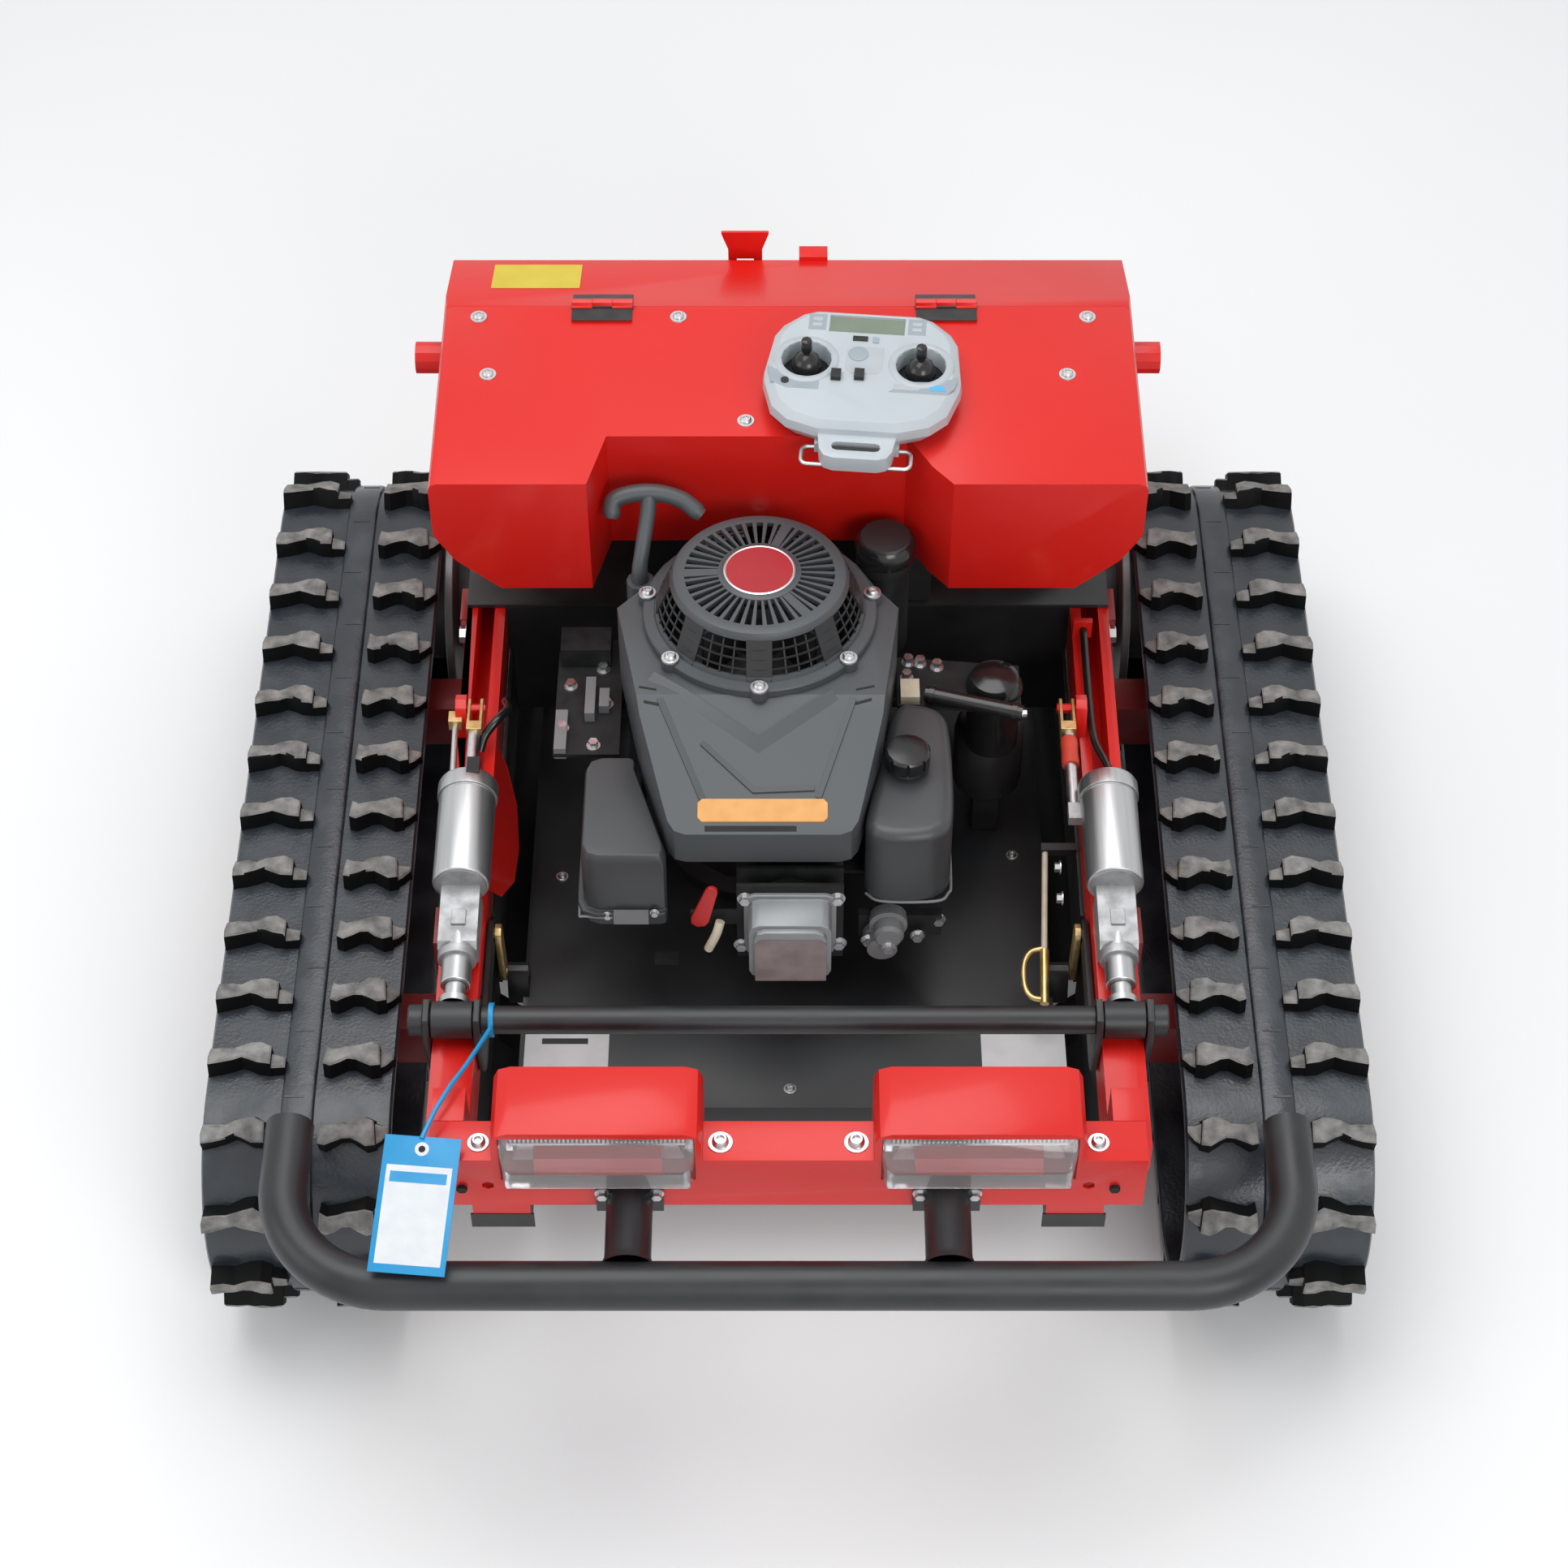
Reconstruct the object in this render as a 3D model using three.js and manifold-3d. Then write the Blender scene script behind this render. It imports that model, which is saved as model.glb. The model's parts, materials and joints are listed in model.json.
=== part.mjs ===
// Remote control slope mower: a tracked carrier with a petrol engine on a lifting cutter deck.
// Millimetres, +Z up, front of the machine towards -Y, origin on the ground under its middle.
import * as THREE from 'three';
import { mergeVertices } from 'three/addons/utils/BufferGeometryUtils.js';
import Module from 'manifold-3d';

const wasm = await Module();
wasm.setup();

// Fits
const rest_gap = 0.3;
const running_gap = 0.5;
const overrun = 2;

// Overall size
const overall_length = 1161;
const half_length = overall_length / 2;
const deck_half_width = 268;
const deck_side_gap = 30;
const arm_width = 40;
const arm_inner_x = deck_half_width + deck_side_gap;
const arm_centre_x = arm_inner_x + arm_width / 2;
const arm_outer_x = arm_inner_x + arm_width;

// Tracks and wheels
const track_width = 180;
const track_arm_gap = 42;
const track_centre_x = arm_outer_x + track_arm_gap + track_width / 2;
const loop_radius = 124;
const belt_thickness = 14;
const lug_height = 21.5;
const lug_count = 30;
const lug_length = 29;
const lug_sink = 3;
const row_width = 74;
const centre_band_width = 27;
const centre_band_rise = 5;
const horn_width = 22;
const horn_height = 17;
const horn_length = 26;
const bumper_overhang = 123;
const wheel_base = overall_length - bumper_overhang - (loop_radius + lug_height) * 2;
const belt_inner_radius = loop_radius - belt_thickness;
const wheel_z = loop_radius + lug_height;
const loop_steps = 8;
const wheel_radius = belt_inner_radius * Math.cos(Math.PI / 2 / loop_steps) - rest_gap;
const sprocket_y = half_length - loop_radius - lug_height;
const idler_y = sprocket_y - wheel_base;
const belt_inner_edge_x = track_centre_x - track_width / 2;

// Main frame
const arm_top_z = 330;
const arm_bottom_z = 262;
const arm_rear_inset = 82.5;
const arm_rear_y = half_length - arm_rear_inset;
const bumper_stand_off = 120.5;
const cross_front_y = bumper_stand_off - half_length;
const cross_depth = 43;
const cross_rear_y = cross_front_y + cross_depth;
const cross_top_z = 375;
const cross_bottom_z = 299;
const cross_inset = 10;
const cross_half_width = arm_outer_x - cross_inset;
const sheet = 4;

// Front bumper
const bumper_radius = 22.5;
const bumper_z = 320;
const bumper_y = bumper_radius - half_length;
const bumper_track_inset = 4;
const bumper_arm_x = track_centre_x - bumper_track_inset;
const bumper_arm_length = 194.5;
const bumper_arm_end_y = bumper_arm_length - half_length;
const bumper_bend = 104;
const stub_inset = 182;
const stub_x = cross_half_width - stub_inset;
const stub_radius = 21.5;
const stub_flange_half = 31;
const stub_flange_sheet = 6;

// Hood
const hood_overhang = 15;
const hood_half_width = arm_outer_x + hood_overhang;
const hood_rear_inset = 37.5;
const hood_door_length = 115;
const hood_length = 253;
const hood_rear_y = half_length - hood_rear_inset;
const hood_seam_y = hood_rear_y - hood_door_length;
const hood_front_y = hood_seam_y - hood_length;
const hood_top_z = 600;
const hood_bottom_z = 450;
const hood_rear_top_z = 560;
const hood_rear_bottom_z = 345;
const hood_wall = 3;

// Deck, in a frame that starts on its rear hinge and tilts with it
const deck_hinge_inset = 135.5;
const deck_hinge_y = half_length - deck_hinge_inset;
const deck_hinge_z = 134;
const deck_tilt_degrees = 4.5;
const pivot_inset = 138;
const pivot_y = cross_rear_y + pivot_inset;
const deck_front_reach = 11;
const deck_front = pivot_y - deck_hinge_y - deck_front_reach;
const deck_rear = -58;
const deck_top = 8;
const deck_sheet = 3;
const crank_x = -28;
const crank_front_reach = 374;
const crank_y = deck_front + crank_front_reach;
const chamber_radius = deck_half_width + crank_x;
const chamber_depth = 100;
const blade_tip_gap = 12;
const blade_radius = chamber_radius - blade_tip_gap;

// Lift linkage
const crossbar_radius = 13.5;
const crossbar_reach = 8;
const crossbar_y = pivot_y - crossbar_reach;
const crossbar_z = 350;
const pivot_z = 285;
const lift_arm_reach = 142;
const rocker_sheet = 6;
const rocker_side_gap = 1;
const pivot_pin_radius = 8;
const link_pin_radius = 5;
const deck_bracket_rise = 22;

// Actuators
const actuator_x = arm_centre_x;
const actuator_z = 350;
const rod_neck_length = 39;
const gearbox_set_back = 16;
const gearbox_length = 82;
const motor_length = 138;
const stem_length = 107;
const outer_tube_front_y = crossbar_y + rod_neck_length;
const gearbox_front_y = outer_tube_front_y + gearbox_set_back;
const gearbox_rear_y = gearbox_front_y + gearbox_length;
const motor_rear_y = gearbox_rear_y + motor_length;
const actuator_rear_y = motor_rear_y + stem_length;
const motor_radius = 28;
const tube_radius = 15;
const sleeve_radius = 18;
const sleeve_play = 2.4;
const bar_end_radius = 10;
const rod_radius = 10;
const actuator_pin_radius = 5;
const motor_z = 366;
const motor_cap_length = 20;
const motor_cap_reach = 2;
const motor_bevel = 4;
const gearbox_half = 19;
const rod_travel = 15;
const clevis_z = 356;
const clevis_half = 8;
const fork_inset = 34;
const fork_x_right = arm_centre_x - fork_inset;
const fork_x_left = arm_centre_x;
const fork_length = 34;
const stem_radius = 6;

// Engine, in a frame that starts on the deck plate at the crankshaft and tilts with the deck
const fan_cover_top = 371;
const shroud_top = 312;
const fan_cover_base = shroud_top;
const fan_cover_radius = 108;
const shroud_front_top = 250;
const shroud_bottom = 212;
const shroud_front = -240;

// Transmitter, in a frame that starts on the hood
const transmitter_x = 74;
const transmitter_inset = 119;
const transmitter_y = hood_front_y + transmitter_inset;
const transmitter_turn_degrees = -5;
const transmitter_height = 34;
const transmitter_foot = 2;

// Materials
const paint = (colour, roughness, metalness) => (
  new THREE.MeshStandardMaterial({ color: colour, roughness, metalness })
);
const red_paint = paint(0xd3161b, 0.25, 0.1);
const dark_red_paint = paint(0x8c0f14, 0.45, 0.1);
const black_paint = paint(0x17181a, 0.45, 0.2);
const black_plastic = paint(0x1b1c1e, 0.5, 0);
const track_rubber = paint(0x1a1d20, 0.75, 0);
const grey_paint = paint(0x6b6e72, 0.5, 0.3);
const cast_aluminium = paint(0xb9babc, 0.4, 0.8);
const bright_steel = paint(0xc9cacb, 0.3, 0.9);
const zinc_yellow = paint(0xc9a24a, 0.35, 0.8);
const lamp_plastic = paint(0xe6e8ea, 0.1, 0);
const pale_grey_plastic = paint(0xd9dcdf, 0.4, 0);
const tag_blue = paint(0x1f9fd6, 0.5, 0);
const choke_red = paint(0xc2262b, 0.5, 0);

// Sides of a round form, by its size
const fine_sides = 22;
const round_sides = 16;
const small_sides = 12;
const pin_sides = 8;
const hole_sides = 6;

// Solids from geometry, and back
const merge_share = 1e-4;

function solidOf(geometry) {
  const bare = geometry.index ? geometry.toNonIndexed() : geometry.clone();
  bare.deleteAttribute('normal');
  bare.deleteAttribute('uv');
  const merged = mergeVertices(bare, merge_share);
  const places = merged.attributes.position.array;
  const corners = merged.index.array;
  const kept = [];
  let volume = 0;
  const a = new THREE.Vector3();
  const b = new THREE.Vector3();
  const c = new THREE.Vector3();
  for (let i = 0; i < corners.length; i += 3) {
    const [p, q, r] = [corners[i], corners[i + 1], corners[i + 2]];
    if (p === q || q === r || r === p) {
      continue;
    }
    kept.push(p, q, r);
    a.fromArray(places, p * 3);
    b.fromArray(places, q * 3);
    c.fromArray(places, r * 3);
    volume += a.dot(b.cross(c));
  }
  if (volume < 0) {
    for (let i = 0; i < kept.length; i += 3) {
      [kept[i], kept[i + 1]] = [kept[i + 1], kept[i]];
    }
  }
  const mesh = new wasm.Mesh({
    numProp: 3,
    vertProperties: new Float32Array(places),
    triVerts: new Uint32Array(kept),
  });
  return new wasm.Manifold(mesh);
}

function geometryOf(solid) {
  const mesh = solid.getMesh();
  const geometry = new THREE.BufferGeometry();
  geometry.setAttribute('position', new THREE.BufferAttribute(mesh.vertProperties, 3));
  geometry.setIndex(new THREE.BufferAttribute(mesh.triVerts, 1));
  return geometry;
}

function joined(...geometries) {
  return geometryOf(geometries.map(solidOf).reduce((whole, next) => whole.add(next)));
}

function cut(base, ...tools) {
  return geometryOf(tools.map(solidOf).reduce((whole, next) => whole.subtract(next), solidOf(base)));
}

function common(first, second) {
  return geometryOf(solidOf(first).intersect(solidOf(second)));
}

function mirrored(geometry) {
  return geometryOf(solidOf(geometry.clone().scale(-1, 1, 1)));
}

// Basic forms, each closed, placed by its own coordinates
function block(x0, x1, y0, y1, z0, z1) {
  const box = new THREE.BoxGeometry(x1 - x0, y1 - y0, z1 - z0);
  return box.translate((x0 + x1) / 2, (y0 + y1) / 2, (z0 + z1) / 2);
}

// Turns a form made along +Z so that it runs along the named axis instead
const along = {
  x: new THREE.Matrix4().set(0, 0, 1, 0, 1, 0, 0, 0, 0, 1, 0, 0, 0, 0, 0, 1),
  y: new THREE.Matrix4().set(1, 0, 0, 0, 0, 0, 1, 0, 0, 1, 0, 0, 0, 0, 0, 1),
  z: new THREE.Matrix4(),
};

// An outline pushed from one place to another along an axis; its points are the other two coordinates
function prism(axis, points, from, to) {
  const shape = new THREE.Shape(points.map(([u, v]) => new THREE.Vector2(u, v)));
  const body = new THREE.ExtrudeGeometry(shape, { depth: to - from, bevelEnabled: false });
  return body.translate(0, 0, from).applyMatrix4(along[axis]);
}

// A profile of [radius, place along the axis] turned round an axis through the point (u, v)
function turned(axis, profile, u, v, sides) {
  const points = profile.map(([radius, place]) => new THREE.Vector2(radius, place));
  const body = new THREE.LatheGeometry(points, sides);
  return body.rotateX(Math.PI / 2).translate(u, v, 0).applyMatrix4(along[axis]);
}

function disc(axis, radius, from, to, u, v, sides) {
  return turned(axis, [[0, from], [radius, from], [radius, to], [0, to]], u, v, sides);
}

function ring(axis, inner, outer, from, to, u, v, sides) {
  const profile = [[inner, from], [outer, from], [outer, to], [inner, to], [inner, from]];
  return turned(axis, profile, u, v, sides);
}

// A closed outline with every corner rounded, or each by its own radius
function rounded(points, radius, steps = 2) {
  const outline = [];
  points.forEach(([x, y], index) => {
    const before = points[(index + points.length - 1) % points.length];
    const after = points[(index + 1) % points.length];
    const size = Array.isArray(radius) ? radius[index] : radius;
    if (size === 0) {
      outline.push([x, y]);
      return;
    }
    const here = new THREE.Vector2(x, y);
    const back = new THREE.Vector2(...before).sub(here).normalize();
    const ahead = new THREE.Vector2(...after).sub(here).normalize();
    const half_angle = Math.acos(THREE.MathUtils.clamp(back.dot(ahead), -1, 1)) / 2;
    const reach = size / Math.tan(half_angle);
    const start = here.clone().addScaledVector(back, reach);
    const end = here.clone().addScaledVector(ahead, reach);
    const centre = back.clone().add(ahead).normalize().multiplyScalar(size / Math.sin(half_angle)).add(here);
    const first = Math.atan2(start.y - centre.y, start.x - centre.x);
    let turn = Math.atan2(end.y - centre.y, end.x - centre.x) - first;
    turn = Math.atan2(Math.sin(turn), Math.cos(turn));
    for (let step = 0; step <= steps; step += 1) {
      const angle = first + turn * step / steps;
      outline.push([centre.x + size * Math.cos(angle), centre.y + size * Math.sin(angle)]);
    }
  });
  return outline;
}

function rectangle(u0, u1, v0, v1) {
  return [[u0, v0], [u1, v0], [u1, v1], [u0, v1]];
}

// The outline of a flat bar with round ends: a circle about each point, joined by straight edges
function strap(from, to, from_radius, to_radius, steps = 4) {
  const heading = Math.atan2(to[1] - from[1], to[0] - from[0]);
  const reach = Math.hypot(to[0] - from[0], to[1] - from[1]);
  const lean = Math.asin((from_radius - to_radius) / reach);
  const points = [];
  const arc = (centre, radius, first, last) => {
    for (let step = 0; step <= steps; step += 1) {
      const angle = first + (last - first) * step / steps;
      points.push([centre[0] + radius * Math.cos(angle), centre[1] + radius * Math.sin(angle)]);
    }
  };
  const quarter = Math.PI / 2;
  arc(to, to_radius, heading - quarter + lean, heading + quarter - lean);
  arc(from, from_radius, heading + quarter - lean, heading + Math.PI + quarter + lean);
  return points;
}

// A straight-sided form between two outlines of as many points, at two heights
function loft(lower, upper, z0, z1) {
  const count = lower.length;
  const places = [];
  lower.forEach(([x, y]) => places.push(x, y, z0));
  upper.forEach(([x, y]) => places.push(x, y, z1));
  const corners = [];
  const flat = lower.map(([x, y]) => new THREE.Vector2(x, y));
  THREE.ShapeUtils.triangulateShape(flat, []).forEach(([p, q, r]) => {
    corners.push(r, q, p, p + count, q + count, r + count);
  });
  for (let i = 0; i < count; i += 1) {
    const next = (i + 1) % count;
    corners.push(i, next, next + count, i, next + count, i + count);
  }
  const geometry = new THREE.BufferGeometry();
  geometry.setAttribute('position', new THREE.Float32BufferAttribute(places, 3));
  geometry.setIndex(corners);
  return geometry;
}

// A round tube through a row of places, with flat ends
function tube(places, radius, sides) {
  const points = places.map((place) => new THREE.Vector3(...place));
  const last = points.length - 1;
  const across = new THREE.Vector3().subVectors(points[1], points[0]).normalize();
  across.set(across.z, across.x, across.y);
  const corners = [];
  const faces = [];
  points.forEach((point, index) => {
    const tangent = new THREE.Vector3();
    if (index > 0) {
      tangent.add(new THREE.Vector3().subVectors(point, points[index - 1]).normalize());
    }
    if (index < last) {
      tangent.add(new THREE.Vector3().subVectors(points[index + 1], point).normalize());
    }
    tangent.normalize();
    across.addScaledVector(tangent, -across.dot(tangent)).normalize();
    const up = new THREE.Vector3().crossVectors(tangent, across);
    for (let side = 0; side < sides; side += 1) {
      const angle = Math.PI * 2 * side / sides;
      const corner = point.clone()
        .addScaledVector(across, radius * Math.cos(angle))
        .addScaledVector(up, radius * Math.sin(angle));
      corners.push(corner.x, corner.y, corner.z);
      const next = (side + 1) % sides;
      if (index > 0) {
        const here = index * sides;
        const before = here - sides;
        faces.push(before + side, before + next, here + next, before + side, here + next, here + side);
      }
    }
  });
  for (let side = 1; side < sides - 1; side += 1) {
    faces.push(0, side + 1, side, last * sides, last * sides + side, last * sides + side + 1);
  }
  const geometry = new THREE.BufferGeometry();
  geometry.setAttribute('position', new THREE.Float32BufferAttribute(corners, 3));
  geometry.setIndex(faces);
  return geometry;
}

const arc_share = 0.5523;

// The places of a path through straight runs, whose corners bend by the given reach
function bentPath(points, bend, steps) {
  const places = points.map((point) => new THREE.Vector3(...point));
  const path = [places[0]];
  for (let i = 1; i < places.length - 1; i += 1) {
    const corner = places[i];
    const back = new THREE.Vector3().subVectors(places[i - 1], corner).normalize();
    const ahead = new THREE.Vector3().subVectors(places[i + 1], corner).normalize();
    const start = corner.clone().addScaledVector(back, bend);
    const end = corner.clone().addScaledVector(ahead, bend);
    const arc = new THREE.CubicBezierCurve3(
      start,
      start.clone().lerp(corner, arc_share),
      end.clone().lerp(corner, arc_share),
      end,
    );
    path.push(...arc.getPoints(steps));
  }
  path.push(places[places.length - 1]);
  return path.map((place) => place.toArray());
}

// The places of a smooth path through the given ones
function smoothPath(points, steps) {
  const curve = new THREE.CatmullRomCurve3(points.map((point) => new THREE.Vector3(...point)));
  return curve.getSpacedPoints(steps).map((place) => place.toArray());
}

const mower = new THREE.Group();

function piece(name, geometry, material, parent = mower) {
  const mesh = new THREE.Mesh(geometryOf(solidOf(geometry)), material);
  mesh.name = name;
  parent.add(mesh);
  return mesh;
}

// Rubber track: a belt loop with two rows of wavy lugs, a raised centre band and guide horns inside

// The place of a lug round the loop: how far along the flat run or round which wheel, and its turn
function placeOnLoop(distance, radius) {
  const half_turn = Math.PI * loop_radius;
  const lap = 2 * (wheel_base + half_turn);
  const along_loop = ((distance % lap) + lap) % lap;
  if (along_loop < wheel_base) {
    return [sprocket_y - along_loop, wheel_z + radius, 0];
  }
  if (along_loop < wheel_base + half_turn) {
    const angle = (along_loop - wheel_base) / loop_radius;
    return [idler_y - radius * Math.sin(angle), wheel_z + radius * Math.cos(angle), angle];
  }
  if (along_loop < 2 * wheel_base + half_turn) {
    return [idler_y + along_loop - wheel_base - half_turn, wheel_z - radius, Math.PI];
  }
  const angle = (along_loop - 2 * wheel_base - half_turn) / loop_radius;
  return [sprocket_y + radius * Math.sin(angle), wheel_z - radius * Math.cos(angle), Math.PI + angle];
}

function onLoop(geometry, distance, radius, x) {
  const [y, z, turn] = placeOnLoop(distance, radius);
  return geometry.rotateX(turn).translate(x, y, z);
}

function loopOutline(radius, steps) {
  const points = [];
  for (let step = 0; step <= steps; step += 1) {
    const angle = Math.PI * step / steps;
    points.push([idler_y - radius * Math.sin(angle), wheel_z + radius * Math.cos(angle)]);
  }
  for (let step = 0; step <= steps; step += 1) {
    const angle = Math.PI * step / steps;
    points.push([sprocket_y + radius * Math.sin(angle), wheel_z - radius * Math.cos(angle)]);
  }
  return points;
}

// Wavy lug outlines as shares of half its width and half its length
const outer_lug_shares = [
  [-1, 0.2], [-0.94, -0.8], [0.05, -0.3], [1, -0.75], [0.94, 0.45], [-0.35, 1],
];
const inner_lug_shares = [
  [-1, 0.1], [-0.7, -0.9], [0.05, -0.35], [0.8, -0.95], [0.9, 0.6], [-0.6, 1],
];
const lug_draft_share = 1.14;

function lug(shares) {
  const top = shares.map(([u, v]) => [u * row_width / 2, v * lug_length / 2]);
  const foot = top.map(([x, y]) => [x, y * lug_draft_share]);
  return loft(foot, top, -lug_sink, lug_height);
}

function buildTrack() {
  const half_width = track_width / 2;
  const outer = loopOutline(loop_radius, loop_steps);
  const inner = loopOutline(belt_inner_radius, loop_steps);
  const band = loopOutline(loop_radius + centre_band_rise, loop_steps);
  const belt = cut(
    joined(
      prism('x', outer, track_centre_x - half_width, track_centre_x + half_width),
      prism('x', band, track_centre_x - centre_band_width / 2, track_centre_x + centre_band_width / 2),
    ),
    prism('x', inner, track_centre_x - half_width - overrun, track_centre_x + half_width + overrun),
  );
  let whole = solidOf(belt);
  const pitch = 2 * (wheel_base + Math.PI * loop_radius) / lug_count;
  const row_centre = half_width - row_width / 2;
  for (let index = 0; index < lug_count; index += 1) {
    const distance = pitch * (index + 0.5);
    const outer_lug = onLoop(lug(outer_lug_shares), distance, loop_radius, track_centre_x + row_centre);
    const inner_lug = onLoop(lug(inner_lug_shares), distance, loop_radius, track_centre_x - row_centre);
    const horn = block(
      -horn_width / 2, horn_width / 2,
      -horn_length / 2, horn_length / 2,
      -horn_height, lug_sink,
    );
    const guide = onLoop(horn, distance, belt_inner_radius, track_centre_x);
    whole = whole.add(solidOf(outer_lug)).add(solidOf(inner_lug)).add(solidOf(guide));
  }
  return geometryOf(whole);
}

// Wheels inside the track: each has two rims that run either side of the guide horns
const wheel_rim_width = 34;
const wheel_horn_gap = 5;
const wheel_half_width = horn_width / 2 + wheel_horn_gap + wheel_rim_width;
const hub_radius = 26;
const centre_plate_half = 5;
const roller_radius = 36;
const roller_hub_radius = 14;
const roller_front_reach = 162;
const roller_rear_reach = 205;
const first_roller_y = idler_y + roller_front_reach;
const last_roller_y = sprocket_y - roller_rear_reach;
const roller_y = [first_roller_y, (first_roller_y + last_roller_y) / 2, last_roller_y];

const web_inset_share = 0.3;
const rim_share = 0.16;
const idler_hole_count = 5;
const idler_hole_share = 0.16;
const idler_hole_ring_share = 0.58;

function twinWheel(radius, hub, sides, rim) {
  const inner_face = horn_width / 2 + wheel_horn_gap;
  const web = wheel_half_width - wheel_rim_width * web_inset_share;
  const plain_face = [[0, wheel_half_width]];
  const dished_face = [[radius - rim, wheel_half_width], [radius - rim, web], [0, web]];
  const dish = rim > 0 ? dished_face : plain_face;
  const half = [
    [hub, 0],
    [hub, inner_face],
    [radius, inner_face],
    [radius, wheel_half_width],
    ...dish,
  ];
  const other = half.map(([r, place]) => [r, -place]).reverse();
  return turned('x', [...other.slice(0, -1), ...half.slice(1)], 0, 0, sides);
}

function buildIdler() {
  const wheel = twinWheel(wheel_radius, hub_radius, fine_sides, wheel_radius * rim_share);
  const holes = [];
  const hole_radius = wheel_radius * idler_hole_share;
  const hole_ring = wheel_radius * idler_hole_ring_share;
  for (let index = 0; index < idler_hole_count; index += 1) {
    const angle = Math.PI * 2 * index / idler_hole_count;
    holes.push(disc(
      'x', hole_radius, horn_width / 2, wheel_half_width + overrun,
      hole_ring * Math.cos(angle), hole_ring * Math.sin(angle), hole_sides,
    ));
  }
  return cut(wheel, ...holes);
}

// The drive wheel also has a wide flange inboard of the belt and a drum that holds the drive motor
const drum_radius = 66;
const motor_bore_radius = 54;
const flange_radius = 116;
const flange_width = 9;
const flange_belt_gap = 3;
const motor_reach_share = 0.8;
const sprocket_rim_share = 0.12;
const bore_end = wheel_half_width - wheel_rim_width * motor_reach_share;

function buildSprocket() {
  const flange_out = belt_inner_edge_x - track_centre_x - flange_belt_gap;
  const flange_in = flange_out - flange_width;
  const inner_face = horn_width / 2 + wheel_horn_gap;
  const rim = wheel_radius * sprocket_rim_share;
  const outline = [
    [0, bore_end],
    [motor_bore_radius, bore_end],
    [motor_bore_radius, flange_in],
    [flange_radius, flange_in],
    [flange_radius, flange_out],
    [drum_radius, flange_out],
    [drum_radius, -wheel_half_width],
    [wheel_radius, -wheel_half_width],
    [wheel_radius, -inner_face],
    [drum_radius, -inner_face],
    [drum_radius, inner_face],
    [wheel_radius, inner_face],
    [wheel_radius - rim, wheel_half_width],
    [0, wheel_half_width - rim],
  ];
  return turned('x', outline, 0, 0, fine_sides);
}

// Drive motor: a flanged drum bolted to the side arm, reaching into the drive wheel
const motor_flange_radius = 67;

function buildDriveMotor() {
  const body_radius = motor_bore_radius * Math.cos(Math.PI / fine_sides) - running_gap;
  const foot = arm_outer_x + rest_gap;
  const flange_end = foot + sheet * 2;
  const end = track_centre_x + bore_end - running_gap;
  const profile = [
    [0, foot],
    [motor_flange_radius, foot],
    [motor_flange_radius, flange_end],
    [body_radius, flange_end],
    [body_radius, end],
    [0, end],
  ];
  return turned('x', profile, sprocket_y, wheel_z, round_sides);
}

// Track frame: a beam between the wheels with a centre plate that carries their axles
const beam_half_height = 30;
const beam_half_width = 32;
const beam_gap = 14;
const fork_share = 1.7;
const hanger_foot_share = 1.25;
const hanger_head_share = 0.7;
const bracket_half = 22;

function buildTrackFrame() {
  const beam_front = idler_y + wheel_radius + beam_gap;
  const beam_rear = sprocket_y - flange_radius - beam_gap;
  const beam = block(
    track_centre_x - beam_half_width, track_centre_x + beam_half_width,
    beam_front, beam_rear,
    wheel_z - beam_half_height, wheel_z + beam_half_height,
  );
  const plate_from = track_centre_x - centre_plate_half;
  const plate_to = track_centre_x + centre_plate_half;
  const fork_radius = hub_radius * fork_share;
  const fork_rear_y = beam_front + beam_gap;
  const fork_outline = strap([idler_y, wheel_z], [fork_rear_y, wheel_z], fork_radius, beam_half_height);
  const fork = prism('x', fork_outline, plate_from, plate_to);
  const roller_z = wheel_z - belt_inner_radius + rest_gap + roller_radius;
  const hangers = roller_y.map((y) => prism(
    'x',
    strap(
      [y, roller_z],
      [y, wheel_z],
      roller_hub_radius * hanger_foot_share,
      roller_radius * hanger_head_share,
      3,
    ),
    plate_from,
    plate_to,
  ));
  const bracket_reach = track_centre_x - beam_half_width + overrun;
  const bracket_places = [beam_front + roller_radius, beam_rear - roller_radius];
  const brackets = bracket_places.map((y) => block(
    arm_outer_x + rest_gap, bracket_reach,
    y - bracket_half, y + bracket_half,
    wheel_z - beam_half_height, wheel_z + beam_half_height,
  ));
  const uprights = bracket_places.map((y) => block(
    arm_outer_x + rest_gap, arm_outer_x + rest_gap + sheet * 2,
    y - bracket_half, y + bracket_half,
    wheel_z - beam_half_height, arm_top_z - sheet * 2,
  ));
  const idler_bore = disc(
    'x', hub_radius + running_gap, plate_from - overrun, plate_to + overrun, idler_y, wheel_z, fine_sides,
  );
  const roller_bores = roller_y.map((y) => disc(
    'x', roller_hub_radius + running_gap, plate_from - overrun, plate_to + overrun, y, roller_z, small_sides,
  ));
  return cut(joined(beam, fork, ...hangers, ...brackets, ...uprights), idler_bore, ...roller_bores);
}

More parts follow.
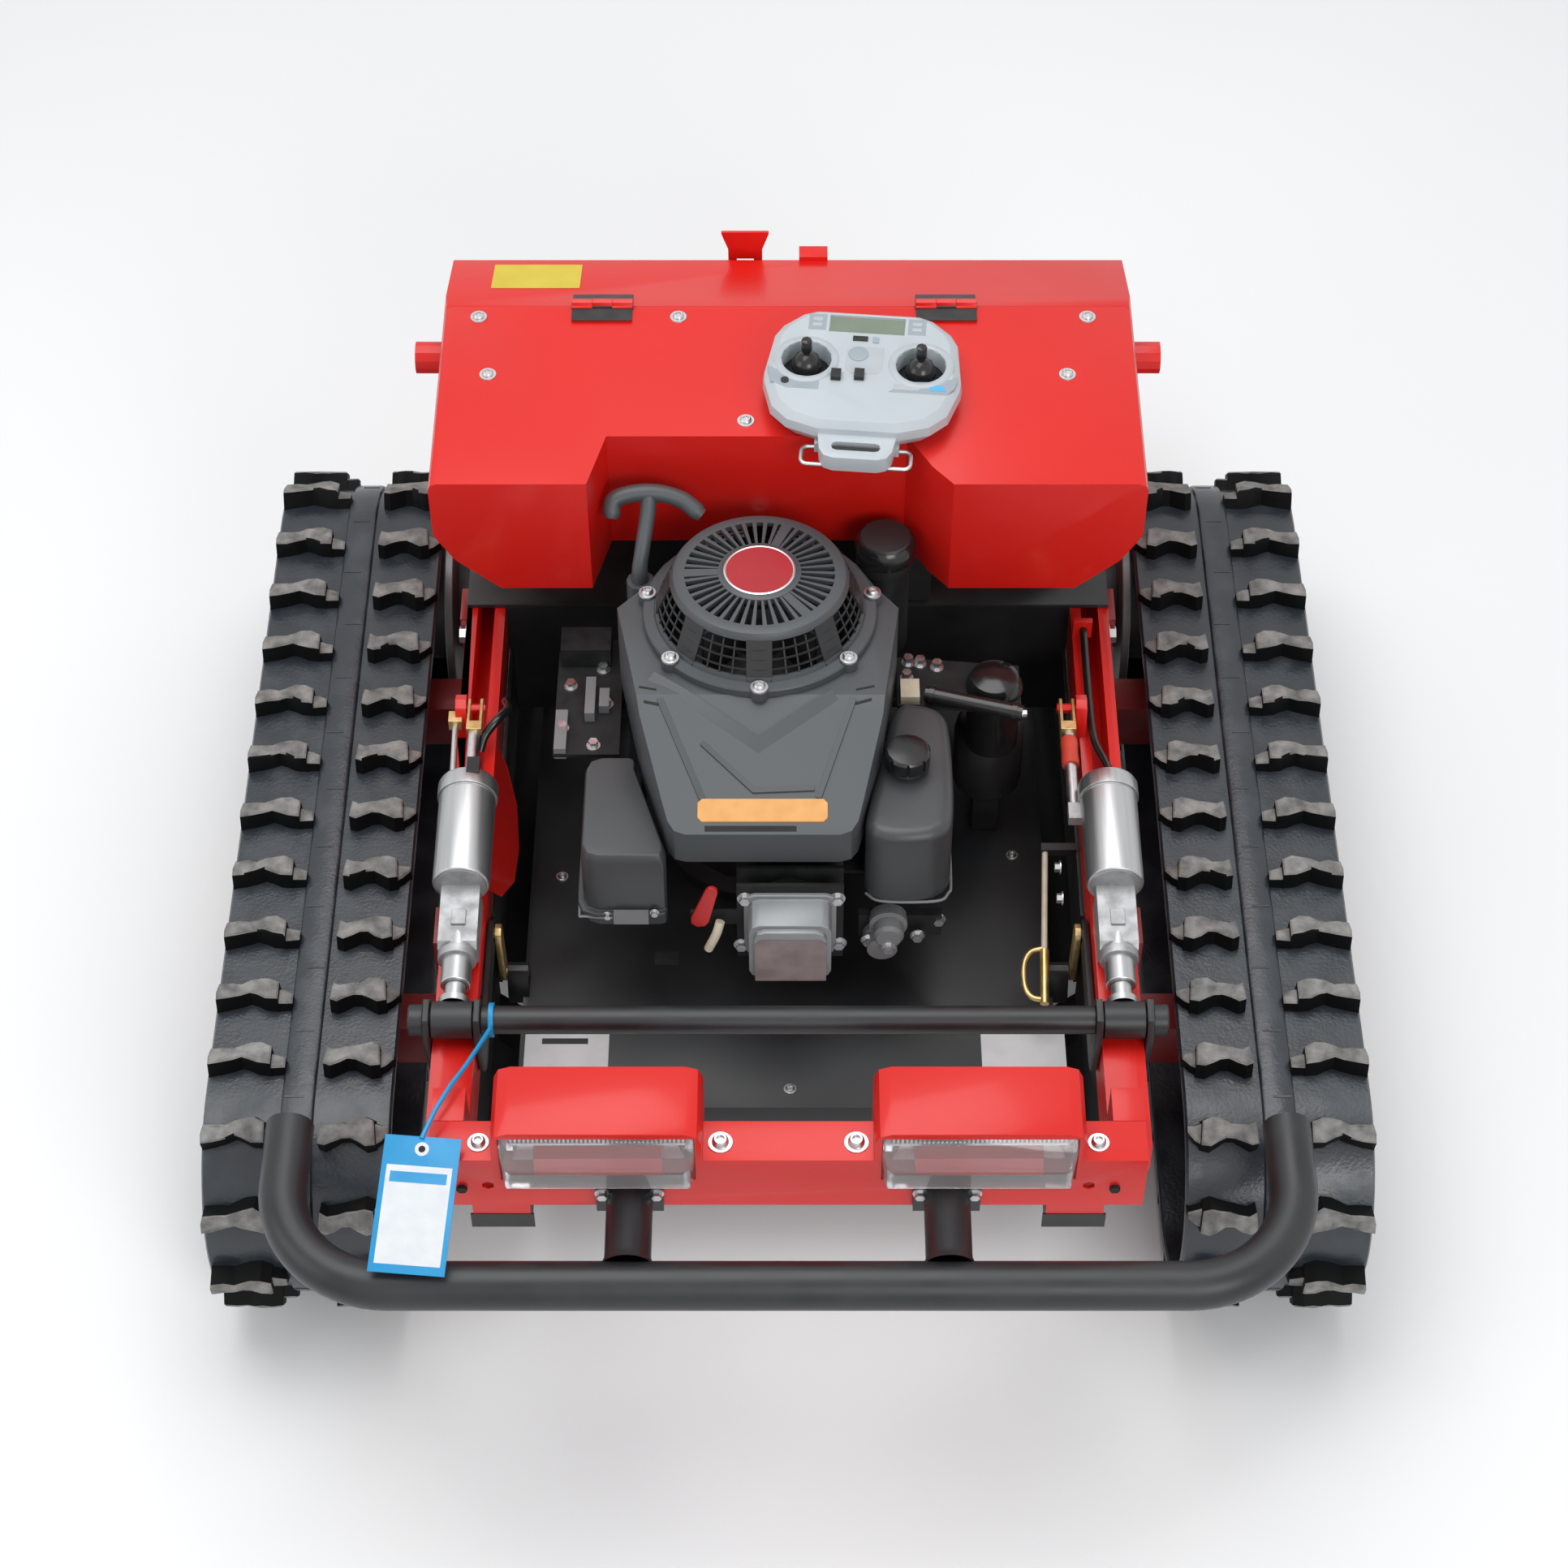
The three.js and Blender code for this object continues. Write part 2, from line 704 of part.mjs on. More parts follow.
function buildRunningGear() {
  const roller_z = wheel_z - belt_inner_radius + rest_gap + roller_radius;
  const track = buildTrack();
  const idler = buildIdler().translate(track_centre_x, idler_y, wheel_z);
  const sprocket = buildSprocket().translate(track_centre_x, sprocket_y, wheel_z);
  const roller = twinWheel(roller_radius, roller_hub_radius, small_sides, 0);
  const frame = buildTrackFrame();
  const motor = buildDriveMotor();
  for (const side of ['right', 'left']) {
    const sided = side === 'right' ? (geometry) => geometry : mirrored;
    // Both belts are one moulding, fitted the same way round
    const belt = side === 'right' ? track : track.clone().translate(-2 * track_centre_x, 0, 0);
    piece(`track_${side}`, belt, track_rubber);
    piece(`idler_${side}`, sided(idler), black_paint);
    piece(`sprocket_${side}`, sided(sprocket), grey_paint);
    piece(`track_frame_${side}`, sided(frame), dark_red_paint);
    piece(`drive_motor_${side}`, sided(motor), black_paint);
    roller_y.forEach((y, index) => {
      const placed = roller.clone().translate(track_centre_x, y, roller_z);
      piece(`road_roller_${side}_${index + 1}`, sided(placed), black_paint);
    });
  }
}

// Front crossmember: a folded channel with two raised lamp housings and a foot bracket at each end
const housing_inset = 58;
const housing_width = 192;
const housing_outer_x = cross_half_width - housing_inset;
const housing_inner_x = housing_outer_x - housing_width;
const housing_top_z = 418;
const housing_depth = 74;
const housing_rear_y = cross_front_y + housing_depth;
const lamp_slope_depth = 13;
const housing_front_y = cross_front_y + lamp_slope_depth;
const housing_chamfer = 16;
const lamp_margin = 7;
const lamp_bottom_z = 343;
const lamp_top_margin = 8;
const lamp_seat_depth = 42;
const lamp_stand_out = 14;
const lamp_back_y = cross_front_y + lamp_seat_depth;
const lamp_front_y = cross_front_y - lamp_stand_out;
const end_hole_radius = 6;
const foot_width = 54;
const foot_inset = 62;
const foot_x = cross_half_width - foot_inset;
const foot_bottom_z = 262;

function buildCrossmember() {
  const channel = cut(
    block(-cross_half_width, cross_half_width, cross_front_y, cross_rear_y, cross_bottom_z, cross_top_z),
    block(
      sheet - cross_half_width, cross_half_width - sheet,
      cross_front_y + sheet, cross_rear_y + overrun,
      cross_bottom_z - overrun, cross_top_z - sheet,
    ),
  );
  const housing_outline = rounded(
    rectangle(housing_inner_x, housing_outer_x, cross_bottom_z, housing_top_z),
    [0, 0, housing_chamfer, housing_chamfer],
  );
  const housing = prism('y', housing_outline, cross_front_y, housing_rear_y);
  const inner_outline = rounded(
    rectangle(
      housing_inner_x + sheet, housing_outer_x - sheet,
      cross_bottom_z - overrun, housing_top_z - sheet,
    ),
    [0, 0, housing_chamfer - sheet, housing_chamfer - sheet],
  );
  const housing_hollow = prism('y', inner_outline, lamp_back_y + sheet, housing_rear_y - sheet);
  const lamp_recess = block(
    housing_inner_x + lamp_margin, housing_outer_x - lamp_margin,
    cross_front_y - overrun, lamp_back_y,
    lamp_bottom_z, housing_top_z - lamp_top_margin,
  );
  const foot = block(
    foot_x - foot_width / 2, foot_x + foot_width / 2,
    cross_front_y, cross_rear_y,
    foot_bottom_z, cross_bottom_z + overrun,
  );
  const foot_hollow = block(
    foot_x - foot_width / 2 + sheet, foot_x + foot_width / 2 - sheet,
    cross_front_y + sheet, cross_rear_y + overrun,
    foot_bottom_z - overrun, cross_bottom_z,
  );
  const end_hole_x = housing_outer_x + end_hole_radius;
  const end_hole_z = (lamp_bottom_z + cross_bottom_z) / 2 + end_hole_radius * 2;
  const end_hole = disc(
    'y', end_hole_radius, cross_front_y - overrun, cross_front_y + sheet + overrun,
    end_hole_x, end_hole_z, hole_sides,
  );
  const both = (geometry) => [geometry, mirrored(geometry)];
  const body = joined(channel, ...both(housing), ...both(foot));
  return cut(body, ...both(housing_hollow), ...both(lamp_recess), ...both(foot_hollow), ...both(end_hole));
}

// Headlamp: a clear block with a rounded, forward leaning face
function buildHeadlamp() {
  const half_width = (housing_outer_x - housing_inner_x) / 2 - lamp_margin - rest_gap;
  const top = housing_top_z - lamp_top_margin - rest_gap;
  const bottom = lamp_bottom_z + rest_gap;
  const side_outline = rounded(
    [
      [lamp_back_y - rest_gap, bottom],
      [lamp_back_y - rest_gap, top],
      [housing_front_y, top],
      [lamp_front_y, (top + bottom) / 2],
      [lamp_front_y, bottom],
    ],
    [0, 0, housing_chamfer / 2, housing_chamfer, housing_chamfer / 2],
  );
  const plan_outline = rounded(
    rectangle(-half_width, half_width, lamp_front_y - overrun, lamp_back_y + overrun),
    [housing_chamfer, housing_chamfer, 0, 0],
  );
  const face_outline = rounded(
    rectangle(-half_width, half_width, bottom, top),
    housing_chamfer / 2,
  );
  const leaning = common(
    prism('x', side_outline, -half_width, half_width),
    prism('z', plan_outline, bottom - overrun, top + overrun),
  );
  return common(leaning, prism('y', face_outline, lamp_front_y - overrun, lamp_back_y + overrun));
}

// Bumper: one bent tube with two stubs that end in bolted flanges
function buildBumper() {
  const path = bentPath(
    [
      [-bumper_arm_x, bumper_arm_end_y, bumper_z],
      [-bumper_arm_x, bumper_y, bumper_z],
      [bumper_arm_x, bumper_y, bumper_z],
      [bumper_arm_x, bumper_arm_end_y, bumper_z],
    ],
    bumper_bend,
    6,
  );
  const bar = tube(path, bumper_radius, small_sides);
  const flange_face = cross_front_y - rest_gap;
  const stubs = [-stub_x, stub_x].map((x) => joined(
    disc('y', stub_radius, bumper_y, flange_face, x, bumper_z + rest_gap, small_sides),
    block(
      x - stub_flange_half, x + stub_flange_half,
      flange_face - stub_flange_sheet, flange_face,
      bumper_z - stub_radius + rest_gap, bumper_z + stub_radius,
    ),
  ));
  return joined(bar, ...stubs);
}

// Side arms: channels that run from the crossmember back under the hood, with the drive motor's plate
const slot_width = 18;
const slot_depth = 52;
const slot_front_y = motor_rear_y + overrun;
const arm_toe = 60;
const corner_length = 36;
const ear_radius = 14;
const ear_sheet = 11;
const ear_foot_radius = 19;
const ear_pin_reach = 10;
const clamp_reach = 121;
const clamp_y = actuator_rear_y + clamp_reach;
const clamp_length = 6;
const clamp_width = 20;
const clamp_height = 22;
const gusset_reach = 207;
const gusset_front_y = actuator_rear_y - gusset_reach;
const gusset_length = 190;
const gusset_lean = 26;
const gusset_drop = 62;
const gusset_shares = [
  [0, 0], [0.08, -0.55], [0.27, -0.92], [0.51, -1], [0.77, -0.85], [0.94, -0.45], [1, 0],
];

function buildSideArm(fork_x) {
  const front = cross_rear_y + rest_gap;
  const outline = [
    [front, arm_bottom_z + arm_toe / 2],
    [front + arm_toe, arm_bottom_z],
    [arm_rear_y, arm_bottom_z],
    [arm_rear_y, arm_top_z],
    [front, arm_top_z],
  ];
  const beam = prism('x', outline, arm_inner_x, arm_outer_x);
  const slot = block(
    arm_centre_x - slot_width / 2, arm_centre_x + slot_width / 2,
    slot_front_y, arm_rear_y - arm_toe,
    arm_top_z - slot_depth, arm_top_z + overrun,
  );
  const corner = block(
    arm_inner_x, cross_half_width,
    front, front + corner_length,
    arm_top_z - overrun, cross_top_z,
  );
  const pivot_bore = disc(
    'x', pivot_pin_radius + running_gap, arm_inner_x - overrun, arm_outer_x + overrun,
    pivot_y, pivot_z, small_sides,
  );
  const ear_from = fork_x + clevis_half + rest_gap * 3;
  const ear = prism(
    'x',
    strap(
      [actuator_rear_y, clevis_z],
      [actuator_rear_y, arm_top_z - ear_radius],
      ear_radius,
      ear_foot_radius,
    ),
    ear_from,
    ear_from + ear_sheet,
  );
  const ear_pin = disc(
    'x', actuator_pin_radius, fork_x - ear_pin_reach, ear_from + overrun,
    actuator_rear_y, clevis_z, hole_sides,
  );
  const plate_outline = strap(
    [sprocket_y, wheel_z], [sprocket_y, arm_bottom_z], motor_flange_radius, motor_flange_radius - overrun,
  );
  const motor_plate = prism('x', plate_outline, arm_outer_x - sheet * 2, arm_outer_x);
  return joined(cut(beam, slot, pivot_bore), corner, ear, ear_pin, motor_plate);
}

function buildClamp() {
  return block(
    arm_centre_x - clamp_width, arm_centre_x,
    clamp_y, clamp_y + clamp_length,
    arm_top_z - overrun, arm_top_z + clamp_height,
  );
}

function buildGusset() {
  const upper = gusset_shares.map(([distance, depth]) => [
    arm_inner_x + overrun + depth * gusset_lean,
    gusset_front_y + distance * gusset_length,
    arm_top_z - sheet + depth * gusset_drop,
  ]);
  return foldedPlate(upper, upper.map(([x, y, z]) => [x + sheet, y, z + sheet]));
}

// A flat plate between two like outlines in space
function foldedPlate(front, back) {
  const count = front.length;
  const places = [...front.flat(), ...back.flat()];
  const corners = [];
  for (let i = 1; i < count - 1; i += 1) {
    corners.push(0, i, i + 1, count, count + i + 1, count + i);
  }
  for (let i = 0; i < count; i += 1) {
    const next = (i + 1) % count;
    corners.push(i, i + count, next + count, i, next + count, next);
  }
  const geometry = new THREE.BufferGeometry();
  geometry.setAttribute('position', new THREE.Float32BufferAttribute(places, 3));
  geometry.setIndex(corners);
  return geometry;
}

// Rear frame: a tray on the two arms, a cross beam, the hood's posts and the deck's hinge ears
const tray_inset = 81;
const tray_front_y = hood_front_y + tray_inset;
const tray_rear_inset = 7;
const tray_rear_y = hood_rear_y - tray_rear_inset;
const tray_sheet = 5;
const tray_top_z = arm_top_z + rest_gap + tray_sheet;
const hinge_ear_inset = 78;
const hinge_ear_x = deck_half_width - hinge_ear_inset;
const hinge_ear_sheet = 8;
const hinge_pin_radius = 9;
const post_inset = 14;
const post_x = arm_inner_x - post_inset;
const post_width = 26;
const post_front_inset = 125;
const post_rear_inset = 28;
const post_front_y = hood_front_y + post_front_inset;
const post_rear_y = hood_seam_y - post_rear_inset;
const skirt_sheet = 4;
const skirt_reach = 179;
const skirt_front_y = pivot_y + skirt_reach;
const skirt_bottom_z = 150;
const firewall_bottom_z = 168;
const box_half_width = 150;
const box_rear_inset = 8;
const box_rear_y = hood_seam_y - box_rear_inset;
const box_height = 190;
const lid_lip = 5;

function buildRearFrame() {
  const tray = block(
    -arm_outer_x, arm_outer_x,
    tray_front_y, tray_rear_y,
    arm_top_z + rest_gap, tray_top_z,
  );
  const beam = block(
    rest_gap - arm_inner_x, arm_inner_x - rest_gap,
    arm_rear_y - post_width, tray_rear_y,
    arm_bottom_z, arm_top_z + rest_gap + overrun,
  );
  const beam_hollow = block(
    sheet - arm_inner_x, arm_inner_x - sheet,
    arm_rear_y - post_width + sheet, tray_rear_y - sheet,
    arm_bottom_z - overrun, arm_top_z - sheet,
  );
  const posts = [-1, 1].map((side) => {
    const near = side * post_x - post_width / 2;
    return cut(
      block(
        near, near + post_width,
        post_front_y, post_rear_y,
        tray_top_z - overrun, hood_bottom_z - rest_gap,
      ),
      block(
        near + sheet, near + post_width - sheet,
        post_front_y + sheet, post_rear_y + overrun,
        tray_top_z, hood_bottom_z - rest_gap - sheet,
      ),
    );
  });
  const ears = [-1, 1].map((side) => {
    const near = side > 0 ? hinge_ear_x : -hinge_ear_x - hinge_ear_sheet;
    const ear = prism(
      'x',
      [
        [deck_hinge_y - hinge_pin_radius * 2, deck_hinge_z - hinge_pin_radius],
        [deck_hinge_y + hinge_pin_radius, deck_hinge_z - hinge_pin_radius * 2],
        [arm_rear_y + post_width / 2, arm_bottom_z + overrun],
        [arm_rear_y - post_width, arm_bottom_z + overrun],
        [deck_hinge_y - hinge_pin_radius * 2, deck_hinge_z + hinge_pin_radius * 2],
      ],
      near,
      near + hinge_ear_sheet,
    );
    const pin_from = side > 0 ? near - hinge_ear_sheet * 2 : near + hinge_ear_sheet - overrun;
    const pin_to = side > 0 ? near + overrun : near + hinge_ear_sheet * 3;
    return joined(ear, disc('x', hinge_pin_radius, pin_from, pin_to, deck_hinge_y, deck_hinge_z, pin_sides));
  });
  const firewall = block(
    rest_gap - arm_inner_x, arm_inner_x - rest_gap,
    tray_front_y, tray_front_y + skirt_sheet,
    firewall_bottom_z, arm_top_z + rest_gap + overrun,
  );
  const skirts = [-1, 1].map((side) => {
    const outer = side * (arm_inner_x - rest_gap);
    const inner = outer - side * skirt_sheet;
    return block(
      Math.min(outer, inner), Math.max(outer, inner),
      skirt_front_y, tray_rear_y,
      skirt_bottom_z, arm_bottom_z + overrun,
    );
  });
  return joined(tray, cut(beam, beam_hollow), firewall, ...skirts, ...posts, ...ears);
}

function buildFrame() {
  piece('front_crossmember', buildCrossmember(), red_paint);
  const lamp_x = (housing_inner_x + housing_outer_x) / 2;
  const lamp = buildHeadlamp();
  piece('headlamp_right', lamp, lamp_plastic).position.x = lamp_x;
  piece('headlamp_left', mirrored(lamp), lamp_plastic).position.x = -lamp_x;
  piece('bumper', buildBumper(), black_paint);
  piece('side_arm_right', joined(buildSideArm(fork_x_right), buildClamp()), red_paint);
  piece('side_arm_left', mirrored(joined(buildSideArm(fork_x_left), buildGusset())), red_paint);
  piece('rear_frame', buildRearFrame(), black_paint);
  const battery = joined(
    block(
      -box_half_width, box_half_width,
      tray_front_y + lid_lip, box_rear_y,
      tray_top_z + rest_gap, tray_top_z + box_height,
    ),
    block(
      -box_half_width - lid_lip, box_half_width + lid_lip,
      tray_front_y, box_rear_y + lid_lip,
      tray_top_z + box_height - lid_lip * 4, tray_top_z + box_height - lid_lip,
    ),
  );
  piece('battery_box', battery, black_plastic);
}

// Hood: a sheet shell with tucked-in lower corners and a bay for the engine cut into its front
const tuck_top_z = 527;
const tuck_inset = 28;
const tuck_x = hood_half_width - tuck_inset;
const tuck_z = 491;
const hood_foot_inset = 63;
const hood_foot_x = hood_half_width - hood_foot_inset;
const tuck_share = 0.3;
const boss_radius = 17;
const boss_reach = 36;
const boss_seam_reach = 14;
const boss_y = hood_seam_y + boss_seam_reach;
const boss_z = 515;
const bay_left_front_x = -198;
const bay_left_back_x = -180;
const bay_right_back_x = 118;
const bay_right_mid_x = 142;
const bay_right_front_x = 164;
const bay_depth = 66;
const bay_side_depth = 24;
const bay_back_y = hood_front_y + bay_depth;
const bay_mid_y = hood_front_y + bay_side_depth;

function hoodSection(inset) {
  const half = hood_half_width - inset;
  const top = hood_top_z - inset;
  const low = inset > 0 ? hood_bottom_z - overrun : hood_bottom_z;
  const right = [
    [half, top],
    [half, tuck_top_z],
    [tuck_x - inset + (hood_half_width - tuck_x) * tuck_share, tuck_z + inset],
    [hood_foot_x - inset, low],
  ];
  const left = right.map(([x, z]) => [-x, z]).reverse();
  const corner = hood_wall * 3;
  const bend = hood_wall * 6;
  const radii = [corner, bend, bend, 0];
  return rounded([...right, ...left], [...radii, ...radii.slice().reverse()]);
}

function bayOutline(grow) {
  const front = hood_front_y - overrun;
  return [
    [bay_left_front_x - grow, front],
    [bay_left_back_x - grow, bay_back_y + grow],
    [bay_right_back_x + grow, bay_back_y + grow],
    [bay_right_mid_x + grow, bay_mid_y + grow],
    [bay_right_front_x + grow, front],
  ].reverse();
}

function buildHood() {
  const outer = prism('y', hoodSection(0), hood_front_y, hood_seam_y);
  const inner = prism('y', hoodSection(hood_wall), hood_front_y + hood_wall, hood_seam_y + overrun);
  const bay = prism('z', bayOutline(0), hood_bottom_z - overrun, hood_top_z + overrun);
  const bay_wall = prism('z', bayOutline(hood_wall), hood_bottom_z - overrun * 2, hood_top_z + overrun * 2);
  const shell = cut(cut(outer, bay), cut(inner, bay_wall));
  const arm_y = hood_seam_y - boss_radius * 2;
  const boss_arm = prism(
    'x',
    strap([arm_y, boss_z - boss_radius * 2], [boss_y, boss_z], boss_radius - hood_wall, boss_radius, 3),
    hood_half_width + rest_gap * 2,
    hood_half_width + hood_wall * 2,
  );
  const foot = block(
    hood_half_width - hood_wall / 2, hood_half_width + hood_wall,
    arm_y - boss_radius / 2, arm_y + boss_radius / 2,
    tuck_top_z - boss_radius * 3 / 2, tuck_top_z,
  );
  const boss = disc(
    'x', boss_radius, hood_half_width + hood_wall, hood_half_width + boss_reach,
    boss_y, boss_z, small_sides,
  );
  const side = joined(boss_arm, foot, boss);
  return joined(shell, side, mirrored(side), ...hinge_places.map(buildHoodLeaf));
}

// Hinges of the rear door: a leaf on each side of the seam and a barrel in three knuckles above it
const hinge_places = [-190, 162];
const hinge_leaf_half = 31;
const hinge_leaf_length = 18;
const hinge_leaf_sheet = 2;
const knuckle_radius = 4.5;
const knuckle_half = 10;
const hinge_axis_y = hood_seam_y + rest_gap / 2;
const hinge_axis_z = hood_top_z + knuckle_radius + rest_gap;
const door_fall_share = (hood_top_z - hood_rear_top_z) / (hood_rear_y - hood_seam_y);

function buildHoodLeaf(x) {
  const reach = hinge_axis_y - knuckle_radius - running_gap;
  const leaf = block(
    x - hinge_leaf_half, x + hinge_leaf_half,
    reach - hinge_leaf_length, reach,
    hood_top_z - hinge_leaf_sheet, hood_top_z + hinge_leaf_sheet,
  );
  const knuckles = [-1, 1].map((side) => {
    const near = side > 0 ? x + knuckle_half + rest_gap : x - hinge_leaf_half;
    const far = near + hinge_leaf_half - knuckle_half - rest_gap;
    return joined(
      disc('x', knuckle_radius, near, far, hinge_axis_y, hinge_axis_z, pin_sides),
      block(near, far, reach - overrun, hinge_axis_y - overrun, hood_top_z + rest_gap, hinge_axis_z),
    );
  });
  return joined(leaf, ...knuckles);
}

function buildDoorLeaf(x) {
  const near = hinge_axis_y + knuckle_radius + running_gap;
  const far = near + hinge_leaf_length;
  const surface = (y) => hood_top_z - (y - hood_seam_y) * door_fall_share;
  const leaf = prism(
    'x',
    [
      [near, surface(near) - hinge_leaf_sheet],
      [far, surface(far) - hinge_leaf_sheet],
      [far, surface(far) + hinge_leaf_sheet],
      [near, surface(near) + hinge_leaf_sheet],
    ],
    x - hinge_leaf_half,
    x + hinge_leaf_half,
  );
  const knuckle = disc(
    'x', knuckle_radius, x - knuckle_half, x + knuckle_half, hinge_axis_y, hinge_axis_z, pin_sides,
  );
  const web = block(
    x - knuckle_half, x + knuckle_half,
    hinge_axis_y + overrun, near + overrun,
    surface(near) - hinge_leaf_sheet / 2, hinge_axis_z,
  );
  return joined(leaf, knuckle, web);
}

// Rear door: the sloped band and the rear wall, with the latch's seat and keeper
const latch_x = -45;
const latch_width = 36;
const latch_sheet = 3;
const latch_rise = 58;
const latch_drop = 26;
const latch_flare = 7;
const latch_neck = 24;
const keeper_x = 27;
const keeper_width = 30;
const keeper_rise = 14;

function doorSection(inset) {
  const front = inset > 0 ? hood_seam_y - overrun : hood_seam_y + rest_gap;
  const low = inset > 0 ? hood_rear_bottom_z - overrun : hood_rear_bottom_z;
  return [
    [front, hood_top_z - inset - (front - hood_seam_y) * door_fall_share],
    [front, low],
    [hood_rear_y - inset, low],
    [hood_rear_y - inset, hood_rear_top_z - inset],
  ];
}

function buildRearDoor() {
  const inside = hood_half_width - hood_wall;
  const shell = cut(
    prism('x', doorSection(0), -hood_half_width, hood_half_width),
    prism('x', doorSection(hood_wall), -inside, inside),
  );
  const section = prism('y', hoodSection(0), hood_seam_y - overrun, hood_rear_y + overrun);
  const below = block(
    -hood_foot_x, hood_foot_x,
    hood_seam_y - overrun, hood_rear_y + overrun,
    hood_rear_bottom_z - overrun, hood_bottom_z + overrun,
  );
  const shaped = common(shell, joined(section, below));
  const keeper = block(
    keeper_x - keeper_width / 2, keeper_x + keeper_width / 2,
    hood_rear_y - hood_wall, hood_rear_y + keeper_rise,
    hood_rear_top_z - keeper_rise, hood_rear_top_z + keeper_rise / 2,
  );
  const latch_seat = block(
    latch_x - latch_width / 2, latch_x + latch_width / 2,
    hood_rear_y - hood_wall, hood_rear_y + keeper_rise / 2,
    hood_rear_top_z - latch_drop - latch_sheet, hood_rear_top_z - keeper_rise,
  );
  return joined(shaped, keeper, latch_seat, ...hinge_places.map(buildDoorLeaf));
}

function buildLatch() {
  const seat = hood_rear_y + keeper_rise / 2 + rest_gap;
  const foot_z = hood_rear_top_z - latch_drop;
  const lip_z = foot_z + latch_rise;
  const throat_z = lip_z - latch_neck;
  const half = latch_width / 2;
  const wide = half + latch_flare;
  const outline = [
    [-half, foot_z], [half, foot_z], [half, throat_z], [wide, lip_z - latch_sheet],
    [wide, lip_z], [-wide, lip_z], [-wide, lip_z - latch_sheet], [-half, throat_z],
  ];
  const body = prism('y', outline.map(([x, z]) => [x + latch_x, z]), seat, seat + latch_sheet);
  const slot = block(
    latch_x - half / 2, latch_x + half / 2,
    seat - overrun, seat + latch_sheet + overrun,
    foot_z + latch_flare * 2, foot_z + latch_flare * 3,
  );
  return cut(body, slot);
}

function buildHoodGroup() {
  piece('hood', buildHood(), red_paint);
  piece('rear_door', buildRearDoor(), red_paint);
  piece('latch_lever', buildLatch(), red_paint);
}

// Cutter deck: a flat plate with a turned-down lip, a round blade chamber below and its hinge ears
const deck = new THREE.Group();
deck.position.set(0, deck_hinge_y, deck_hinge_z);
deck.rotation.x = THREE.MathUtils.degToRad(-deck_tilt_degrees);
mower.add(deck);

const deck_corner = 36;
const deck_lip = 26;
const crank_hole_radius = 45;
const deck_bracket_reach = 157;
const deck_bracket_y = deck_front + deck_bracket_reach;
const deck_bracket_half = 16;
const outlet_share = 0.62;
const eye_share = 1.9;
const link_sheet = 6;
const link_slot_play = 6;
const link_x = arm_inner_x - rocker_side_gap - rocker_sheet - rocker_side_gap;
const bracket_x = deck_half_width - deck_sheet * 2;
const link_seat = link_x - link_sheet - rocker_side_gap - bracket_x;

function buildDeckEar(side) {
  const far = hinge_ear_x - running_gap * 2;
  const from = side > 0 ? far - hinge_ear_sheet : -far;
  const root = [deck_rear - deck_corner, -deck_lip / 2];
  const outline = strap([0, 0], root, hinge_pin_radius * eye_share, deck_lip / 2);
  const bore_radius = hinge_pin_radius + running_gap;
  return cut(
    prism('x', outline, from, from + hinge_ear_sheet),
    disc('x', bore_radius, from - overrun, from + hinge_ear_sheet + overrun, 0, 0, pin_sides),
  );
}

function buildLinkBracket(side) {
  const from = side > 0 ? bracket_x : -bracket_x - link_seat;
  const eye_z = deck_top + deck_bracket_rise;
  const low = deck_top - deck_sheet;
  const outline = strap(
    [deck_bracket_y, eye_z],
    [deck_bracket_y, low],
    link_pin_radius * eye_share,
    deck_bracket_half,
  );
  return cut(
    prism('x', outline, from, from + link_seat),
    disc(
      'x', link_pin_radius + running_gap, from - overrun, from + link_seat + overrun,
      deck_bracket_y, eye_z, pin_sides,
    ),
    block(
      from - overrun, from + link_seat + overrun,
      deck_bracket_y - deck_bracket_half * 2, deck_bracket_y + deck_bracket_half * 2,
      low - deck_lip, low - deck_lip / 2,
    ),
  );
}

function buildDeckShell() {
  const lower = deck_top - deck_sheet;
  const outline = rounded(
    rectangle(-deck_half_width, deck_half_width, deck_front, deck_rear),
    deck_corner,
  );
  const inner = rounded(
    rectangle(
      deck_sheet - deck_half_width, deck_half_width - deck_sheet,
      deck_front + deck_sheet, deck_rear - deck_sheet,
    ),
    deck_corner - deck_sheet,
  );
  const plate = cut(
    prism('z', outline, lower - deck_lip, deck_top),
    prism('z', inner, lower - deck_lip - overrun, lower),
  );
  const chamber = ring(
    'z', chamber_radius - deck_sheet, chamber_radius,
    deck_top - chamber_depth, lower + deck_sheet / 2, crank_x, crank_y, fine_sides,
  );
  const outlet_half = chamber_radius * outlet_share;
  const outlet = block(
    crank_x - outlet_half, crank_x + outlet_half,
    crank_y + chamber_radius / 2, crank_y + chamber_radius + overrun,
    deck_top - chamber_depth - overrun, lower - deck_lip,
  );
  const crank_hole = disc(
    'z', crank_hole_radius, lower - overrun, deck_top + overrun, crank_x, crank_y, small_sides,
  );
  const fittings = [-1, 1].flatMap((side) => [buildDeckEar(side), buildLinkBracket(side)]);
  return cut(joined(plate, chamber, ...fittings), outlet, crank_hole);
}

// Blade: a twisted bar with a lifting wing at each tip, clamped under the spindle's hub
const blade_drop = 84;
const blade_width = 52;
const blade_sheet = 5;
const blade_wing = 12;
const blade_bolt_radius = 11.5;
const blade_bolt_head = 8;
const blade_bolt_head_share = 1.6;
const blade_flat_share = 0.7;
const spindle_radius = 15;
const spindle_hub_radius = 34;

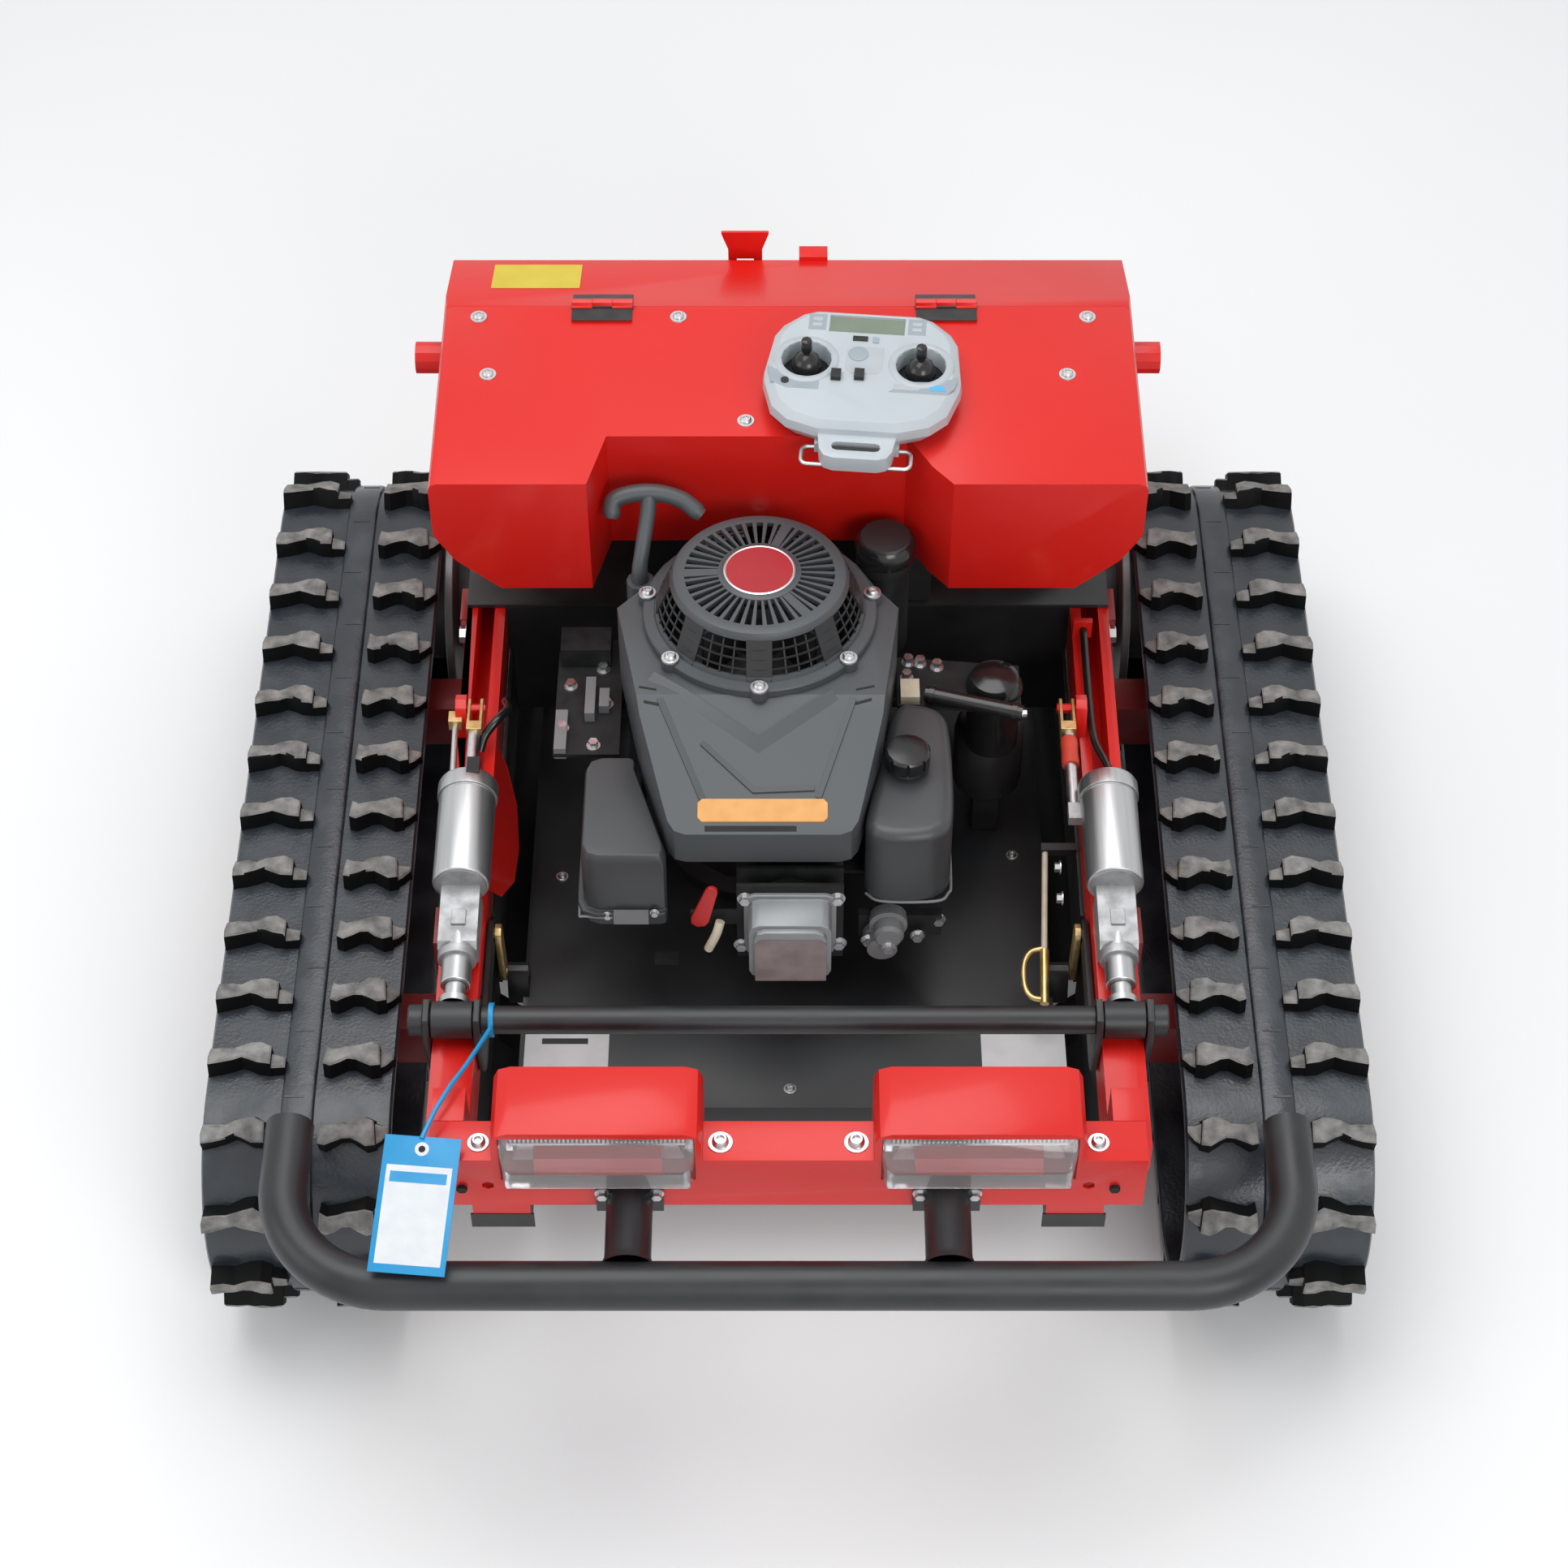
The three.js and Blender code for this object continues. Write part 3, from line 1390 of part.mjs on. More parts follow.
function buildBlade() {
  const half = blade_width / 2;
  const tip = blade_radius;
  const flat = tip * blade_flat_share;
  const cutting = half * blade_flat_share;
  const outline = [
    [-tip, -half], [-flat, -half], [tip, -cutting],
    [tip, half], [flat, half], [-tip, cutting],
  ];
  const wings = [-1, 1].map((side) => {
    const y0 = side > 0 ? half - blade_sheet : -half;
    const x0 = side > 0 ? flat : -tip;
    return block(x0, x0 + tip - flat, y0, y0 + blade_sheet, 0, blade_wing);
  });
  const bore = disc('z', blade_bolt_radius + running_gap, -overrun, blade_wing, 0, 0, small_sides);
  return cut(joined(prism('z', outline, 0, blade_sheet), ...wings), bore);
}

function buildSpindle() {
  const head_radius = blade_bolt_radius * blade_bolt_head_share;
  const hub_bottom = blade_sheet + rest_gap - blade_drop;
  const profile = [
    [0, -blade_drop - blade_bolt_head],
    [head_radius, -blade_drop - blade_bolt_head],
    [head_radius, -blade_drop - rest_gap],
    [blade_bolt_radius, -blade_drop - rest_gap],
    [blade_bolt_radius, hub_bottom],
    [spindle_hub_radius, hub_bottom],
    [spindle_hub_radius, hub_bottom + spindle_radius],
    [spindle_radius, hub_bottom + spindle_hub_radius],
    [spindle_radius, 0],
    [0, 0],
  ];
  return turned('z', profile, 0, 0, small_sides);
}

const engine = new THREE.Group();
engine.position.set(crank_x, crank_y, deck_top);
deck.add(engine);

// Shroud: a tapered cover over the flywheel and cylinder, with a bay for the fan cover
const shroud_wall = 3;
const shroud_left_x = -142;
const shroud_right_x = 138;
const shroud_wide_y = 10;
const shroud_mid_y = -130;
const shroud_mid_left_x = -116;
const shroud_mid_right_x = 120;
const shroud_front_left_x = -84;
const shroud_front_right_x = 92;
const shroud_rear_radius = 122;
const shroud_rear_degrees = 20;
const shroud_slope_rear_y = -112;
const shroud_slope_front_y = -205;
const shroud_step = 14;
const shroud_front_corner = 18;
const fan_bay_radius = 100;
const shroud_rib = 4;
const shroud_rib_length = 84;
const shroud_rib_spread_degrees = 43;
const shroud_rib_pitch = 26;
const shroud_rib_y = -172;
const rope_guide_radius = 14;
const rope_guide_rise = 1;
const handle_seat_x = -120;
const handle_seat_y = 50;

function shroudPlan(inset) {
  const rear_radius = shroud_rear_radius - inset;
  const front = [
    [shroud_mid_left_x + inset, shroud_mid_y],
    [shroud_front_left_x + inset, shroud_front + inset],
    [shroud_front_right_x - inset, shroud_front + inset],
    [shroud_mid_right_x - inset, shroud_mid_y],
    [shroud_right_x - inset, shroud_wide_y],
    [shroud_left_x + inset, shroud_wide_y],
  ];
  const points = rounded(front, [0, shroud_front_corner, shroud_front_corner, 0, 0, 0]);
  points.pop();
  const arc_steps = 8;
  const sweep = Math.PI - THREE.MathUtils.degToRad(shroud_rear_degrees) * 2;
  for (let step = 0; step <= arc_steps; step += 1) {
    const angle = THREE.MathUtils.degToRad(shroud_rear_degrees) + sweep * step / arc_steps;
    points.push([rear_radius * Math.cos(angle), rear_radius * Math.sin(angle)]);
  }
  points.push([shroud_left_x + inset, shroud_wide_y]);
  return points;
}

function shroudSide(inset) {
  const low = inset > 0 ? shroud_bottom - overrun : shroud_bottom;
  const rear = shroud_rear_radius + overrun;
  return [
    [shroud_front - overrun, low],
    [rear, low],
    [rear, shroud_top - inset],
    [shroud_slope_rear_y, shroud_top - inset],
    [shroud_slope_front_y, shroud_front_top + shroud_step - inset],
    [shroud_front - overrun, shroud_front_top - inset],
  ];
}

function buildShroudRibs() {
  const fall = shroud_top - shroud_front_top - shroud_step;
  const run = shroud_slope_rear_y - shroud_slope_front_y;
  const slope = Math.atan2(fall, run);
  const middle_z = shroud_top - fall * (shroud_slope_rear_y - shroud_rib_y) / run;
  const spread = THREE.MathUtils.degToRad(shroud_rib_spread_degrees);
  return [-1, 1].flatMap((side) => [0, 1].map((index) => {
    const half = shroud_rib / 2;
    const rib = block(0, shroud_rib_length - index * shroud_rib_pitch, -half, half, -half, half);
    return rib
      .rotateZ(side > 0 ? spread : Math.PI - spread)
      .translate(0, -index * shroud_rib_pitch, 0)
      .rotateX(slope)
      .translate(0, shroud_rib_y, middle_z);
  }));
}

function buildShroud() {
  const reach = shroud_rear_radius + fan_bay_radius;
  const outer = common(
    prism('z', shroudPlan(0), shroud_bottom, shroud_top + overrun),
    prism('x', shroudSide(0), -reach, reach),
  );
  const inner = common(
    prism('z', shroudPlan(shroud_wall), shroud_bottom - overrun, shroud_top + overrun),
    prism('x', shroudSide(shroud_wall), -reach, reach),
  );
  const bay = disc(
    'z', fan_bay_radius, shroud_top - shroud_wall * 2, shroud_top + overrun, 0, 0, fine_sides,
  );
  const rope_guide = disc(
    'z', rope_guide_radius, shroud_bottom + rope_guide_radius, shroud_top + rope_guide_rise,
    handle_seat_x, handle_seat_y, small_sides,
  );
  return joined(cut(outer, inner, bay), ...buildShroudRibs(), rope_guide);
}

// Engine block: the crankcase on its flange, a finned cylinder that points forward, ports and brackets
const crankcase_radius = 96;
const crankcase_height = 206;
const crankcase_flange = 12;
const cylinder_x = 30;
const cylinder_z = 141;
const cylinder_front = -254;
const cylinder_core_radius = 40;
const fin_count = 7;
const fin_half = 52;
const fin_sheet = 4;
const shroud_lug = 14;
const rear_lug_x = 38;
const port_reach = 2;
const intake_y = 16;
const intake_z = 164;
const intake_half = 18;
const exhaust_y = 12;
const exhaust_z = 182;
const exhaust_radius = 14;
const tank_bottom = 148;
const tank_top = 246;
const tank_left_x = 97;
const tank_right_x = 192;
const tank_front_y = -240;
const tank_rear_y = -52;
const tank_bracket_inset_share = 0.25;
const choke_x = -58;
const choke_z = 146;

function buildShroudLugs() {
  const top = shroud_bottom - rest_gap;
  const low = top - shroud_lug;
  const half = shroud_lug / 2;
  const inside = crankcase_radius / 2;
  const rear_reach = Math.sqrt(shroud_rear_radius ** 2 - rear_lug_x ** 2) - rest_gap;
  return [
    block(inside, shroud_right_x - rest_gap, shroud_wide_y - half, shroud_wide_y + half, low, top),
    block(shroud_left_x + rest_gap, -inside, shroud_wide_y - half, shroud_wide_y + half, low, top),
    block(rear_lug_x - half, rear_lug_x + half, inside, rear_reach, low, top),
    block(-rear_lug_x - half, half - rear_lug_x, inside, rear_reach, low, top),
  ];
}

function buildEngineBlock() {
  const top_radius_share = 0.9;
  const crankcase = turned(
    'z',
    [
      [0, rest_gap],
      [crankcase_radius + crankcase_flange, rest_gap],
      [crankcase_radius + crankcase_flange, crankcase_flange],
      [crankcase_radius, crankcase_flange * 2],
      [crankcase_radius, crankcase_height - crankcase_flange * 2],
      [crankcase_radius * top_radius_share, crankcase_height],
      [0, crankcase_height],
    ],
    0, 0, round_sides,
  );
  const core = disc(
    'y', cylinder_core_radius, cylinder_front, 0, cylinder_x, cylinder_z, pin_sides,
  );
  const fins = [];
  const fin_pitch = (-crankcase_radius - cylinder_front) / fin_count;
  for (let index = 0; index < fin_count; index += 1) {
    const place = cylinder_front + fin_pitch * index;
    fins.push(block(
      cylinder_x - fin_half, cylinder_x + fin_half,
      place, place + fin_sheet,
      cylinder_z - fin_half, cylinder_z + fin_half,
    ));
  }
  const inside = crankcase_radius / 2;
  const intake = block(
    -crankcase_radius - port_reach, -inside,
    intake_y - intake_half, intake_y + intake_half,
    intake_z - intake_half, intake_z + intake_half,
  );
  const exhaust = disc(
    'x', exhaust_radius, inside, crankcase_radius + port_reach, exhaust_y, exhaust_z, pin_sides,
  );
  const bracket_inset = (tank_rear_y - tank_front_y) * tank_bracket_inset_share;
  const tank_bracket = block(
    cylinder_x + fin_half - overrun, (tank_left_x + tank_right_x) / 2,
    tank_front_y + bracket_inset, tank_rear_y - bracket_inset,
    tank_bottom - rest_gap - fin_sheet, tank_bottom - rest_gap,
  );
  const choke_bracket = block(
    choke_x - choke_foot_radius, cylinder_x - fin_half + overrun,
    cylinder_front, cylinder_front + fin_sheet,
    choke_z - choke_foot_radius, choke_z + choke_foot_radius,
  );
  const lugs = buildShroudLugs();
  return joined(crankcase, core, ...fins, ...lugs, intake, exhaust, tank_bracket, choke_bracket);
}

// Choke lever: a leaning flat lever that turns on a pin in front of its bracket
const choke_foot_radius = 9;
const choke_tip_radius = 6;
const choke_sheet = 4;
const choke_lean = 12;
const choke_rise = 42;

function buildChokeLever() {
  const foot = [choke_x, choke_z];
  const tip = [choke_x + choke_lean, choke_z + choke_rise];
  const back = cylinder_front - rest_gap;
  return prism('y', strap(foot, tip, choke_foot_radius, choke_tip_radius), back - choke_sheet, back);
}

// Valve cover: a flanged cap with a raised crown on the end of the cylinder
const valve_half_width = 40;
const valve_half_height = 38;
const valve_depth = 44;
const valve_lip = 5;

function buildValveCover() {
  const back = cylinder_front - rest_gap;
  const layer = (grow) => rounded(
    rectangle(
      cylinder_x - valve_half_width - grow, cylinder_x + valve_half_width + grow,
      cylinder_z - valve_half_height - grow, cylinder_z + valve_half_height + grow,
    ),
    valve_lip * 2,
  );
  return joined(
    prism('y', layer(valve_lip), back - valve_lip, back),
    prism('y', layer(0), back - valve_depth + valve_lip, back),
    prism('y', layer(-valve_lip), back - valve_depth, back),
  );
}

// Fan cover: a domed cap with a ring of radial slots, a badge boss and windows round its skirt
const fan_cover_wall = 3;
const fan_cover_foot = 8;
const fan_cover_rim = 8;
const fan_lug_ring_share = 0.75;
const fan_cover_shoulder = 12;
const fan_cover_bend = 8;
const fan_cover_fall = 2;
const fan_lug_radius = 9;
const top_radius = 92;
const badge_radius = 38;
const badge_rise = 3;
const slot_count = 40;
const wide_spoke_every = 5;
const slot_inner_radius = 44;
const slot_outer_radius = 86;
const fan_slot_width = 4;
const window_count = 9;
const window_half = 14;
const window_sill = 5;
const window_head = 8;
const fan_lug_degrees = [10, 90, 170, 220, 270, 320];

function buildFanCover() {
  const wall = fan_cover_wall;
  const base = fan_cover_base + rest_gap;
  const shoulder = fan_cover_top - fan_cover_shoulder;
  const foot_z = base + fan_cover_foot;
  const skirt = fan_cover_radius - wall;
  const crown = top_radius - fan_cover_bend;
  const profile = [
    [0, fan_cover_top + badge_rise],
    [badge_radius - fan_cover_fall, fan_cover_top + badge_rise],
    [badge_radius, fan_cover_top],
    [crown, fan_cover_top - fan_cover_fall],
    [top_radius, shoulder],
    [skirt, foot_z],
    [fan_cover_radius + fan_cover_rim, foot_z],
    [fan_cover_radius + fan_cover_rim, base],
    [skirt - wall, base],
    [top_radius - wall, shoulder - fan_cover_fall],
    [crown - wall, fan_cover_top - fan_cover_fall - wall],
    [0, fan_cover_top - wall],
  ];
  const dome = turned('z', profile, 0, 0, fine_sides);
  const lug_ring = fan_cover_radius + fan_cover_rim * fan_lug_ring_share;
  const lugs = fan_lug_degrees.map((degrees) => {
    const angle = THREE.MathUtils.degToRad(degrees);
    return disc(
      'z', fan_lug_radius, base, foot_z + wall,
      lug_ring * Math.cos(angle), lug_ring * Math.sin(angle), hole_sides,
    );
  });
  const cuts = [];
  const slot_half = fan_slot_width / 2;
  for (let index = 0; index < slot_count; index += 1) {
    if (index % wide_spoke_every === 0) {
      continue;
    }
    const slot = block(
      slot_inner_radius, slot_outer_radius, -slot_half, slot_half, shoulder, fan_cover_top + overrun,
    );
    cuts.push(slot.rotateZ(Math.PI * 2 * index / slot_count));
  }
  for (let index = 0; index < window_count; index += 1) {
    const window = block(
      top_radius - wall * 3, fan_cover_radius + overrun, -window_half, window_half,
      foot_z + window_sill, shoulder - window_head,
    );
    cuts.push(window.rotateZ(Math.PI * 2 * (index + 0.5) / window_count));
  }
  return cut(joined(dome, ...lugs), ...cuts);
}

// Flywheel: a disc with cooling vanes on the crankshaft, under the fan cover
const flywheel_radius = 82;
const flywheel_drop = 60;
const flywheel_rim = 22;
const flywheel_hub_radius = 30;
const flywheel_top_gap = 24;
const vane_count = 8;
const vane_sheet = 4;

function buildFlywheel() {
  const wheel_top = fan_cover_top - flywheel_top_gap;
  const wheel_bottom = shroud_top - flywheel_drop;
  const shaft_end = crankcase_height + running_gap;
  const profile = [
    [0, shaft_end],
    [spindle_radius, shaft_end],
    [spindle_radius, wheel_bottom],
    [flywheel_radius, wheel_bottom],
    [flywheel_radius, wheel_bottom + flywheel_rim],
    [flywheel_hub_radius, wheel_bottom + flywheel_hub_radius],
    [flywheel_hub_radius, wheel_top],
    [0, wheel_top],
  ];
  const vanes = [];
  for (let index = 0; index < vane_count; index += 1) {
    const vane = block(
      flywheel_hub_radius + vane_sheet, flywheel_radius - vane_sheet,
      -vane_sheet / 2, vane_sheet / 2,
      wheel_bottom + flywheel_rim / 2, wheel_top - vane_sheet * 2,
    );
    vanes.push(vane.rotateZ(Math.PI * 2 * index / vane_count));
  }
  return joined(turned('z', profile, 0, 0, round_sides), ...vanes);
}

// Fuel tank: a rounded body with a welded seam and a filler neck
const tank_corner = 34;
const tank_crown = 12;
const tank_seam = 4;
const tank_side_inset_share = 0.75;
const tank_seam_rise = 22;
const tank_waist_gap = 2;
const tank_neck_radius = 17;
const tank_neck_rise = 8;
const cap_x = 144;
const cap_y = -146;
const cap_radius = 23;
const cap_height = 17;
const cap_bevel = 3;
const cap_notch_radius = 2.5;
const cap_notch_count = 8;

function tankOutline(inset) {
  const shrink = 1 - inset / tank_corner;
  const corner = tank_corner * shrink;
  const rear_left = shroud_right_x - (shroud_right_x - shroud_mid_right_x) / 3;
  return rounded(
    [
      [tank_left_x + inset, tank_front_y + inset],
      [tank_right_x - inset - tank_crown, tank_front_y + inset],
      [tank_right_x - inset, tank_rear_y - inset],
      [rear_left + inset, tank_rear_y - inset],
      [shroud_mid_right_x + tank_waist_gap + inset, shroud_mid_y],
    ],
    [corner / 2, corner, corner, corner / 3, 0],
  );
}

function buildFuelTank() {
  const side_inset = tank_seam * tank_side_inset_share;
  const body = loft(tankOutline(side_inset * 2), tankOutline(side_inset), tank_bottom, tank_top - tank_crown);
  const top = loft(tankOutline(side_inset), tankOutline(tank_crown), tank_top - tank_crown, tank_top);
  const seam_z = tank_bottom + tank_seam_rise;
  const rim = prism('z', tankOutline(0), seam_z, seam_z + tank_seam);
  const neck = disc(
    'z', tank_neck_radius, tank_top - overrun, tank_top + tank_neck_rise, cap_x, cap_y, small_sides,
  );
  return joined(body, top, rim, neck);
}

function buildFuelCap() {
  const foot = tank_top + tank_neck_rise + rest_gap;
  const cap = turned(
    'z',
    [
      [0, foot],
      [cap_radius, foot],
      [cap_radius, foot + cap_height - cap_bevel],
      [cap_radius - cap_bevel, foot + cap_height],
      [0, foot + cap_height],
    ],
    0, 0, round_sides,
  );
  const notches = [];
  for (let index = 0; index < cap_notch_count; index += 1) {
    const angle = Math.PI * 2 * index / cap_notch_count;
    notches.push(disc(
      'z', cap_notch_radius, foot - overrun, foot + cap_height + overrun,
      cap_radius * Math.cos(angle), cap_radius * Math.sin(angle), hole_sides - 2,
    ));
  }
  return cut(cap, ...notches).translate(cap_x, cap_y, 0);
}

// Air filter box: a moulded body that follows the shroud, with a seam and a domed lid
const air_box_left_x = -172;
const air_box_front_y = -250;
const air_box_rear_y = -112;
const air_box_bottom = 132;
const air_box_top = 218;
const air_box_lid = 10;
const air_box_seam_z = 148;
const air_box_seam = 5;
const air_box_corner = 16;
const air_box_bend = 6;
const air_box_gap = 6;

function airBoxOutline(grow) {
  const front = air_box_front_y - grow;
  const rear = air_box_rear_y;
  const left = air_box_left_x - grow;
  const front_right = shroud_front_left_x - air_box_gap;
  const rear_right = shroud_mid_left_x - air_box_gap;
  return rounded(
    [
      [left, front],
      [front_right, front],
      [front_right, front + air_box_corner],
      [rear_right, rear - air_box_corner],
      [rear_right, rear],
      [left, rear],
    ],
    [air_box_corner, air_box_bend, 0, 0, air_box_bend, air_box_corner],
  );
}

function buildAirFilter() {
  const lid_shares = [0.92, 0.94];
  const body = airBoxOutline(0);
  const middle = [(air_box_left_x + shroud_mid_left_x) / 2, (air_box_front_y + air_box_rear_y) / 2];
  const crown = body.map(([x, y]) => [
    middle[0] + (x - middle[0]) * lid_shares[0],
    middle[1] + (y - middle[1]) * lid_shares[1],
  ]);
  return joined(
    prism('z', body, air_box_bottom, air_box_top),
    loft(body, crown, air_box_top, air_box_top + air_box_lid),
    prism('z', airBoxOutline(air_box_seam), air_box_seam_z, air_box_seam_z + air_box_seam),
  );
}

// Muffler: an upright can on the deck plate, fed by a bent pipe from the exhaust port
const muffler_x = 236;
const muffler_radius = 36;
const muffler_bottom = 60;
const muffler_top = 152;
const muffler_bevel = 10;
const muffler_foot_half = 14;
const pipe_radius = 8;
const pipe_bend = 14;

function buildMuffler() {
  const neck = muffler_radius - muffler_bevel / 2;
  const can = turned(
    'z',
    [
      [0, muffler_bottom],
      [neck, muffler_bottom],
      [muffler_radius, muffler_bottom + muffler_bevel],
      [muffler_radius, muffler_top - muffler_bevel],
      [neck, muffler_top],
      [0, muffler_top],
    ],
    muffler_x, exhaust_y, small_sides,
  );
  const route = bentPath(
    [
      [crankcase_radius + port_reach + rest_gap, exhaust_y, exhaust_z],
      [muffler_x, exhaust_y, exhaust_z],
      [muffler_x, exhaust_y, muffler_top - muffler_bevel],
    ],
    pipe_bend,
    3,
  );
  const foot = block(
    muffler_x - muffler_foot_half, muffler_x + muffler_foot_half,
    exhaust_y - muffler_foot_half, exhaust_y + muffler_foot_half,
    rest_gap, muffler_bottom + overrun,
  );
  return joined(can, tube(route, pipe_radius, pin_sides), foot);
}

// Electric starter: an upright motor with a capped top, on a flat bracket over the crankcase
const starter_x = 126;
const starter_y = 86;
const starter_radius = 25;
const starter_bottom = 196;
const starter_top = 340;
const starter_cap_height = 40;
const starter_cap_reach = 4;
const starter_bevel = 8;
const starter_bracket_sheet = 5;
const starter_bracket_half = 15;

function buildStarter() {
  const cap_z = starter_top - starter_cap_height;
  const cap_radius_out = starter_radius + starter_cap_reach;
  const body = turned(
    'z',
    [
      [0, starter_bottom],
      [starter_radius, starter_bottom],
      [starter_radius, cap_z],
      [cap_radius_out, cap_z + starter_cap_reach],
      [cap_radius_out, starter_top - starter_bevel],
      [starter_radius, starter_top],
      [0, starter_top],
    ],
    starter_x, starter_y, round_sides,
  );
  const bracket_y = starter_y - starter_radius - starter_cap_reach;
  const bracket = block(
    starter_x / 2, starter_x,
    bracket_y - starter_bracket_half, bracket_y + starter_bracket_half,
    crankcase_height + rest_gap, crankcase_height + starter_bracket_sheet,
  );
  return joined(body, bracket);
}

// Recoil handle: a bowed grip on a curved neck, seated on the shroud's rope guide
const grip_radius = 9;
const neck_radius = 8;
const grip_x = -103;
const grip_y = 78;
const grip_z = 368;
const grip_half = 45;
const grip_bow = 19;
const grip_rise = 20;
const grip_steps = 7;
const neck_straight = 17;
const neck_steps = 5;
const grip_shares = [[-1, 0, 0.1], [-0.91, 0.68, 0.8], [-0.2, 1, 1], [0.51, 0.89, 0.65], [1, 0.37, 0]];
const neck_shares = [[0, 0, 0], [0.11, 0.26, 0.25], [0.67, 0.78, 0.68], [1, 1, 1]];

function buildRecoilHandle() {
  const seat = [handle_seat_x, handle_seat_y, shroud_top + rope_guide_rise + rest_gap];
  const grip = grip_shares.map(
    ([u, v, w]) => [grip_x + u * grip_half, grip_y + v * grip_bow, grip_z + w * grip_rise],
  );
  const neck_top = grip[2];
  const neck_foot = [seat[0], seat[1], seat[2] + neck_straight];
  const neck = neck_shares.map(
    (shares) => shares.map((share, axis) => neck_top[axis] + (neck_foot[axis] - neck_top[axis]) * share),
  );
  return joined(
    tube(smoothPath(grip, grip_steps), grip_radius, pin_sides),
    tube(smoothPath([...neck, seat], neck_steps), neck_radius, pin_sides),
  );
}

// Carburettor: a body flanged to the intake, its inlet to the filter box, bowl and throttle shaft
const carburettor_width = 46;
const carburettor_front_y = -10;
const carburettor_rear_y = 42;
const carburettor_half_height = 22;
const inlet_radius = 19;
const bowl_radius = 17;
const bowl_drop = 20;
const throttle_shaft_radius = 4;
const throttle_shaft_rise = 18;

function buildCarburettor() {
  const right = -crankcase_radius - port_reach - rest_gap;
  const body_right = right - carburettor_half_height / 2;
  const left = body_right - carburettor_width;
  const middle = (left + body_right) / 2;
  const bottom = intake_z - carburettor_half_height;
  const top = intake_z + carburettor_half_height;
  return joined(
    block(left, body_right, carburettor_front_y, carburettor_rear_y, bottom, top),
    disc(
      'y', inlet_radius, air_box_rear_y + rest_gap, carburettor_front_y + overrun,
      middle, intake_z, pin_sides,
    ),
    disc('z', bowl_radius, bottom - bowl_drop, bottom + overrun, middle, intake_y, pin_sides),
    disc(
      'z', throttle_shaft_radius, top - overrun, top + throttle_shaft_rise,
      left + inlet_radius / 2, 0, hole_sides,
    ),
    block(
      body_right - overrun, right,
      intake_y - intake_half, intake_y + intake_half,
      intake_z - intake_half, intake_z + intake_half,
    ),
  );
}

function buildDeckGroup() {
  piece('deck_shell', buildDeckShell(), black_paint, deck);
  piece('engine_block', buildEngineBlock(), cast_aluminium, engine);
  piece('valve_cover', buildValveCover(), cast_aluminium, engine);
  piece('choke_lever', buildChokeLever(), choke_red, engine);
  piece('engine_shroud', buildShroud(), black_plastic, engine);
  piece('fan_cover', buildFanCover(), black_plastic, engine);
  piece('flywheel', buildFlywheel(), cast_aluminium, engine);
  piece('fuel_tank', buildFuelTank(), black_plastic, engine);
  piece('fuel_cap', buildFuelCap(), black_plastic, engine);
  piece('air_filter_box', buildAirFilter(), black_plastic, engine);
  piece('muffler', buildMuffler(), black_paint, engine);
  piece('starter_motor', buildStarter(), black_plastic, engine);
  piece('recoil_handle', buildRecoilHandle(), black_plastic, engine);
  piece('carburettor', buildCarburettor(), cast_aluminium, engine);
  piece('blade_spindle', buildSpindle(), bright_steel, engine);
  piece('blade', buildBlade(), bright_steel, engine).position.z = -blade_drop;
}

// Lift linkage: the crossbar between two rockers, a link down to the deck on each side
const bar_nut_radius = 15;
const rocker_eye_share = 1.7;
const rocker_foot_share = 2.4;
const arm_tip_share = 2.8;

function buildCrossbar() {
  const end_x = arm_outer_x + rocker_side_gap + rocker_sheet;
  const step_x = arm_inner_x - rocker_side_gap - rocker_sheet;
  const half = [
    [crossbar_radius, 0],
    [crossbar_radius, step_x - rest_gap],
    [bar_end_radius, step_x - rest_gap],
    [bar_end_radius, end_x + rest_gap],
    [bar_nut_radius, end_x + rest_gap],
    [bar_nut_radius, end_x + bar_nut_radius],
    [0, end_x + bar_nut_radius],
  ];
  const other = half.map(([r, place]) => [r, -place]).reverse();
  const profile = [...other.slice(0, -1), ...half.slice(1)];
  return turned('x', profile, crossbar_y, crossbar_z, small_sides);
}

function buildRocker() {
  const inner_from = arm_inner_x - rocker_side_gap - rocker_sheet;
  const inner_to = inner_from + rocker_sheet;
  const outer_from = arm_outer_x + rocker_side_gap;
  const outer_to = outer_from + rocker_sheet;
  const pivot = [pivot_y, pivot_z];
  const arm_end = [pivot_y + lift_arm_reach, pivot_z];
  const foot_radius = pivot_pin_radius * rocker_foot_share;
  const outline = strap(pivot, [crossbar_y, crossbar_z], foot_radius, crossbar_radius * rocker_eye_share, 3);
  const arm_outline = strap(pivot, arm_end, foot_radius, link_pin_radius * arm_tip_share, 3);
  const slot_radius = link_pin_radius + running_gap;
  const slot_outline = strap(
    [arm_end[0] - link_slot_play, arm_end[1]],
    [arm_end[0] + link_slot_play, arm_end[1]],
    slot_radius,
    slot_radius,
    3,
  );
  const bore = disc(
    'x', bar_end_radius + rest_gap, inner_from - overrun, outer_to + overrun,
    crossbar_y, crossbar_z, small_sides,
  );
  return cut(
    joined(
      prism('x', outline, inner_from, inner_to),
      prism('x', arm_outline, inner_from, inner_to),
      prism('x', outline, outer_from, outer_to),
      disc('x', pivot_pin_radius, inner_from, outer_to, pivot_y, pivot_z, small_sides),
    ),
    bore,
    prism('x', slot_outline, inner_from - overrun, inner_to + overrun),
  );
}

// Lift link: a flat bar whose upper pin rides in the rocker's slot and whose lower pin turns in the deck
function deckPoint(y, z) {
  const tilt = THREE.MathUtils.degToRad(deck_tilt_degrees);
  return [
    deck_hinge_y + y * Math.cos(tilt) + z * Math.sin(tilt),
    deck_hinge_z - y * Math.sin(tilt) + z * Math.cos(tilt),
  ];
}

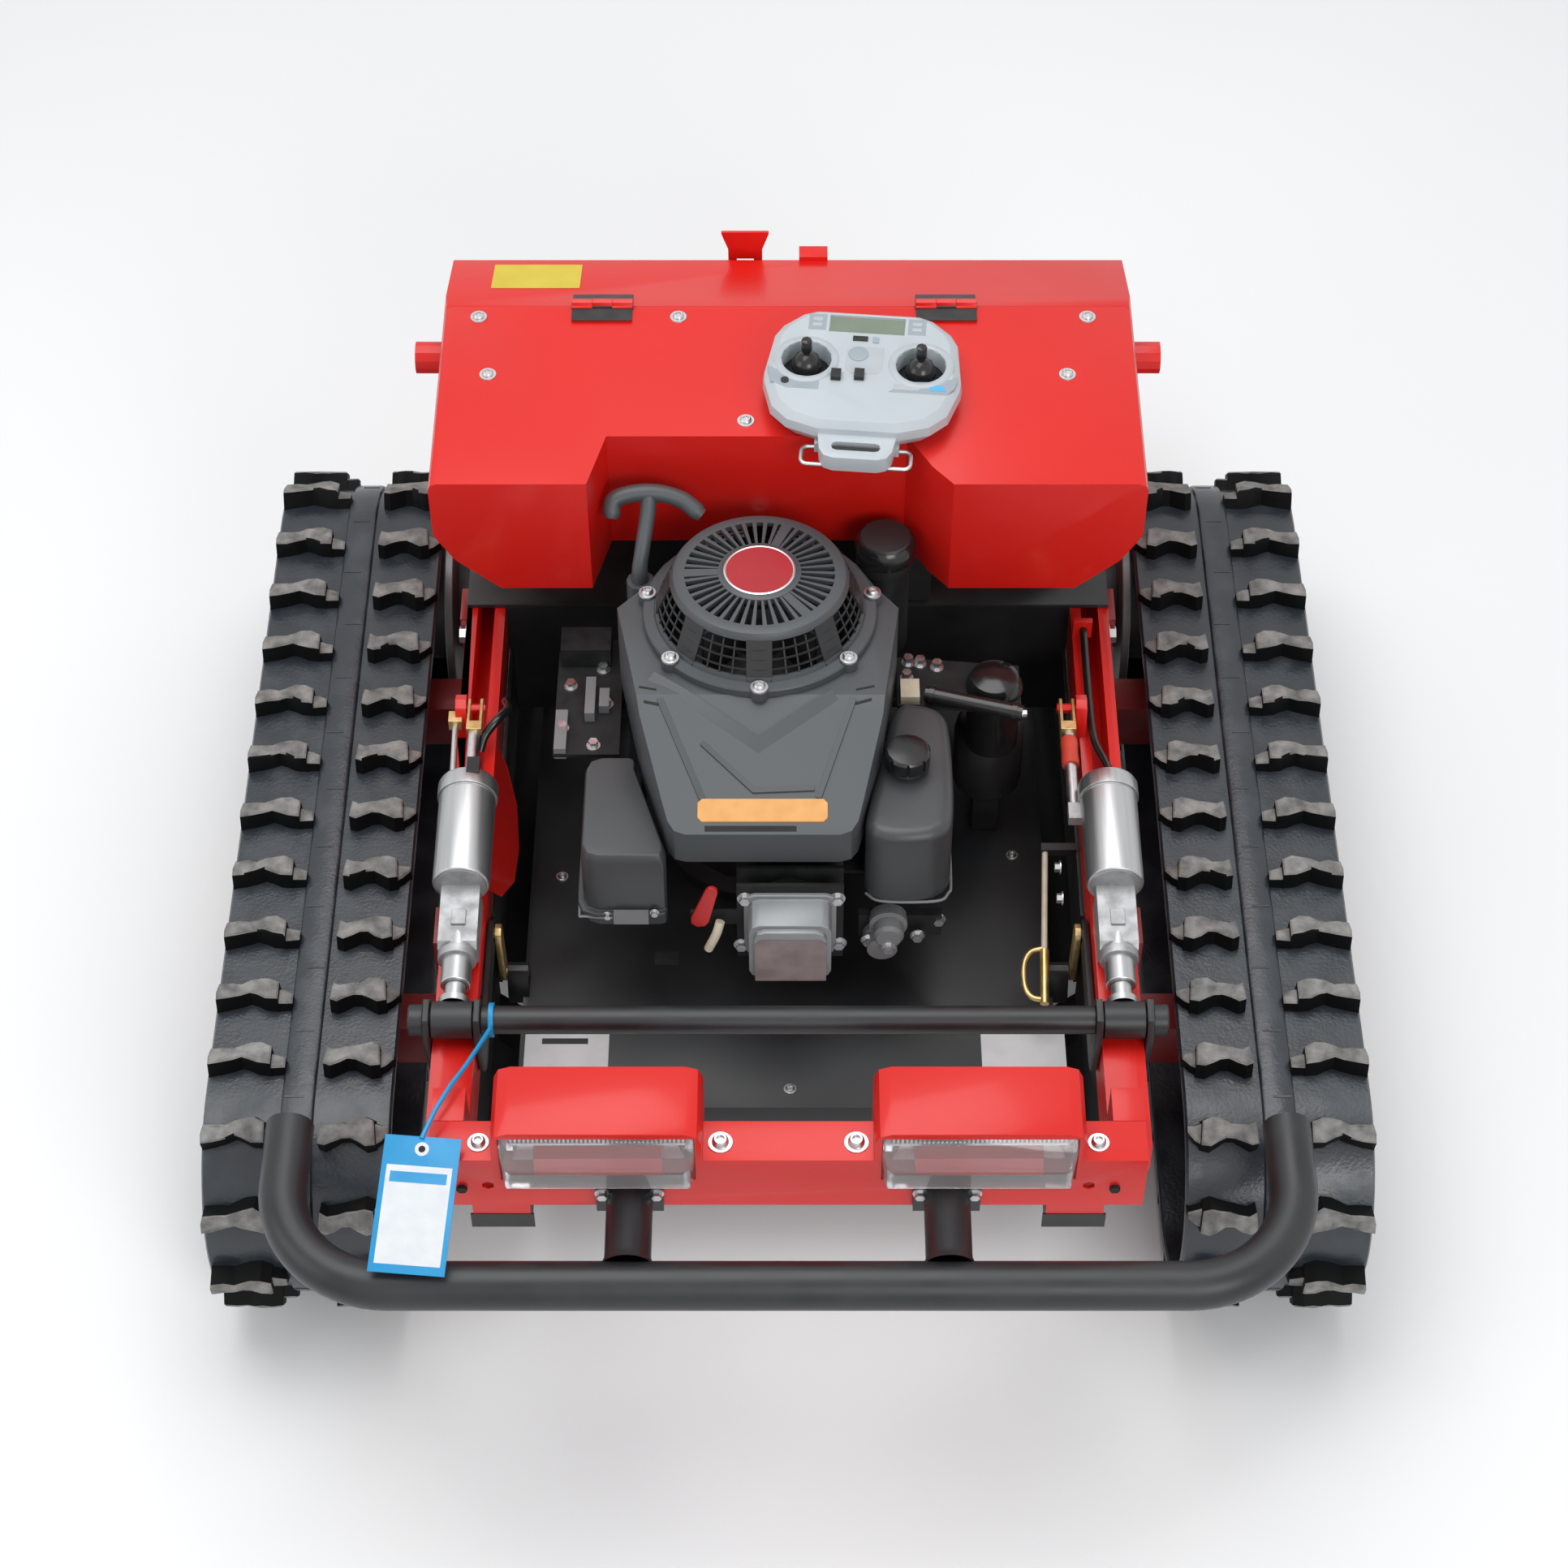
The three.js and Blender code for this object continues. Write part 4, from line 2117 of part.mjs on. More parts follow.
function buildLiftLink() {
  const lower = deckPoint(deck_bracket_y, deck_top + deck_bracket_rise);
  const upper = [pivot_y + lift_arm_reach, pivot_z];
  const end_radius = link_pin_radius * eye_share;
  const inner_x = link_x - link_sheet;
  return joined(
    prism('x', strap(lower, upper, end_radius, end_radius), inner_x, link_x),
    disc(
      'x', link_pin_radius, link_x - overrun, link_x + rocker_side_gap + rocker_sheet,
      upper[0], upper[1], pin_sides,
    ),
    disc(
      'x', link_pin_radius, inner_x - rocker_side_gap - link_seat, inner_x + overrun,
      lower[0], lower[1], pin_sides,
    ),
  );
}

// Actuator: motor, gearbox and outer tube in one, hung on the arm's rear pin by a fork on a stem
function buildActuator(fork_x) {
  const motor_front_y = gearbox_rear_y + motor_cap_length / 2;
  const cap_front_y = motor_rear_y - motor_cap_length;
  const motor = turned(
    'y',
    [
      [0, motor_front_y],
      [motor_radius - motor_bevel, motor_front_y],
      [motor_radius, motor_front_y + motor_bevel],
      [motor_radius, cap_front_y],
      [motor_radius + motor_cap_reach, cap_front_y],
      [motor_radius + motor_cap_reach, motor_rear_y - motor_bevel],
      [motor_radius - motor_bevel, motor_rear_y],
      [0, motor_rear_y],
    ],
    actuator_x, motor_z, round_sides,
  );
  const gearbox = block(
    actuator_x - gearbox_half, actuator_x + gearbox_half,
    gearbox_front_y, gearbox_rear_y + motor_cap_length,
    arm_top_z + rest_gap * 4, motor_z + gearbox_half - motor_bevel,
  );
  const bore_radius = rod_radius + running_gap;
  const tube_body = disc(
    'y', tube_radius, outer_tube_front_y, gearbox_rear_y, actuator_x, actuator_z, small_sides,
  );
  const tube_bore = disc(
    'y', bore_radius, outer_tube_front_y - overrun, gearbox_rear_y, actuator_x, actuator_z, small_sides,
  );
  const fork_half = clevis_half + rest_gap * 2;
  const stem_from = motor_rear_y - motor_cap_length * 2;
  const fork_from = actuator_rear_y - fork_length;
  const stem = disc('y', stem_radius, stem_from, fork_from + overrun, fork_x, clevis_z, pin_sides);
  const tab = block(
    fork_x - stem_radius, actuator_x, stem_from, stem_from + motor_cap_length,
    clevis_z - stem_radius, clevis_z + stem_radius,
  );
  const fork = block(
    fork_x - clevis_half, fork_x + clevis_half - running_gap,
    fork_from, actuator_rear_y + fork_half,
    clevis_z - fork_half, clevis_z + fork_half,
  );
  const pin_bore = disc(
    'x', actuator_pin_radius + running_gap, fork_x - fork_half - overrun, fork_x + fork_half + overrun,
    actuator_rear_y, clevis_z, hole_sides,
  );
  return cut(joined(motor, gearbox, tube_body, stem, tab, fork), tube_bore, pin_bore);
}

function buildActuatorRod() {
  const half = arm_width / 2 - rest_gap;
  const bore = disc(
    'x', bar_end_radius + sleeve_play, actuator_x - half - overrun, actuator_x + half + overrun,
    crossbar_y, crossbar_z, small_sides,
  );
  const neck_end = outer_tube_front_y - rod_travel;
  const rod_end = gearbox_rear_y - gearbox_half * 2;
  return cut(
    joined(
      disc('x', sleeve_radius, actuator_x - half, actuator_x + half, crossbar_y, crossbar_z, small_sides),
      disc('y', tube_radius, crossbar_y, neck_end, actuator_x, actuator_z, small_sides),
      disc('y', rod_radius, crossbar_y, rod_end, actuator_x, actuator_z, small_sides),
    ),
    bore,
  );
}

function buildLift() {
  piece('lift_crossbar', buildCrossbar(), black_paint);
  const rocker = buildRocker();
  const link = buildLiftLink();
  const rod = buildActuatorRod();
  piece('actuator_right', buildActuator(fork_x_right), cast_aluminium);
  piece('actuator_left', mirrored(buildActuator(fork_x_left)), cast_aluminium);
  for (const side of ['right', 'left']) {
    const sided = side === 'right' ? (geometry) => geometry : mirrored;
    piece(`rocker_${side}`, sided(rocker), black_paint);
    piece(`lift_link_${side}`, sided(link), zinc_yellow);
    piece(`actuator_rod_${side}`, sided(rod), bright_steel);
  }
}

// Motor lead: a conduit from the clamp on the right arm, along its slot to the actuator's motor
const conduit_radius = 4;
const conduit_steps = 14;
const conduit_reach = 142;
const conduit_shares = [
  [-0.063, 1, -0.176], [-0.049, 0.577, -0.176], [0.007, 0.338, -0.141],
  [0.035, 0.183, -0.085], [0.014, 0.077, -0.021], [0, 0.021, 0],
];
const conduit_route = conduit_shares.map(([x, y, z]) => [
  arm_centre_x + conduit_reach * x, motor_rear_y + conduit_reach * y, motor_z + conduit_reach * z,
]);

function buildConduit() {
  const start = [conduit_route[0][0], clamp_y - rest_gap, conduit_route[0][2]];
  return tube(smoothPath([start, ...conduit_route], conduit_steps), conduit_radius, pin_sides);
}

// Hang tag: a card on a strap that is looped round the crossbar, clear of the bumper
const strap_inset = 17;
const strap_x = strap_inset - arm_inner_x;
const strap_width = 5;
const strap_sheet = 2.4;
const strap_play = 0.7;
const strap_reach = 159;
const strap_shares = [
  [0, -0.094, 0.047], [-0.107, -0.428, 0.17], [-0.233, -0.742, 0.264], [-0.327, -1, 0.252],
];
const strap_route = strap_shares.map(([x, y, z]) => [
  strap_x + strap_reach * x, crossbar_y + strap_reach * y, crossbar_z + strap_reach * z,
]);
const card_width = 70;
const card_length = 128;
const card_sheet = 1.2;
const card_reach_x = 61;
const card_reach_y = 279;
const card_rise = 4;
const card_x = strap_x - card_reach_x;
const card_front_y = crossbar_y - card_reach_y;
const card_front_z = crossbar_z + card_rise;
const card_slope_degrees = 16;
const card_yaw_degrees = -5;

function buildHangTag() {
  const inner = crossbar_radius + strap_play;
  const loop = ring(
    'x', inner, inner + strap_sheet, strap_x - strap_width / 2, strap_x + strap_width / 2,
    crossbar_y, crossbar_z, small_sides,
  );
  const band = tube(smoothPath(strap_route, 5), strap_sheet, hole_sides);
  const card = block(-card_width / 2, card_width / 2, 0, card_length, -card_sheet / 2, card_sheet / 2)
    .rotateX(THREE.MathUtils.degToRad(card_slope_degrees))
    .rotateZ(THREE.MathUtils.degToRad(card_yaw_degrees))
    .translate(card_x, card_front_y, card_front_z);
  return joined(loop, band, card);
}

// Transmitter: a hand-held control with two sticks and a wire bail, laid on the hood
const stick_x = 57;
const stick_y = 14;
const gimbal_radius = 25;
const case_half_width = 100;
const case_half_length = 92;
const case_foot_radius = 6;
const case_handle_drop = 18;
const case_handle_rise = 3;
const case_screen_half = 38;
const case_screen_front_y = 56;
const case_screen_rear_y = 80;
const case_screen_depth = 2;
const belly_share = 0.86;
const face_share = 0.9;
const shoulder_share = 0.985;
const shoulder_height_share = 0.8;
const case_shares = [
  [-0.84, -0.67], [-0.4, -0.83], [0.4, -0.83], [0.84, -0.67], [1, -0.09],
  [0.92, 0.67], [0.6, 1], [-0.6, 1], [-0.92, 0.67], [-1, -0.09],
];
const case_corner_shares = [0.26, 0.12, 0.12, 0.26, 0.3, 0.26, 0.2, 0.2, 0.26, 0.3];
const handle_shares = [[-0.4, -0.72], [-0.34, -1.17], [0.34, -1.17], [0.4, -0.72]];
const handle_slot_shares = [[-0.24, -1.05], [0.24, -1.05], [0.24, -0.93], [-0.24, -0.93]];
const case_foot_shares = [[-0.52, -0.48], [0.52, -0.48], [-0.52, 0.48], [0.52, 0.48]];
const gimbal_depth = 25;
const stick_reach = 34;
const stick_ball_radius = 16;
const stick_radius = 3.4;
const stick_grip_radius = 5.4;
const stick_grip_length = 14;
const ball_shares = [[0, -1], [0.5, -0.87], [0.87, -0.5], [1, 0], [0.87, 0.5], [0.5, 0.87]];
const bail_wire_radius = 2.2;
const bail_half_width = 54;
const bail_front_y = -98;
const bail_hinge_y = -74;
const bail_pin_length = 12;
const bail_bend = 7;
const bail_ear = 5;

function onCase(shares) {
  return shares.map(([u, v]) => [u * case_half_width, v * case_half_length]);
}

function buildCase() {
  const radii = case_corner_shares.map((share) => share * case_half_width);
  const plan = rounded(onCase(case_shares), radii, 1);
  const inset = (share) => plan.map(([x, y]) => [x * share, y * share]);
  const foot = transmitter_foot + rest_gap;
  const waist_z = foot + transmitter_height / 2;
  const shoulder_z = foot + transmitter_height * shoulder_height_share;
  const top = foot + transmitter_height;
  const handle_z = foot + case_handle_rise;
  const handle = prism(
    'z', rounded(onCase(handle_shares), [0, stick_y, stick_y, 0]), handle_z, handle_z + case_handle_drop,
  );
  const handle_slot = prism(
    'z', rounded(onCase(handle_slot_shares), bail_ear), foot, handle_z + case_handle_drop + overrun,
  );
  const wells = [-1, 1].map((side) => disc(
    'z', gimbal_radius, top - gimbal_depth, top + overrun, side * stick_x, stick_y, round_sides,
  ));
  const feet = onCase(case_foot_shares).map(([x, y]) => disc(
    'z', case_foot_radius, rest_gap, foot + overrun, x, y, hole_sides,
  ));
  const ears = [-1, 1].map((side) => {
    const near = bail_half_width - bail_pin_length - rest_gap - bail_ear;
    const from = side > 0 ? near : -near - bail_ear;
    return block(
      from, from + bail_ear, bail_hinge_y - bail_ear, bail_hinge_y + bail_ear * 3,
      rest_gap, foot + bail_ear * 2,
    );
  });
  const screen = block(
    -case_screen_half, case_screen_half,
    case_screen_front_y, case_screen_rear_y,
    top - case_screen_depth, top + overrun,
  );
  return cut(
    joined(
      loft(inset(belly_share), plan, foot, waist_z),
      loft(plan, inset(shoulder_share), waist_z, shoulder_z),
      loft(inset(shoulder_share), inset(face_share), shoulder_z, top),
      handle,
      ...feet,
      ...ears,
    ),
    handle_slot,
    ...wells,
    screen,
  );
}

function buildStick() {
  const profile = ball_shares.map(([r, z]) => [r * stick_ball_radius, z * stick_ball_radius]);
  profile.push(
    [stick_radius, stick_ball_radius],
    [stick_radius, stick_reach - stick_grip_length],
    [stick_grip_radius, stick_reach - stick_grip_length],
    [stick_grip_radius, stick_reach],
    [0, stick_reach],
  );
  return turned('z', profile, 0, 0, pin_sides);
}

function buildBail() {
  const z = bail_wire_radius + running_gap;
  const pin_x = bail_half_width - bail_pin_length;
  const path = bentPath(
    [
      [-pin_x, bail_hinge_y, z],
      [-bail_half_width, bail_hinge_y, z],
      [-bail_half_width, bail_front_y, z],
      [bail_half_width, bail_front_y, z],
      [bail_half_width, bail_hinge_y, z],
      [pin_x, bail_hinge_y, z],
    ],
    bail_bend,
    3,
  );
  return tube(path, bail_wire_radius, hole_sides);
}

function buildTransmitter() {
  const transmitter = new THREE.Group();
  transmitter.position.set(transmitter_x, transmitter_y, hood_top_z);
  transmitter.rotation.z = THREE.MathUtils.degToRad(transmitter_turn_degrees);
  mower.add(transmitter);
  piece('transmitter', buildCase(), pale_grey_plastic, transmitter);
  const well_floor = transmitter_foot + rest_gap + transmitter_height - gimbal_depth;
  for (const side of ['right', 'left']) {
    const x = side === 'right' ? stick_x : -stick_x;
    const stick = piece(`stick_${side}`, buildStick(), black_plastic, transmitter);
    stick.position.set(x, stick_y, well_floor + stick_ball_radius + running_gap);
  }
  piece('transmitter_bail', buildBail(), bright_steel, transmitter);
}

buildRunningGear();
buildFrame();
buildHoodGroup();
buildDeckGroup();
buildLift();
piece('cable_conduit_right', buildConduit(), black_plastic);
piece('hang_tag', buildHangTag(), tag_blue);
buildTransmitter();

export default mower;
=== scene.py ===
import json
import math

import bmesh
import bpy
from mathutils import Matrix, Vector

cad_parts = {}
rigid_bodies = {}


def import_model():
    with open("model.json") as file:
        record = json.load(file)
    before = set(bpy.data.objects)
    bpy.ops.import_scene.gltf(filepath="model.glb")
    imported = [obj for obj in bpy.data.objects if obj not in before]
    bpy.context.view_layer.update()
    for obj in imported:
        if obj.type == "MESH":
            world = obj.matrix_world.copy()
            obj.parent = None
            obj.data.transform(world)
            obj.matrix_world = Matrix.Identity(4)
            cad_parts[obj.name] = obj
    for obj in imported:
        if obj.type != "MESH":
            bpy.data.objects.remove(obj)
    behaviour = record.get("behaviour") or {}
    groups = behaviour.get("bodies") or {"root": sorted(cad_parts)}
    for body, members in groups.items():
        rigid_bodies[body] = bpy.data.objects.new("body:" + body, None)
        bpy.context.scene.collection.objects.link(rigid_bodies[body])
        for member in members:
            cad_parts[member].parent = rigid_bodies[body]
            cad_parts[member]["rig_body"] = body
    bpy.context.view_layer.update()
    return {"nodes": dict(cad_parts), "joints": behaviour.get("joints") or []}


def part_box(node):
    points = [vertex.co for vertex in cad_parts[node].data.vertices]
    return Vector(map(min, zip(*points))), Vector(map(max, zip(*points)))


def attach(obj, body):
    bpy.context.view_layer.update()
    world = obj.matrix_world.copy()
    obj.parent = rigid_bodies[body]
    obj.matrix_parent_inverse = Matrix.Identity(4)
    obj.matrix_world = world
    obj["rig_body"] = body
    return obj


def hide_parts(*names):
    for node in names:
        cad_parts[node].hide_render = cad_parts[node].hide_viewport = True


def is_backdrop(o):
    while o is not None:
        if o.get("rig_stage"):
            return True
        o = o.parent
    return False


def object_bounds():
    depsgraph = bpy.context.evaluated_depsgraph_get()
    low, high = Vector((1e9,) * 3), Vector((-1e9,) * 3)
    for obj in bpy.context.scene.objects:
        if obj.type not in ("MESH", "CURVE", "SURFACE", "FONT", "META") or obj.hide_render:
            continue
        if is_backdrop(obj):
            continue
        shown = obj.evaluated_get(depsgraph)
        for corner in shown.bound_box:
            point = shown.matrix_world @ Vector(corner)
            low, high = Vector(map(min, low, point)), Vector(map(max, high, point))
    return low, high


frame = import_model()

# Studio: a pale seamless floor, a broad softbox overhead and weaker ones in front and at the left.
# The camera looks down on the machine from the front, as in the photograph.
camera = bpy.data.objects.new("camera", bpy.data.cameras.new("camera"))
bpy.context.collection.objects.link(camera)
camera.location = (-0.004, -2.078, 2.917)
camera.rotation_euler = (math.radians(39), 0, 0)
camera.data.lens = 75.65
camera.data.sensor_width = 36
bpy.context.scene.camera = camera
bpy.context.scene.view_settings.view_transform = "Standard"

lamp_aim = Vector((0, 0, 0.3))


def softbox(name, place, size, power):
    lamp = bpy.data.objects.new(name, bpy.data.lights.new(name, "AREA"))
    bpy.context.collection.objects.link(lamp)
    lamp.data.shape = "RECTANGLE"
    lamp.data.size, lamp.data.size_y = size
    lamp.data.energy = power
    lamp.location = place
    lamp.rotation_euler = (lamp_aim - Vector(place)).to_track_quat("-Z", "Y").to_euler()


softbox("softbox_over", (-0.35, 0.5, 3.6), (3.2, 2.4), 74)
softbox("softbox_front", (1.4, -3.4, 2.6), (2.0, 1.6), 50)
softbox("softbox_left", (-3.0, -1.0, 1.8), (1.6, 1.6), 12)


class Signal:
    """A socket that takes part in sums: an expression on it adds its Math nodes."""

    def __init__(self, finish, socket):
        self.finish = finish
        self.socket = socket

    def combined(self, operation, first, second):
        return self.finish.node("Math", {"operation": operation}, {0: first, 1: second})

    def __add__(self, other):
        return self.combined("ADD", self, other)

    def __mul__(self, other):
        return self.combined("MULTIPLY", self, other)


class Finish:
    """A surface finish: fixed values on the shader's own sockets, and nodes that feed the rest."""

    def __init__(self, name, base, roughness, metallic=0.0, **fixed):
        self.material = bpy.data.materials.new(name)
        self.material.use_nodes = True
        self.tree = self.material.node_tree
        self.shader = self.tree.nodes["Principled BSDF"]
        self.base = base
        self.roughness = roughness
        self.feed("Base Color", (*base, 1))
        self.feed("Roughness", roughness)
        self.feed("Metallic", metallic)
        for socket, value in fixed.items():
            self.feed(socket.replace("_", " "), value)

    def node(self, kind, settings, sockets, outlet=0):
        made = self.tree.nodes.new("ShaderNode" + kind)
        for name, value in settings.items():
            setattr(made, name, value)
        for name, value in sockets.items():
            self.join(made.inputs[name], value)
        return Signal(self, made.outputs[outlet])

    def join(self, socket, value):
        if isinstance(value, Signal):
            self.tree.links.new(value.socket, socket)
        else:
            socket.default_value = value

    def feed(self, name, value):
        self.join(self.shader.inputs[name], value)

    def place(self):
        return self.node("TexCoord", {}, {}, "Object")

    def speckle(self, scale, detail=3.0, stretch=(1, 1, 1)):
        where = self.node("Mapping", {}, {"Vector": self.place(), "Scale": stretch})
        return self.node("TexNoise", {}, {"Vector": where, "Scale": scale, "Detail": detail})

    def spread(self, signal, low, high, start=0.0, end=1.0):
        sockets = {"Value": signal, "From Min": low, "From Max": high, "To Min": start, "To Max": end}
        return self.node("MapRange", {}, sockets)

    def tint(self, factor, first, second):
        sockets = {"Factor": factor, 6: (*first, 1), 7: (*second, 1)}
        return self.node("Mix", {"data_type": "RGBA"}, sockets, 2)

    def relief(self, height, distance, strength):
        sockets = {"Height": height, "Distance": distance, "Strength": strength}
        self.feed("Normal", self.node("Bump", {}, sockets))

    def weathered(self, other, scale, amount=0.5, drift=0.08):
        """Colour drifts towards another one in patches, and the roughness with it."""
        patches = self.spread(self.speckle(scale), 0.35, 0.7)
        self.feed("Base Color", self.tint(patches * amount, self.base, other))
        self.feed("Roughness", patches * drift + self.roughness)


floor_finish = Finish("studio_floor", (0.975, 0.98, 0.985), 0.9)
floor_mottle = floor_finish.spread(floor_finish.speckle(1.5), 0.3, 0.7)
floor_finish.feed("Base Color", floor_finish.tint(floor_mottle, (0.965, 0.972, 0.98), (0.985, 0.988, 0.99)))
floor_mesh = bpy.data.meshes.new("studio_floor")
floor_form = bmesh.new()
bmesh.ops.create_grid(floor_form, x_segments=4, y_segments=4, size=12)
floor_form.to_mesh(floor_mesh)
floor_form.free()
floor = bpy.data.objects.new("studio_floor", floor_mesh)
floor.data.materials.append(floor_finish.material)
bpy.context.collection.objects.link(floor)
floor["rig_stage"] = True

sky = bpy.data.worlds.new("studio_sky")
sky.use_nodes = True
bpy.context.scene.world = sky
sky_tree = sky.node_tree
sky_light = sky_tree.nodes["Background"]
sky_light.inputs["Color"].default_value = (0.96, 0.98, 1, 1)
sky_light.inputs["Strength"].default_value = 0.46
sky_seen = sky_tree.nodes.new("ShaderNodeBackground")
sky_seen.inputs["Color"].default_value = (1, 1, 1, 1)
sky_seen.inputs["Strength"].default_value = 0.97
sky_ray = sky_tree.nodes.new("ShaderNodeLightPath")
seen = sky_ray.outputs["Is Camera Ray"]
for ray in ("Is Glossy Ray", "Is Transmission Ray"):
    either = sky_tree.nodes.new("ShaderNodeMath")
    either.operation = "MAXIMUM"
    sky_tree.links.new(seen, either.inputs[0])
    sky_tree.links.new(sky_ray.outputs[ray], either.inputs[1])
    seen = either.outputs[0]
sky_blend = sky_tree.nodes.new("ShaderNodeMixShader")
sky_tree.links.new(seen, sky_blend.inputs[0])
sky_tree.links.new(sky_light.outputs[0], sky_blend.inputs[1])
sky_tree.links.new(sky_seen.outputs[0], sky_blend.inputs[2])
sky_tree.links.new(sky_blend.outputs[0], sky_tree.nodes["World Output"].inputs["Surface"])

# Tracks: moulded rubber belts with two rows of wavy lugs, a raised band between them and guide
# horns inside, stretched over the wheels. The lug tops carry grey dust, the belt a dark sheen, and
# the lug sides are painted near-black as shade, darker than the belt's own rubber.
sides = {"right": 1, "left": -1}


def pivot(joint):
    """Where a joint turns, in millimetres."""
    row = next(row for row in frame["joints"] if row["name"] == joint)
    return tuple(along * 1000 for along in row["pos_m"])


track_x, idler_y, wheel_z = pivot("idler_right_spin")
sprocket_y = pivot("sprocket_right_spin")[1]
wheel_base = sprocket_y - idler_y
belt_half, belt_inside, belt_outside = 90, 110, 124
band_half, band_top = 16, 129
lug_row = 52
lug_height, outer_shoulder_height, inner_shoulder_height = 21.3, 13, 12
lug_root = 3
lug_count = 30
lug_pitch = 2 * (wheel_base + math.pi * belt_outside) / lug_count
tread_low = 0.2
horn_box = (-11, -13, -17), (11, 13, 3)
seam_box = (-9, -1.1, -1), (9, 1.1, 0.5)


def settled(form, name, body, finishes, stands_for=None, edge=0.0, place=None, segments=2, sharp=32):
    """A form in millimetres becomes a finished piece in metres that rides on its body."""
    if place:
        bmesh.ops.transform(form, matrix=place, verts=form.verts)
    bmesh.ops.scale(form, vec=(0.001,) * 3, verts=form.verts)
    mesh = bpy.data.meshes.new(name)
    form.to_mesh(mesh)
    form.free()
    for polygon in mesh.polygons:
        polygon.use_smooth = True
    if edge == 0:
        mesh.set_sharp_from_angle(angle=math.radians(sharp))
    for finish in finishes if isinstance(finishes, list) else [finishes]:
        mesh.materials.append(finish.material)
    piece = bpy.data.objects.new(name, mesh)
    bpy.context.collection.objects.link(piece)
    if edge > 0:
        rounding = piece.modifiers.new("edges", "BEVEL")
        rounding.width = edge / 1000
        rounding.segments = segments
        rounding.limit_method = "ANGLE"
        rounding.angle_limit = math.radians(sharp)
        rounding.harden_normals = True
        rounding.use_clamp_overlap = True
    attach(piece, body)
    if stands_for:
        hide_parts(stands_for)
    return piece


def sheet_cut(form, outline, near, far, axis="z", finish=0):
    """An outline in two coordinates, pushed along the third one."""
    spots = {
        "x": lambda u, v, w: (w, u, v),
        "y": lambda u, v, w: (u, w, v),
        "z": lambda u, v, w: (u, v, w),
    }[axis]
    corners = [form.verts.new(spots(u, v, near)) for u, v in outline]
    face = form.faces.new(corners)
    grown = bmesh.ops.extrude_face_region(form, geom=[face])["geom"]
    lifted = [v for v in grown if isinstance(v, bmesh.types.BMVert)]
    push = Vector(spots(0, 0, far)) - Vector(spots(0, 0, near))
    bmesh.ops.translate(form, vec=push, verts=lifted)
    faces = {f for v in corners + lifted for f in v.link_faces}
    for each in faces:
        each.material_index = finish
    bmesh.ops.recalc_face_normals(form, faces=list(faces))
    return corners + lifted


def block(form, low, high, finish=0):
    """A squared block between two corners."""
    low, high = Vector(low), Vector(high)
    size = Matrix.Diagonal((*(high - low), 1))
    corners = bmesh.ops.create_cube(form, size=1, matrix=Matrix.Translation((low + high) / 2) @ size)["verts"]
    for face in {f for v in corners for f in v.link_faces}:
        face.material_index = finish
    return corners


def joined_on(form, part, place, finish=None):
    """A small part, made apart, is placed and added to a larger form."""
    if finish is not None:
        for face in part.faces:
            face.material_index = finish
    bmesh.ops.transform(part, matrix=place, verts=part.verts)
    carried = bpy.data.meshes.new("part")
    part.to_mesh(carried)
    part.free()
    form.from_mesh(carried)
    bpy.data.meshes.remove(carried)


def left_handed(form):
    """A form made for the right side becomes the left side's."""
    bmesh.ops.scale(form, vec=(-1, 1, 1), verts=form.verts)
    bmesh.ops.reverse_faces(form, faces=form.faces)


rubber = Finish("track_rubber", (0.02, 0.026, 0.034), 0.34, Specular_IOR_Level=0.6)
rubber_dust = rubber.spread(rubber.speckle(26, 5), 0.45, 0.75)
rubber.feed("Base Color", rubber.tint(rubber_dust * 0.4, rubber.base, (0.06, 0.072, 0.085)))
rubber.feed("Roughness", rubber_dust * 0.25 + 0.28)
rubber.relief(rubber.speckle(300) + rubber.speckle(40) * 2, 0.0006, 0.5)

lug_dust = Finish("lug_top_dust", (0.13, 0.13, 0.125), 0.85)
dust_cloud = lug_dust.spread(lug_dust.speckle(70, 6), 0.3, 0.72)
lug_dust.feed("Base Color", lug_dust.tint(dust_cloud, (0.11, 0.11, 0.105), (0.32, 0.31, 0.295)))
lug_dust.relief(lug_dust.speckle(160, 4), 0.0012, 0.7)

# Painted shade: the lug sides get a rubber far darker than the belt's, as shade on their upright faces.
lug_wall_shade = Finish("lug_wall_shaded_rubber", (0.0025, 0.0028, 0.0032), 0.6, Specular_IOR_Level=0.15)
lug_wall_shade.relief(lug_wall_shade.speckle(120), 0.0006, 0.5)

outer_lug = [
    (-24, -10), (-12, -9), (-3, -5), (4, -3), (12, -6), (24, -9), (36, -11),
    (36.5, -2), (34.5, 7), (22, 8), (12, 7.5), (4, 11), (-4, 14), (-14, 15), (-24, 10),
]
outer_shoulder = [(-37.5, -9), (-22, -10), (-22, 7), (-30, 5), (-37.5, 2)]
inner_lug = [
    (-26, -11), (-17, -13), (-9, -9), (-2, -5), (6, -5), (14, -9), (22, -12.5), (29, -10),
    (28, 2), (27, 10), (20, 7), (10, 9), (2, 10.5), (-8, 13), (-16, 15), (-24, 12),
]
inner_shoulder = [(-37.5, 1), (-31, -6), (-24, -10), (-22, 11), (-31, 8), (-37.5, 7)]


